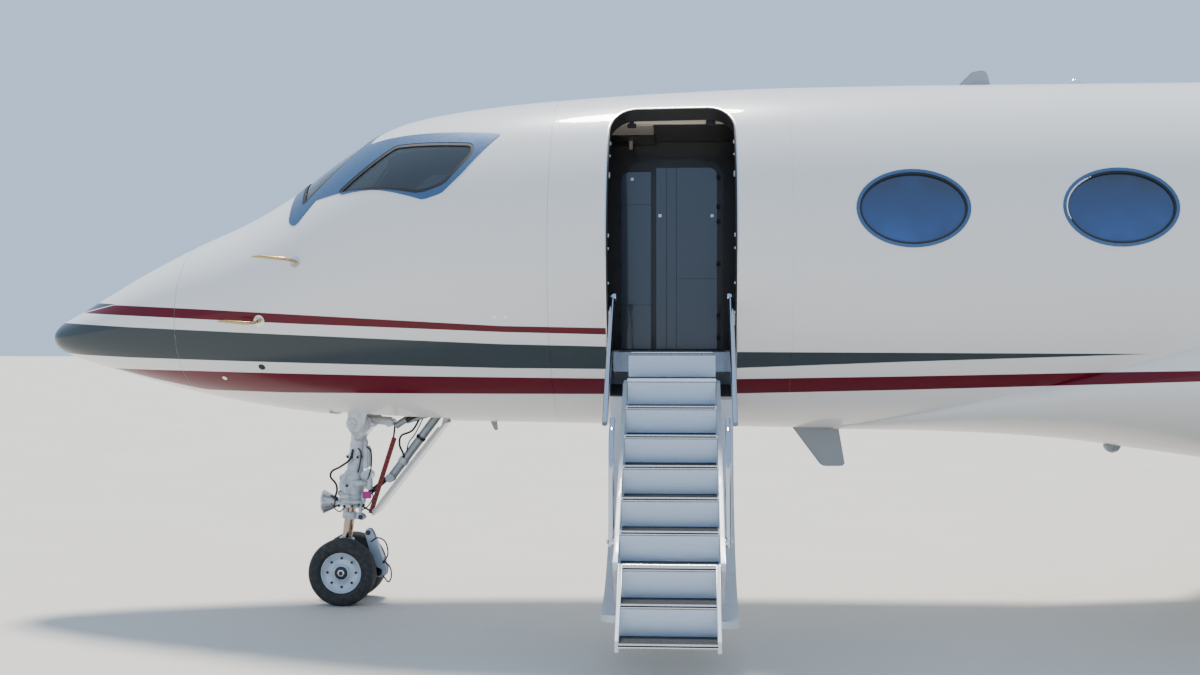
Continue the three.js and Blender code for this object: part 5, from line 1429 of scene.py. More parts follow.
STRUT = [(1.545, 0), (1.545, 0.06), (1.53, 0.07), (1.4, 0.072), (1.36, 0.066), (1.225, 0.066), (1.22, 0.076),
         (1.19, 0.076), (1.185, 0.068), (1.09, 0.07), (1.07, 0.085), (1.0, 0.092), (0.985, 0.1), (0.955, 0.1),
         (0.94, 0.094), (0.9, 0.094), (0.89, 0.103), (0.83, 0.103), (0.82, 0.096), (0.81, 0.104),
         (0.79, 0.104), (0.785, 0.08), (0.785, 0.047), (0.8, 0.047)]
TRUNNION_WEB = [(2.51, 1.46), (2.53, 1.425), (2.6, 1.32), (2.68, 1.42), (2.72, 1.47), (2.7, 1.55),
                (2.52, 1.55)]
leg = [
    (strut_lathe(STRUT), gear_paint),
    (across(TRUNNION_STATION, TRUNNION_HEIGHT, -0.29, 0.29, 0.038), gear_paint),
    boss(2.575, 1.487, -0.1, 0.068),
    boss(2.575, 1.487, 0.1, 0.068),
    (plate(TRUNNION_WEB, -0.1, 0.1, 0.02), gear_paint),
    (pipe([(2.63, 1.52), (2.87, 1.5)], 0.036, 20), gear_paint),
    (across(2.86, 1.49, -0.09, 0.09, 0.032, 20), gear_paint),
    (pipe([(2.9, 1.46), (3.0, 1.52), (3.1, 1.53)], 0.028), brace_paint),
    (pipe([(3.0, -0.05, 1.51), (3.08, -0.05, 1.56)], 0.02, 12), dark_steel),
]
# Steering pistons, valve blocks and their unions, as (station, side, height, radius, half length, axis)
FITTINGS = (
    (2.475, 0, 1.03, 0.036, 0.075, "y"), (2.46, -0.05, 0.97, 0.026, 0.04, "z"),
    (2.445, 0.03, 0.9, 0.03, 0.06, "y"), (2.665, 0, 1.05, 0.046, 0.085, "y"),
    (2.69, -0.06, 0.985, 0.03, 0.05, "z"), (2.66, -0.055, 1.2, 0.026, 0.09, "z"),
    (2.665, 0.045, 1.2, 0.024, 0.08, "z"), (2.61, -0.105, 0.99, 0.03, 0.05, "x"),
    (2.5, -0.1, 0.88, 0.024, 0.05, "x"), (2.56, -0.1, 0.835, 0.018, 0.06, "x"),
    (2.57, 0.1, 0.96, 0.034, 0.07, "x"), (2.655, -0.03, 1.305, 0.02, 0.05, "z"),
    (2.64, -0.065, 0.86, 0.022, 0.04, "z"), (2.43, -0.045, 0.82, 0.02, 0.05, "x"),
    (2.62, -0.07, 0.775, 0.016, 0.03, "z"), (2.49, -0.075, 0.775, 0.016, 0.03, "z"),
)
for station, aside, height, radius, half, axis in FITTINGS:
    profile = [(-half, 0), (-half, radius * 0.6), (-half + 0.008, radius * 0.62), (-half + 0.009, radius),
               (half - 0.016, radius), (half - 0.014, radius * 0.8), (half - 0.006, radius * 0.8),
               (half - 0.005, radius * 0.55), (half + 0.012, radius * 0.5), (half + 0.012, 0)]
    leg.append((lathe(profile, (station - MIDDLE, aside, height), AXES[axis], 20), gear_paint))
COLLAR_BOLTS = 10
for height, reach in ((1.205, 0.073), (0.97, 0.097), (0.8, 0.101)):
    union = stud(0.012, 0.016, 0.004, 0.009, (reach, 0, 0), AXES["x"], 6)
    turn = (0, 0, TAU / COLLAR_BOLTS)
    leg.append(copied(round_tree, union, COLLAR_BOLTS, turn, dark_steel, strut_place(height)))
LEG_LINES = (
    # radius, then the route as (station, y, height)
    (0.009, [(2.555, -0.075, 1.27), (2.535, -0.09, 1.19), (2.46, -0.1, 1.13), (2.385, -0.09, 1.09),
             (2.37, -0.08, 1.04), (2.41, -0.07, 0.985), (2.418, -0.06, 0.93), (2.4, -0.05, 0.87)]),
    (0.006, [(2.6, -0.07, 1.28), (2.63, -0.1, 1.24), (2.62, -0.1, 1.15), (2.6, -0.085, 1.08)]),
    (0.006, [(2.66, -0.06, 1.3), (2.71, -0.08, 1.25), (2.71, -0.08, 1.12), (2.68, -0.08, 1.02)]),
    (0.005, [(2.41, -0.05, 0.87), (2.4, -0.08, 0.79), (2.45, -0.09, 0.755), (2.5, -0.1, 0.8)]),
    (0.005, [(2.68, -0.06, 0.94), (2.72, -0.05, 0.88), (2.68, -0.06, 0.8), (2.62, -0.08, 0.76)]),
)
leg += [(pipe(route, radius, 10), hose_rubber) for radius, route in LEG_LINES]
BAND = [(2.64, 0.865), (2.71, 0.865), (2.71, 0.92), (2.64, 0.92)]
leg.append((plate(BAND, -0.092, -0.06, 0.003), purple_band))
LAMP_PLACE = (2.285 - MIDDLE, 0, 0.825)
LAMP_SHELL = [(0, 0.094), (0.004, 0.098), (0.016, 0.1), (0.02, 0.095), (0.1, 0.055), (0.115, 0.045),
              (0.13, 0.04), (0.135, 0.02), (0.135, 0)]
LAMP_GLASS = [(-0.012, 0), (-0.01, 0.04), (-0.004, 0.075), (0.004, 0.094), (0.02, 0.09), (0.02, 0)]
leg += [
    (lathe(LAMP_SHELL, LAMP_PLACE, AXES["x"], 40), nosing_metal),
    (lathe(LAMP_GLASS, LAMP_PLACE, AXES["x"], 40), lens),
    (plate([(2.4, 0.81), (2.5, 0.8), (2.5, 0.86), (2.4, 0.85)], -0.03, 0.03), gear_paint),
    (plate([(2.36, 0.78), (2.42, 0.79), (2.42, 0.87), (2.36, 0.89)], -0.045, -0.035, 0.002), dark_steel),
]
built("nose_shock_strut", leg, "gear_paint", "nose_strut")

BRACE_TOP, BRACE_KNEE, BRACE_END = (3.29, 1.6), (2.86, 1.03), (2.63, 0.86)
BRACE_HOSE = [(3.12, -0.03, 1.55), (3.05, -0.04, 1.43), (2.96, -0.06, 1.385), (2.945, -0.06, 1.31),
              (2.97, -0.045, 1.24), (2.975, -0.035, 1.2)]
BRACE_WIRE = [(3.14, -0.02, 1.54), (3.07, -0.03, 1.4), (3.02, -0.045, 1.33), (3.0, -0.04, 1.25)]
brace = [
    (pipe([BRACE_TOP, BRACE_KNEE], 0.036, 24), brace_paint),
    (pipe([(2.9, 1.083), BRACE_END], 0.021, 20), dark_steel),
    (across(*BRACE_TOP, -0.28, 0.28, 0.022), gear_paint),
    (across(*BRACE_KNEE, -0.055, 0.055, 0.036), brace_paint),
    (pipe([(3.12, 1.375), (3.105, 1.355)], 0.042, 24), dark_steel),
    (pipe([(2.98, 1.19), (2.955, 1.156)], 0.044, 24), gear_paint),
    (pipe(BRACE_HOSE, 0.009, 10), hose_rubber),
    (pipe(BRACE_WIRE, 0.005, 8), hose_rubber),
    (pipe([(3.0, -0.03, 1.5), (3.2, -0.03, 1.56)], 0.018), brace_paint),
]
# The lock bar: its ends as (station, height), how far aside it stands, and the holes along it
LOCK_TOP, LOCK_LOW = np.array((2.905, 1.37)), np.array((2.705, 0.74))
LOCK_SIDE, LOCK_HALF, LOCK_THICK = -0.075, 0.02, 0.008
LOCK_HOLES, HOLE_PITCH, FIRST_HOLE = 17, 0.036, 0.03
lock_along = (LOCK_LOW - LOCK_TOP) / np.linalg.norm(LOCK_LOW - LOCK_TOP)
lock_wide = np.array((-lock_along[1], lock_along[0])) * LOCK_HALF
lock = [LOCK_TOP - lock_wide, LOCK_TOP + lock_wide, LOCK_LOW + lock_wide, LOCK_LOW - lock_wide]
hole_step = lock_along * HOLE_PITCH
hole_station, hole_height = LOCK_TOP + lock_along * FIRST_HOLE
hole = stud(0.008, 0.0095, 0, 0.008, (hole_station - MIDDLE, LOCK_SIDE + 0.0047, hole_height), (0, -1, 0), 12)
pin_station = lock[0][0] + 0.01
upper_pin = [(pin_station, LOCK_SIDE, LOCK_TOP[1] - 0.02), (pin_station, 0, LOCK_TOP[1] + 0.12)]
lower_pin = [(LOCK_LOW[0], LOCK_SIDE, LOCK_LOW[1] + 0.02), (2.62, -0.05, 0.8)]
brace += [
    (plate(lock, LOCK_SIDE - LOCK_THICK / 2, LOCK_SIDE + LOCK_THICK / 2, 0.002), red_anodised),
    copied(row_tree, hole, LOCK_HOLES, (hole_step[0], 0, hole_step[1]), trim_seal),
    (pipe(upper_pin, 0.008, 10), dark_steel),
    (pipe(lower_pin, 0.008, 10), dark_steel),
]
built("nose_brace", brace, "gear_paint", "nose_drag_brace")

door_paint = Finish("door_enamel", (0.62, 0.58, 0.5), 0.4, coat_weight=0.3).grain(12.0, 4, depth=0.0008)
LEAF_SKIN = [(3.338, 1.5), (3.35, 1.497), (2.744, 0.728), (2.728, 0.732), (2.735, 0.745)]
LEAF_BACK = [(3.318, 1.49), (3.336, 1.494), (2.74, 0.75), (2.73, 0.765)]
LEAF_HINGE = [(3.345, 1.49), (3.36, 1.6), (3.335, 1.6), (3.3, 1.46)]
LEAF_RIB = [(3.29, 1.46), (3.27, 1.46), (2.78, 0.84), (2.79, 0.82)]
leaf = [(plate(LEAF_SKIN, -0.15, 0.15), plain_pearl), (plate(LEAF_BACK, -0.15, 0.15), door_paint)]
for aside in (-0.1, 0.1):
    leaf += [(plate(outline, aside - half, aside + half, 0.003), gear_paint)
             for outline, half in ((LEAF_HINGE, 0.01), (LEAF_RIB, 0.008))]
leaf.append((across(3.345, 1.59, -0.28, 0.28, 0.012), dark_steel))
built("nose_door_leaf", leaf, "white_paint", "nose_gear_door")

# The part that steers: chromed piston, axle yoke and scissor links
NOSE_PISTON = [(0.93, 0), (0.93, 0.042), (0.52, 0.042), (0.515, 0.05), (0.5, 0.05)]
PISTON_FOOT = [(0.53, 0.043), (0.53, 0.06), (0.5, 0.068), (0.47, 0.066), (0.44, 0.05), (0.3, 0.045), (0.3, 0)]
PISTON_RING = [(0.745, 0.043), (0.745, 0.062), (0.69, 0.062), (0.69, 0.043)]
AXLE_YOKE = [(2.455, 0.4), (2.46, 0.3), (2.54, 0.3), (2.55, 0.42), (2.52, 0.46)]
LINK_LUG = ((2.57, 0.69), (2.58, 0.74), (2.61, 0.735), (2.65, 0.7), (2.63, 0.675))
LINK_ARM = ((2.5, 0.32), (2.5, 0.22), (2.72, 0.2), (2.79, 0.22), (2.8, 0.27), (2.74, 0.3))
LOOSE_LINK = ((2.645, 0.575), (2.66, 0.605), (2.695, 0.605), (2.715, 0.575), (2.835, 0.28), (2.825, 0.22),
              (2.76, 0.2), (2.735, 0.26))
LINK_WEB = ((2.7, 0.52), (2.74, 0.52), (2.8, 0.36), (2.76, 0.36))
LINK_HOSES = (
    [(2.7, -0.04, 0.5), (2.76, -0.055, 0.535), (2.825, -0.055, 0.5), (2.845, -0.055, 0.4),
     (2.8, -0.04, 0.32)],
    [(2.8, -0.04, 0.34), (2.86, -0.055, 0.3), (2.875, -0.055, 0.22), (2.85, -0.055, 0.17),
     (2.8, -0.04, 0.22)],
)
steered = [
    (strut_lathe(NOSE_PISTON), piston_chrome),
    (strut_lathe(PISTON_FOOT, 32), blue_steel),
    (across(2.5, NOSE_AXLE[2], -0.09, 0.09, 0.055, 32), blue_steel),
    (across(2.5, NOSE_AXLE[2], -0.094, -0.086, 0.06, 32), dark_steel),
    (plate(AXLE_YOKE, -0.045, 0.045, 0.01), blue_steel),
    (strut_lathe(PISTON_RING, 32), gear_paint),
]
for aside in (-0.034, 0.034):
    for outline, finish in ((LINK_LUG, gear_paint), (LINK_ARM, blue_steel), (LOOSE_LINK, blue_steel)):
        steered.append((plate(outline, aside - 0.009, aside + 0.009), finish))
for station, height in ((2.678, 0.575), (2.615, 0.705), (2.775, 0.25)):
    steered.append((across(station, height, -0.055, 0.055, 0.02), dark_steel))
steered.append((plate(LINK_WEB, -0.03, 0.03), blue_steel))
steered += [(pipe(route, 0.006, 8), hose_rubber) for route in LINK_HOSES]
built("nose_steered_leg", steered, "chrome", "nose_fork", body="steered_leg")

BAY_WALL, BAY_ROOF, BAY_SHEET = 0.32, 1.96, 0.012
TRUNNION_LUG = ((2.57, 1.47), (2.59, 1.44), (2.65, 1.43), (2.69, 1.46), (2.77, 1.7), (2.57, 1.7))
BRACE_LUG = ((3.27, 1.57), (3.31, 1.57), (3.36, 1.7), (3.2, 1.7))
bay_x0, bay_x1 = BAY_FRONT - MIDDLE, BAY_BACK - MIDDLE
bay = [(block((bay_x0, -BAY_WALL, BAY_ROOF), (bay_x1, BAY_WALL, 1.985), 0.003), door_paint)]
for x in (bay_x0, bay_x1 - BAY_SHEET):
    bay.append((block((x, -BAY_WALL, 1.58), (x + BAY_SHEET, BAY_WALL, 1.97), 0.003), door_paint))
for sign in (-1, 1):
    low_y, high_y = sorted((sign * BAY_HALF_WIDTH, sign * BAY_WALL))
    bay += [(plate(outline, low_y, high_y), gear_paint) for outline in (TRUNNION_LUG, BRACE_LUG)]
    bay.append(boss(TRUNNION_STATION, TRUNNION_HEIGHT, sign * BAY_WALL, 0.042))
    bay.append((block((bay_x0, low_y, 1.62), (bay_x1, high_y, 1.98), 0.003), door_paint))
built("nose_bay_structure", bay, "gear_paint")


# Belly fairing
# A shaped skin under the tube covers the wing roots and main gear bays.

# Columns: station, half width, top, bottom
FAIRING = np.array([
    (6.5, 0.3, 1.56, 1.455), (7.0, 0.59, 1.7, 1.452), (7.6, 0.85, 1.95, 1.435), (8.3, 1.07, 2.25, 1.39),
    (9.0, 1.27, 2.55, 1.3), (9.8, 1.48, 2.8, 1.2), (10.6, 1.59, 2.87, 1.165), (11.5, 1.62, 2.88, 1.16),
    (15.5, 1.62, 2.8, 1.17), (17.0, 1.45, 2.5, 1.3), (18.4, 0.8, 2.0, 1.48), (19.0, 0.25, 1.75, 1.59),
])
FAIRING_POINTS = 72


def fairing_section(station):
    """Half width, middle height and half height of the fairing at a station."""
    stations, wanted = FAIRING[:, 0], np.array([station])
    width, top, bottom = (float(smooth_curve(stations, FAIRING[:, k], wanted)[0]) for k in (1, 2, 3))
    return width, (top + bottom) / 2, (top - bottom) / 2


def hull_lift(y, z, station, lift):
    """The point of the hull towards (y, z) from its middle, and whether it is farther out than that."""
    width, middle, half = (float(value) for value in hull_section(station))
    reach = math.hypot(y / (width + lift), (z - middle) / (half + lift))
    return (y / reach, middle + (z - middle) / reach), reach < 1


def fairing_rings(station):
    """Outer and inner points from one side over the belly to the other, where the fairing shows."""
    width, middle, half = fairing_section(station)
    angles = np.linspace(0, TAU, 721)
    spots = [(-width * math.sin(a), middle + half * math.cos(a)) for a in angles]
    shown = [k for k, (y, z) in enumerate(spots) if not hull_lift(y, z, station, 0.0005)[1]]
    first = angles[shown[0]] if shown else math.pi - 0.02
    turns = np.linspace(first, TAU - first, FAIRING_POINTS)
    outer, inner = [], []
    for a in turns:
        y, z = -width * math.sin(a), middle + half * math.cos(a)
        under, _ = hull_lift(y, z, station, 0.0004)
        outer.append((station - MIDDLE, y, z))
        inner.append((station - MIDDLE, *under))
    return outer, inner


fairing_stations = np.concatenate([
    np.linspace(6.5, 9.8, 34), np.linspace(10.0, 16.0, 16), np.linspace(16.2, 19.0, 24)])
sections = [fairing_rings(float(station)) for station in fairing_stations]
fairing = loft([outer + inner[::-1] for outer, inner in sections])
placed("wing_root_fairing", fairing, [livery], "white_paint", "belly_fairing")


# Wings
# Swept supercritical wings blend up into winglets, with polished leading edges, flaps and ailerons.

leading_metal = Finish("polished_leading_edge", (0.6, 0.62, 0.64), 0.2, 1.0).grain(12.0, 4, rough=(0.2, 0.12))
AEROFOIL_STEPS = 26
TRAILING = 0.0012


def half_thickness(share, ratio):
    curve = (0.2969 * math.sqrt(share) - 0.126 * share - 0.3516 * share**2 + 0.2843 * share**3
             - 0.1036 * share**4)
    return max(5 * ratio * curve, TRAILING)


# Columns: y, leading edge station, chord, height, thickness ratio, cant in degrees
WING = np.array([
    (1.25, 9.387, 6.988, 1.612, 0.115, 3), (5.0, 12.21, 4.8, 1.81, 0.11, 3),
    (9.6, 15.68, 3.175, 2.05, 0.105, 3), (14.15, 19.112, 1.568, 2.288, 0.1, 3),
    (14.62, 19.5, 1.4, 2.36, 0.095, 20), (14.93, 19.87, 1.24, 2.56, 0.09, 50),
    (15.06, 20.23, 1.06, 2.86, 0.085, 76), (15.155, 21.35, 0.6, 3.9, 0.08, 84),
])
# Columns: height, leading edge station, chord, thickness ratio
FIN = np.array([(3.65, 21.5, 6.0, 0.07), (4.35, 23.15, 4.33, 0.1), (7.48, 25.75, 2.95, 0.1)])
TAIL_HEIGHT = 7.6
TAILPLANE = np.array([(0, 25.8, 2.75, 0.1), (5.3, 29.25, 1.16, 0.09)])


def table_row(table, place):
    return [float(np.interp(place, table[:, 0], table[:, k])) for k in range(table.shape[1])]


def wing_at(place):
    y, leading, chord, height, ratio, cant = table_row(WING, place)
    return y, leading, chord, height, ratio, math.radians(cant)


def tailplane_at(place):
    y, leading, chord, ratio = table_row(TAILPLANE, place)
    return y, leading, chord, TAIL_HEIGHT, ratio, 0.0


def fin_at(place):
    """The fin drawn lying down, with y as its height."""
    y, leading, chord, ratio = table_row(FIN, place)
    return y, leading, chord, 0.0, ratio, 0.0


def canted(points, y, height, cant):
    """Points of (station, height above the chord) on a section that leans inwards by an angle."""
    return [(x - MIDDLE, y - up * math.sin(cant), height + up * math.cos(cant)) for x, up in points]


def wing_ring(section, start=0.0, end=None, nose=False):
    """A closed aerofoil ring between two stations along the chord, with a round nose if asked."""
    y, leading, chord, height, ratio, cant = section
    end = leading + chord if end is None else end
    first, last = max(0.0, (start - leading) / chord), (end - leading) / chord
    if nose:
        radius = half_thickness((start - leading) / chord, ratio) * chord - 0.001
        arc = [(start + radius * math.cos(a), radius * math.sin(a))
               for a in np.linspace(math.pi * 1.5, math.pi / 2, 12)]
        shares = np.linspace(first, last, 14)[1:]
        skin = [(leading + s * chord, half_thickness(s, ratio) * chord - 0.001 * (1 - k / 12))
                for k, s in enumerate(shares)]
        return canted(arc + skin + [(x, -t) for x, t in skin[::-1]], y, height, cant)
    shares = first + (last - first) * (1 - np.cos(np.linspace(0, math.pi / 2, AEROFOIL_STEPS)))
    upper = [(leading + s * chord, half_thickness(s, ratio) * chord) for s in shares]
    if first == 0:
        upper[0] = (leading, 0.0)
    return canted(upper + [(x, -t) for x, t in upper[:0:-1]], y, height, cant)


def hinge_station(hinged, place):
    (y0, y1), (h0, h1) = hinged[:2]
    return h0 + (h1 - h0) * (place - y0) / (y1 - y0)


# Each hinged surface: ends along the span, hinge stations at them, gaps at the ends, trim of the outer end
FLAP = ((1.8, 8.95), (15.05, 17.81), (0.05, 0.025), 0.0747)
AILERON = ((9.1, 12.9), (17.85, 19.7), (0.025, 0.025), 0.0237)
RUDDER = ((4.25, 7.08), (26.13, 27.62), (0.025, 0.025), 0.0301)
ELEVATOR = ((0.29, 5.05), (27.85, 29.96), (0.025, 0.025), 0.0321)
SURFACE_GAP = 0.014


def fixed_part(section_at, places, surfaces):
    """Closed lofts of the fixed structure, cut short ahead of each hinged surface."""
    parts = []
    cuts = [end + side * gap for ends, _, gaps, _ in surfaces for end, side, gap in zip(ends, (-1, 1), gaps)]
    stops = sorted({places[0], places[-1], *cuts})
    for low, high in zip(stops, stops[1:]):
        middle = (low + high) / 2
        hinged = [s for s in surfaces if s[0][0] - s[2][0] < middle < s[0][1] + s[2][1]]
        rings = []
        for place in sorted({low, high, *[p for p in places if low < p < high]}):
            section = section_at(place)
            end = None
            if hinged:
                hinge = hinge_station(hinged[0], place)
                thick = half_thickness((hinge - section[1]) / section[2], section[4]) * section[2]
                end = hinge - thick - SURFACE_GAP
            rings.append(wing_ring(section, 0.0, end))
        parts.append((loft(rings), plain_pearl))
    return parts


def blade(section_at, surface):
    """A hinged surface with its half-round nose; the outer end is trimmed as the swept hinge asks."""
    ends, _, _, trim = surface
    rings = []
    for k, place in enumerate(np.linspace(*ends, 5)):
        hinge = hinge_station(surface, place)
        ring = wing_ring(section_at(place), hinge, nose=True)
        if k == 4:
            ring = [(x, y - trim * max(x + MIDDLE - hinge, 0), z) for x, y, z in ring]
        rings.append(ring)
    return loft(rings)


def sided(mesh, sign):
    """The same mesh for starboard (1), or mirrored for port (-1)."""
    if sign < 0:
        mesh.transform(Matrix.Diagonal((1, -1, 1, 1)))
        mesh.flip_normals()
    return mesh


WINGLET = (14.15, 14.3, 14.46, 14.62, 14.74, 14.84, 14.93, 14.98, 15.02, 15.06, 15.08, 15.1, 15.13, 15.155)
WING_PLACES = (0.5, 5.0, 9.6, *WINGLET)
CANOES = (3.6, 6.4)
CANOE = [(0, 0), (0.05, 0.035), (0.2, 0.07), (0.4, 0.1), (0.7, 0.105), (0.95, 0.098), (1.08, 0.085),
         (1.08, 0)]
# How far back along the chord the polished edge reaches, and how thick it is in front and on the skin
EDGE_SHARE, EDGE_FRONT, EDGE_SKIN = 0.045, 0.0012, 0.0006


def smooth_wing_at(place):
    """The wing with its bend into the winglet eased, where the plain table has corners."""
    if place <= WINGLET[0]:
        return wing_at(place)
    reach = np.concatenate([[0], np.cumsum(np.hypot(np.diff(WING[:, 0]), np.diff(WING[:, 3])))])
    at = float(np.interp(place, WING[:, 0], reach))
    y, leading, chord, height, ratio, cant = (
        float(smooth_curve(reach, WING[:, k], np.array([at]))[0]) for k in range(6))
    return y, leading, chord, height, ratio, math.radians(cant)


def canoe(y):
    """A flap track fairing, a slim pod under the wing."""
    _, leading, chord, height, ratio, _ = wing_at(y)
    hinge = hinge_station(FLAP, y)
    under = half_thickness((hinge - leading) / chord, ratio) * chord
    pod = lathe(CANOE, (0, 0, 0), (1, 0, 0), 32)
    front = hinge - under - SURFACE_GAP - CANOE[-1][0] - MIDDLE
    pod.transform(Matrix.Translation((front, y, height - under - 0.025)) @ Matrix.Diagonal((1, 0.7, 1, 1)))
    return pod, plain_pearl


def edge_ring(place):
    """The polished leading edge, a thin shell over the front of the aerofoil."""
    y, leading, chord, height, ratio, cant = wing_at(float(place))
    shares = [EDGE_SHARE * (1 - math.cos(a)) for a in np.linspace(0, math.pi / 2, 10)]
    upper = [(leading + share * chord - EDGE_FRONT * (1 - share / EDGE_SHARE),
              half_thickness(share, ratio) * chord + EDGE_SKIN) for share in shares]
    upper[0] = (leading - EDGE_FRONT, 0.0)
    return canted(upper + [(x, -up) for x, up in upper[:0:-1]], y, height, cant)


for side, sign in SIDES:
    parts = fixed_part(smooth_wing_at, WING_PLACES, (FLAP, AILERON)) + [canoe(y) for y in CANOES]
    parts.append((loft([edge_ring(place) for place in np.linspace(1.75, WINGLET[0], 9)]), leading_metal))
    placed(f"{side}_wing_skin", sided(assembled("wing", parts), sign), [], "white_paint", f"{side}_wing")
    for label, surface in (("flap", FLAP), ("aileron", AILERON)):
        placed(f"{side}_{label}_skin", sided(blade(wing_at, surface), sign), [plain_pearl], "white_paint",
               f"{side}_{label}", body=f"{side}_{label}_panel")


# Tail
# A swept fin with a rudder carries the tailplane and its elevators on a bullet at the top.

stand_up = Matrix.Rotation(math.pi / 2, 4, "X")
fin_mesh = assembled("fin", fixed_part(fin_at, FIN[:, 0].tolist(), (RUDDER,)))
fin_mesh.transform(stand_up)
placed("fin_skin", fin_mesh, [], "white_paint", "fin")
rudder_mesh = blade(fin_at, RUDDER)
rudder_mesh.transform(stand_up)
placed("rudder_skin", rudder_mesh, [plain_pearl], "white_paint", "rudder", body="rudder_panel")
BULLET_PLACE = (25.35 - MIDDLE, 0, TAIL_HEIGHT)
BULLET = [(0, 0.0, 0), (0.12, 0.08, 0), (0.5, 0.165, 0), (1.2, 0.218, 0), (2.5, 0.192, 0), (3.75, 0.0, 0)]
bullet_profile = [(float(along), max(0.0, float(radius))) for along, radius, _ in smooth_path(BULLET, 7)]
tail_parts = [(sided(mesh, -sign), finish) for _, sign in SIDES
              for mesh, finish in fixed_part(tailplane_at, TAILPLANE[:, 0].tolist(), (ELEVATOR,))]
tail_parts.append((lathe(bullet_profile, BULLET_PLACE, (1, 0, 0), 40), plain_pearl))
built("tailplane_skin", tail_parts, "white_paint", "tailplane")
for side, sign in SIDES:
    placed(f"{side}_elevator_skin", sided(blade(tailplane_at, ELEVATOR), sign), [plain_pearl], "white_paint",
           f"{side}_elevator", body=f"{side}_elevator_panel")


# Engines
# Two turbofans in painted cowls with polished intake lips, wide twisted blades and ribbed exhausts.

lip_metal = Finish("polished_lip", (0.75, 0.76, 0.78), 0.12, 1.0).grain(20.0, 4, rough=(0.15, 0.07))
duct_finish = Finish("acoustic_liner", (0.3, 0.31, 0.32), 0.5, 0.5).grain(220.0, 1, depth=0.0015)
blade_metal = Finish("titanium_blade", (0.3, 0.31, 0.33), 0.28, 0.95).grain(
    30.0, 4, rough=(0.2, 0.18), stretch=(1, 8, 8))
hot_metal = Finish("heat_stained_steel", (0.3, 0.27, 0.24), 0.35, 0.95).grain(
    4.0, 4, ((0.2, 0.17, 0.2), (0.42, 0.36, 0.29)))

ENGINE_Y, ENGINE_HEIGHT, ENGINE_FRONT, DUCT = 2.45, 3.36, 19.9, 0.66
LIP = [(0.36, 0.632), (0.2, 0.645), (0.08, 0.662), (0.02, 0.678), (0.0, 0.7), (0.012, 0.724), (0.05, 0.752),
       (0.1, 0.771), (0.16, 0.79), (0.2, 0.8), (0.2, 0.79), (0.36, 0.64), (0.36, 0.632)]
COWL = [(0.2, 0.801), (0.4, 0.845), (0.75, 0.88), (1.2, 0.898), (1.8, 0.903), (2.3, 0.9), (3.0, 0.876),
        (3.7, 0.84), (4.5, 0.735), (5.3, 0.59)]
DUCT_LINE = [(5.3, 0.565), (4.6, 0.62), (3.9, 0.655), (0.9, 0.655), (0.6, 0.64), (0.36, 0.633), (0.36, 0.641),
             (0.2, 0.79)]
CORE = [(1.4, 0), (1.4, 0.3), (1.45, 0.36), (3.0, 0.38), (3.85, 0.36), (4.4, 0.31), (4.75, 0.27), (4.8, 0.25),
        (4.7, 0.22), (4.7, 0.1), (5.2, 0.07), (5.44, 0.01), (5.44, 0)]
LINER = [(0.86, 0.652), (0.86, 0.6545), (3.8, 0.6545), (3.8, 0.652), (0.86, 0.652)]
SPINNER = [(0.78, 0), (0.8, 0.03), (0.86, 0.075), (0.95, 0.125), (1.05, 0.165), (1.15, 0.19), (1.28, 0.19),
           (1.28, 0.1)]
COWL_SEAMS, SEAM_WIDE, SEAM_PROUD = (1.35, 3.3), 0.004, 0.0008
BLADES, VANES = 18, 24
# Each blade: front and back, radius at root and tip, twist at root and tip, thickness
FAN_BLADE = (1.06, 1.28, 0.17, 0.638, 0.35, 1.0, 0.018)
VANE = (1.75, 1.9, 0.35, DUCT - 0.006, 0.25, 0.1, 0.014)
PYLON_LEADING, PYLON_CHORD, PYLON_RATIO = 21.25, 3.4, 0.09
PYLON_PLACES = (1.0, 1.4, 1.61)


def radial_blade(x0, x1, root, tip, twist_root, twist_tip, thick, rows=7):
    """A twisted blade standing up from the engine's axis."""
    rings = []
    middle = (x0 + x1) / 2
    for t in np.linspace(0, 1, rows):
        reach = root + (tip - root) * t
        angle = twist_root + (twist_tip - twist_root) * t
        half = (x1 - x0) / 2 * (1 + 0.12 * math.sin(math.pi * t))
        ring = []
        for a in np.linspace(0, TAU, 14, endpoint=False):
            along, out = half * math.cos(a), thick / 2 * math.sin(a) * (1 - 0.45 * t)
            ring.append((middle + along * math.cos(angle) - out * math.sin(angle),
                         along * math.sin(angle) + out * math.cos(angle), reach))
        rings.append(ring)
    return loft(rings, 60)


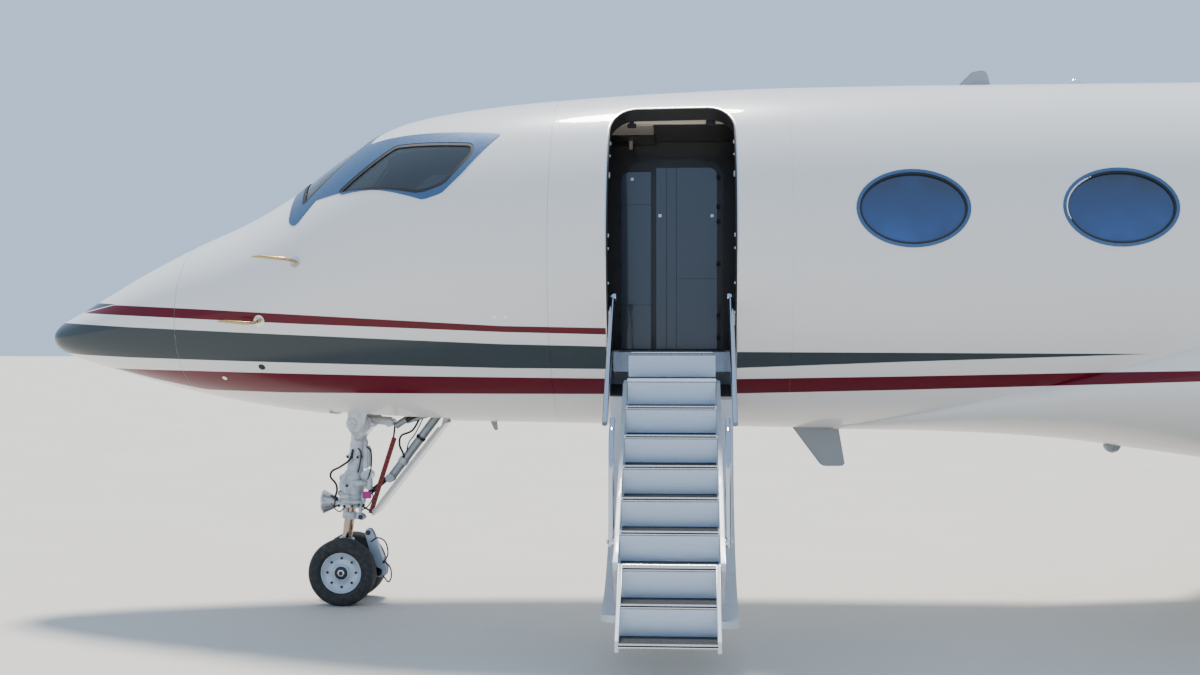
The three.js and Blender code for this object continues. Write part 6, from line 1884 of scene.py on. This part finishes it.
for side, sign in SIDES:
    place = (ENGINE_FRONT - MIDDLE, sign * ENGINE_Y, ENGINE_HEIGHT)
    along = (1, 0, 0)
    cowl = [
        (lathe([*COWL, *DUCT_LINE, COWL[0]], place, along, 96), plain_pearl),
        (lathe(LIP, place, along, 96), lip_metal),
    ]
    for start in COWL_SEAMS:
        low, high, end = 0.8, np.interp(start, *zip(*COWL)) + SEAM_PROUD, start + SEAM_WIDE
        seam = [(start, low), (start, high), (end, high), (end, low), (start, low)]
        cowl.append((lathe(seam, place, along, 96), trim_seal))
    built(f"{side}_cowl", cowl, "white_paint", f"{side}_nacelle")
    vane = radial_blade(*VANE, rows=4)
    built(f"{side}_engine_core", [
        (lathe(CORE, place, along, 64), hot_metal),
        (lathe(LINER, place, along, 96), duct_finish),
        copied(round_tree, vane, VANES, (TAU / VANES, 0, 0), duct_finish, place),
    ], "engine_metal", f"{side}_engine")
    fan_blade = radial_blade(*FAN_BLADE)
    built(f"{side}_fan_blades", [
        (lathe(SPINNER, place, along, 48), dark_steel),
        copied(round_tree, fan_blade, BLADES, (TAU / BLADES, 0, 0), blade_metal, place),
    ], "engine_metal", f"{side}_fan", body=f"{side}_fan_rotor")
    strut = loft([wing_ring((y, PYLON_LEADING, PYLON_CHORD, ENGINE_HEIGHT, PYLON_RATIO, 0.0))
                  for y in PYLON_PLACES])
    placed(f"{side}_pylon_skin", sided(strut, sign), [plain_pearl], "white_paint", f"{side}_pylon")


# Main legs
# Each is a forged cylinder with a chromed piston, an axle housing between two brake packs, scissor links,
# a side brace up to the wing spar, and a small door carried on its outer side.

CYLINDER_AXIS, PISTON_AXIS = (-0.03, 0, 1.02), (-0.075, 0, 1)
leg_foot = (14.96 - MIDDLE, MAIN_Y, 0.78)
CYLINDER = [(0, 0), (0, 0.09), (0.012, 0.1), (0.05, 0.1), (0.06, 0.092), (0.2, 0.088), (0.21, 0.097),
            (0.25, 0.097), (0.26, 0.088), (0.5, 0.086), (0.52, 0.092), (0.6, 0.092), (0.62, 0.084),
            (0.98, 0.08), (0.98, 0)]
PISTON = [(-0.33, 0), (-0.33, 0.06), (-0.26, 0.06), (-0.25, 0.052), (0.01, 0.052), (0.01, 0)]
BRAKE = [(0, 0.048), (0, 0.14), (0.008, 0.15), (0.016, 0.15), (0.018, 0.138), (0.026, 0.138), (0.028, 0.15),
         (0.05, 0.15), (0.058, 0.14), (0.058, 0.048), (0, 0.048)]
# Round bars: both ends as (station, distance outwards from the leg, height), radius, sides, finish
LEG_BARS = (
    ((15.05, -0.096, MAIN_AXLE_HEIGHT), (15.05, 0.096, MAIN_AXLE_HEIGHT), 0.074, 40, gear_paint),
    ((14.95, -0.04, 1.01), (14.95, -0.56, 1.33), 0.034, 20, gear_paint),
    ((14.95, -0.1, 1.047), (14.95, -0.16, 1.084), 0.04, 20, dark_steel),
    ((14.94, 0.04, 1.04), (14.56, 0, 1.42), 0.03, 20, brace_paint),
    ((14.89, -0.03, 1.02), (15.01, -0.03, 1.02), 0.045, 20, gear_paint),
    ((14.95, 0.04, 1.15), (14.95, 0.335, 1.15), 0.018, 20, dark_steel),
    ((14.95, 0.04, 1.15), (14.95, 0.14, 1.15), 0.026, 20, gear_paint),
    ((15.165, -0.032, 0.588), (15.165, 0.032, 0.588), 0.017, 16, dark_steel),
)
AXLE_LUG = [(14.94, 0.42), (15.08, 0.42), (15.085, 0.5), (15.04, 0.53), (14.94, 0.53)]
UPPER_LINK = [(15.0, 0.7), (15.0, 0.76), (15.03, 0.765), (15.19, 0.61), (15.19, 0.575), (15.155, 0.575)]
LOWER_LINK = [(15.155, 0.6), (15.19, 0.6), (15.19, 0.56), (15.08, 0.49), (15.03, 0.49), (15.03, 0.52)]
LEG_DOOR = rounded([(14.65, 1.0), (15.13, 1.0), (15.13, 1.48), (14.65, 1.48)], 0.05)
LEG_DOOR_PAN = rounded([(14.69, 1.04), (15.09, 1.04), (15.09, 1.44), (14.69, 1.44)], 0.04)
# Plates: outline, their two distances outwards from the leg, bevel, finish
LEG_PLATES = (
    (AXLE_LUG, -0.056, 0.056, 0.014, gear_paint),
    (LEG_DOOR, 0.336, 0.35, 0.004, plain_pearl),
    (LEG_DOOR_PAN, 0.33, 0.3365, 0.004, door_paint),
    (UPPER_LINK, -0.022, -0.01, 0.004, gear_paint),
    (UPPER_LINK, 0.01, 0.022, 0.004, gear_paint),
    (LOWER_LINK, -0.022, -0.01, 0.004, blue_steel),
    (LOWER_LINK, 0.01, 0.022, 0.004, blue_steel),
)
LEG_HOSES = (
    [(14.99, 0.09, 1.5), (15.01, 0.1, 1.2), (15.04, 0.09, 0.95), (15.1, 0.06, 0.75), (15.09, 0.08, 0.58),
     (15.05, 0.12, 0.52)],
    [(14.99, -0.09, 1.5), (15.01, -0.1, 1.2), (15.03, -0.1, 0.92), (15.08, -0.07, 0.72), (15.07, -0.09, 0.57),
     (15.05, -0.12, 0.52)],
)
BRAKE_PISTONS = 7


def leg_pipe(route, radius, sides):
    return pipe([(station, MAIN_Y + outwards, height) for station, outwards, height in route], radius, sides)


def main_leg():
    """The parts of the starboard leg."""
    parts = [(lathe(CYLINDER, leg_foot, CYLINDER_AXIS, 48), gear_paint),
             (lathe(PISTON, leg_foot, PISTON_AXIS, 40), piston_chrome)]
    parts += [(leg_pipe(ends, radius, sides), finish) for *ends, radius, sides, finish in LEG_BARS]
    parts += [(plate(outline, MAIN_Y + low, MAIN_Y + high, bevel), finish)
              for outline, low, high, bevel, finish in LEG_PLATES]
    parts += [(leg_pipe(route, 0.007, 10), hose_rubber) for route in LEG_HOSES]
    for outward in (-1, 1):
        x, y, z = MAIN_STATION - MIDDLE, MAIN_Y + outward * 0.1, MAIN_AXLE_HEIGHT
        parts.append((lathe(BRAKE, (x, y, z), (0, outward, 0), 48), dark_steel))
        plunger = stud(0.018, 0.018, 0.004, 0.014, (0, 0, 0.11), (0, -outward, 0), 12)
        parts.append(copied(round_tree, plunger, BRAKE_PISTONS, (0, TAU / BRAKE_PISTONS, 0), nosing_metal,
                            (x, y + outward * 0.002, z)))
    return parts


for side, sign in SIDES:
    whole = sided(assembled("main_leg", main_leg()), sign)
    placed(f"{side}_main_strut", whole, [], "gear_paint", f"{side}_main_leg")


# Flight deck
# A grey panel with dark displays stands under a padded glare shield, ahead of a console with two levers.

panel_grey = Finish("panel_enamel", (0.16, 0.17, 0.18), 0.45).grain(120.0, 2, depth=0.0004)
display = Finish("dark_display", (0.006, 0.008, 0.012), 0.08, coat_weight=1.0)
display.grain(3.0, 2, rough=(0.06, 0.05))
DECK = FLOOR + 0.0003
PANEL = [(2.42, DECK), (2.7, DECK), (2.68, 2.78), (2.898, 3.05), (2.858, 3.18), (2.42, 3.215)]
SHIELD = [(2.42, 3.21), (2.85, 3.175), (2.9, 3.14), (2.905, 3.155), (2.86, 3.195), (2.42, 3.23)]
DISPLAY = [(2.894, 3.062), (2.9, 3.064), (2.868, 3.166), (2.862, 3.164)]
DISPLAY_WIDTH = 0.25
built("flight_panel", [
    (plate(PANEL, -0.6, 0.6), panel_grey),
    (plate(SHIELD, -0.598, 0.598, 0.006), fascia),
    *[(plate(DISPLAY, low, low + DISPLAY_WIDTH, 0.002), display) for low in (-0.56, -0.27, 0.02, 0.31)],
], "cabinet", "instrument_panel")


# Seats
# Pale leather cushions, filled and sewn in channels, on shells that turn on floor tracks.
# Club seats face each other in pairs down the cabin, and two crew seats stand at the console.

leather = Finish("pale_leather", (0.5, 0.42, 0.31), 0.45, sheen_weight=0.15).grain(
    6.0, 3, ((0.45, 0.37, 0.27), (0.56, 0.47, 0.35))).grain(320.0, 3, depth=0.0012, rough=(0.2, 0.36))
seat_shell = Finish("seat_shell", (0.3, 0.25, 0.19), 0.5, coat_weight=0.2).grain(150.0, 2, depth=0.0006)

CUSHION_WIDTH = 0.44
# Columns: length, width and thickness, then the number of sewn channels across the length
CUSHIONS = {"base": (0.44, CUSHION_WIDTH, 0.12, 3), "back": (0.62, CUSHION_WIDTH, 0.1, 5),
            "head": (0.15, 0.3, 0.085, 0)}
CHANNEL_WIDTH, CHANNEL_DEPTH = 0.012, 0.009
EDGE_SEAM_WIDTH, EDGE_SEAM_DEPTH = 0.006, 0.004
CUSHION_SHRINK = 0.012
VOXEL = 0.014
CUSHION_PRESSURE, CUSHION_STEPS = 4.0, 20


def cushion_form(length, width, thick, cells=10):
    """A pillow before it is filled: the sides pull in between its corners and the faces are crowned."""
    work = bmesh.new()
    bmesh.ops.create_cube(work, size=2.0)
    bmesh.ops.subdivide_edges(work, edges=work.edges[:], cuts=cells, use_grid_fill=True)
    half = [size / 2 - CUSHION_SHRINK for size in (length, width, thick)]
    for vert in work.verts:
        u, v, w = vert.co
        edge = max(abs(u), abs(v))
        pull = 1 - 0.05 * (1 - v * v) * abs(u) ** 4
        pinch = 1 - 0.05 * (1 - u * u) * abs(v) ** 4
        crown = 0.55 + 0.45 * (1 - edge**4)
        soft = 1 - 0.06 * abs(w)
        vert.co = (half[0] * u * pull * soft, half[1] * v * pinch * soft, half[2] * w * crown)
    return finish_edges(work, "cushion", 80)


def filled(mesh):
    """Swells a pillow as its foam does, by a short cloth simulation."""
    form = new_object("pillow", mesh, [])
    remesh = form.modifiers.new("even", "REMESH")
    remesh.mode = "VOXEL"
    remesh.voxel_size = VOXEL
    graph = bpy.context.evaluated_depsgraph_get()
    even = bpy.data.meshes.new_from_object(form.evaluated_get(graph))
    bpy.data.objects.remove(form)
    bpy.data.meshes.remove(mesh)
    start = np.empty(len(even.vertices) * 3)
    even.vertices.foreach_get("co", start)
    pillow = new_object("pillow", even, [])
    cloth = pillow.modifiers.new("fill", "CLOTH")
    cloth.settings.use_pressure = True
    cloth.settings.uniform_pressure_force = CUSHION_PRESSURE
    cloth.settings.effector_weights.gravity = 0.0
    for step in range(1, CUSHION_STEPS + 1):
        bpy.context.scene.frame_set(step)
    graph = bpy.context.evaluated_depsgraph_get()
    swollen = bpy.data.meshes.new_from_object(pillow.evaluated_get(graph))
    end = np.empty_like(start)
    swollen.vertices.foreach_get("co", end)
    moves = (end - start).reshape(-1, 3)
    reach = np.linalg.norm(moves, axis=1, keepdims=True)
    moves *= np.minimum(1, CUSHION_SHRINK / np.maximum(reach, 1e-9))
    swollen.vertices.foreach_set("co", (start.reshape(-1, 3) + moves).reshape(-1))
    bpy.data.objects.remove(pillow)
    bpy.data.meshes.remove(even)
    bpy.context.scene.frame_set(1)
    return swollen


def sewn(mesh, length, thick, channels):
    """Draws in the channels across the top, then a seam all round the middle."""
    places = np.empty(len(mesh.vertices) * 3)
    mesh.vertices.foreach_get("co", places)
    places = places.reshape(-1, 3)
    along, across_it, up = places.T
    valleys = [(k + 1) * length / (channels + 1) - length / 2 for k in range(channels)]
    dip = sum(np.exp(-(((along - valley) / CHANNEL_WIDTH) ** 2)) for valley in valleys)
    up -= np.where(up > 0, CHANNEL_DEPTH * dip, 0)
    seam = np.exp(-((up / EDGE_SEAM_WIDTH) ** 2)) * EDGE_SEAM_DEPTH
    reach = np.hypot(along, across_it) + 1e-9
    around = (np.abs(up) < 0.3 * thick) * seam / reach
    along -= along * around
    across_it -= across_it * around
    mesh.vertices.foreach_set("co", places.reshape(-1))
    mesh.polygons.foreach_set("use_smooth", np.ones(len(mesh.polygons), bool))
    return mesh


cushions = {kind: sewn(filled(cushion_form(length, width, thick)), length, thick, channels)
            for kind, (length, width, thick, channels) in CUSHIONS.items()}
BACK_LEAN = math.radians(13.6)
BOTH_ARMS = 0.14
# Columns: how far each cushion's middle is in front of the seat's, its height, and how far it is tipped up
SEAT_PLACES = {
    "base": (0.035, 0.43, math.radians(2)),
    "back": (-0.265, 0.74, math.pi / 2 + BACK_LEAN),
    "head": (-0.335, 1.065, math.pi / 2 + BACK_LEAN),
}
ARM_SHELL = [(-0.22, 0.1), (0.18, 0.1), (0.23, 0.36), (0.2, 0.55), (-0.2, 0.56), (-0.3, 0.42)]
BACK_SHELL = [(-0.3, 0.4), (-0.43, 1.11), (-0.41, 1.12), (-0.385, 1.1), (-0.262, 0.4)]
SEAT_BASE = [(-0.16, 0.0), (0.14, 0.0), (0.14, 0.04), (0.1, 0.09), (0.17, 0.14), (0.2, 0.36), (-0.24, 0.36),
             (-0.2, 0.14), (-0.12, 0.09), (-0.16, 0.04)]


def seat(name, station, y, facing, width):
    """Cushions as their own pieces; returns the parts of the shell they sit in."""
    turn = Matrix.Translation((station - MIDDLE, y, DECK)) @ Matrix.Diagonal((facing, facing, 1, 1))
    for kind, (ahead, height, tip) in SEAT_PLACES.items():
        mesh = cushions[kind].copy()
        mesh.transform(turn @ Matrix.Translation((ahead, 0, height)) @ Matrix.Rotation(-tip, 4, "Y")
                       @ Matrix.Diagonal((1, (width - BOTH_ARMS) / CUSHION_WIDTH, 1, 1)))
        piece = placed(f"{name}_{kind}_cushion", mesh, [leather], "seat_leather")
    half = width / 2
    shells = (
        # outline, one side, the other side, bevel
        (ARM_SHELL, -half, -half + 0.06, 0.012),
        (ARM_SHELL, half - 0.06, half, 0.012),
        (BACK_SHELL, -half + 0.03, half - 0.03, 0.01),
        (SEAT_BASE, -half + 0.07, half - 0.07, 0.006),
    )
    meshes = [prism(outline, 1, low, high, bevel) for outline, low, high, bevel in shells]
    for mesh in meshes:
        mesh.transform(turn)
    return [(mesh, seat_shell) for mesh in meshes]


SEAT_STATIONS = (7.3, 8.9, 10.3, 11.9, 13.4, 15.0, 16.3)
SEAT_Y, SEAT_WIDTH = 0.71, 0.58
TRACK_START, TRACK_END, TRACK_HALF, TRACK_WIDE, TRACK_TALL = 7.1, 16.5, 0.09, 0.03, 0.04
for side, sign in SIDES:
    shells = []
    for k, station in enumerate(SEAT_STATIONS):
        shells += seat(f"{side}_seat_{k + 1}", station, sign * SEAT_Y, 1 if k % 2 else -1, SEAT_WIDTH)
    for low in (-TRACK_HALF, TRACK_HALF - TRACK_WIDE):
        start = (TRACK_START - MIDDLE, sign * SEAT_Y + low, DECK)
        end = (TRACK_END - MIDDLE, start[1] + TRACK_WIDE, DECK + TRACK_TALL)
        shells.append((block(start, end), dark_steel))
    built(f"{side}_seat_shells", shells, "seat_leather", f"{side}_cabin_seats")

CONSOLE = [(2.95, DECK), (3.5, DECK), (3.5, DECK + 0.42), (3.46, DECK + 0.47), (2.95, DECK + 0.5)]
crew = [
    (block((3.26 - MIDDLE, -0.31, DECK), (3.7 - MIDDLE, 0.31, DECK + 0.05)), dark_steel),
    (plate(CONSOLE, -0.15, 0.15, 0.008), panel_grey),
]
for side, sign in SIDES:
    crew += seat(f"{side}_crew_seat", 3.5, sign * 0.53, -1, 0.46)
    lever = [(3.12, sign * 0.03, DECK + 0.46), (3.1, sign * 0.03, DECK + 0.58)]
    crew.append((pipe(lever, 0.012, 12), dark_steel))
built("crew_seat_shells", crew, "seat_leather", "pilot_seats")
for mesh in cushions.values():
    bpy.data.meshes.remove(mesh)


# Probes, aerials and lights
# Air data probes stand off the nose, blade aerials off the crown and belly, and lamps sit in the wing tips.

brass = Finish("heated_probe_brass", (0.55, 0.38, 0.16), 0.25, 1.0).grain(60.0, 3, rough=(0.2, 0.15))
# Probes: base and tip as (station, height), then how far the tip stands off the skin
PROBES = (((2.336, 2.777), (2.03, 2.815), 0.10), ((2.036, 2.327), (1.74, 2.323), 0.10))
# Static ports: station, height, radius, finish
PORTS = ((2.006, 1.969, 0.028, dark_steel), (1.652, 1.877, 0.02, nosing_metal),
         (3.9, 2.35, 0.016, nosing_metal), (3.98, 2.35, 0.016, nosing_metal))


def skin_place(station, height, sign, lift):
    """A place on one side of the skin, and its normal."""
    angle = sign * side_angle(station, height)
    stations, angles = np.array([station]), np.array([float(angle)])
    return hull_point(stations, angles, lift)[0], hull_normal(stations, angles)[0]


small = []
for sign in (1, -1):
    for (base, base_height), (tip, tip_height), stand in PROBES:
        foot, out = skin_place(base, base_height, sign, -0.002)
        neck = foot + out * stand + np.array((-0.04, 0, 0))
        head = np.array((tip - MIDDLE, neck[1], tip_height))
        barrel = [neck + (0.02, 0, 0), neck, head + (0.06, 0, 0), head]
        small += [
            (tube([foot, foot + out * stand * 0.6, neck], [0.016, 0.012, 0.011], 16), brass),
            (tube(barrel, [0.008, 0.013, 0.011, 0.005], 16, smooth=False), brass),
            (stud(0.045, 0.004, 0.001, 0.02, foot, out, 32), nosing_metal),
        ]
    for station, height, radius, finish in PORTS:
        foot, out = skin_place(station, height, sign, -0.001)
        small.append((stud(radius, 0.0025, 0.0005, radius * 0.5, foot, out, 32), finish))
# A mid grey for the aerials and the belly dome, partly their grey enamel and partly painted shade, darkened
# as they look in the shadow under the fuselage.
aerial_shade_grey = Finish("aerial_grey_painted_shade", (0.3, 0.33, 0.36), 0.4, coat_weight=0.2).grain(60.0, 3, depth=0.0004)
# Blade aerials: outline as (station, height) and thickness
AERIALS = (
    ([(6.17, 1.49), (6.56, 1.49), (6.618, 1.155), (6.59, 1.148), (6.45, 1.147), (6.42, 1.155)], 0.028),
    ([(7.5, 4.22), (7.8, 4.22), (7.76, 4.36), (7.72, 4.375), (7.64, 4.36)], 0.02),
    ([(10.5, 4.22), (10.9, 4.22), (10.93, 4.46), (10.88, 4.475), (10.74, 4.46)], 0.024),
    ([(3.69, 1.52), (3.75, 1.52), (3.76, 1.43), (3.73, 1.43)], 0.014),
)
small += [(plate(outline, -thick / 2, thick / 2, thick * 0.4), aerial_shade_grey) for outline, thick in AERIALS]
built("probes_and_aerials", small, "white_paint")

red_lamp = Finish("red_lamp_glass", (0.5, 0.01, 0.01), 0.08, coat_weight=1.0)
green_lamp = Finish("green_lamp_glass", (0.01, 0.35, 0.08), 0.08, coat_weight=1.0)
for lamp in (red_lamp, green_lamp):
    lamp.grain(60.0, 1, depth=0.0008)
DOME = [(0, 0), (0, 0.07), (0.02, 0.068), (0.05, 0.05), (0.065, 0.02), (0.07, 0)]
TIP_LAMP = [(-0.11, 0), (-0.1, 0.012), (-0.04, 0.026), (0.04, 0.026), (0.1, 0.012), (0.11, 0)]
TIP_LAMP_Y = 14.0
BELLY_LAMP = 8.76
_, belly_middle, belly_half = fairing_section(BELLY_LAMP)
_, tip_leading, _, tip_height, _, _ = wing_at(TIP_LAMP_Y)
beacons = [
    (lathe(DOME, (8.466 - MIDDLE, 0, 4.234), (0, 0, 1), 32), lens),
    # The belly dome takes the aerials' grey, partly painted shade for the shadow under the fuselage.
    (lathe(DOME, (BELLY_LAMP - MIDDLE, 0, belly_middle - belly_half + 0.002), (0, 0, -1), 32), aerial_shade_grey),
]
for sign, finish in ((-1, red_lamp), (1, green_lamp)):
    place = (tip_leading - 0.006 - MIDDLE, sign * TIP_LAMP_Y, tip_height)
    beacons.append((lathe(TIP_LAMP, place, (0.75, sign, 0.0), 20), finish))
built("beacons_and_tip_lamps", beacons, "window_glass")


low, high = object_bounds()
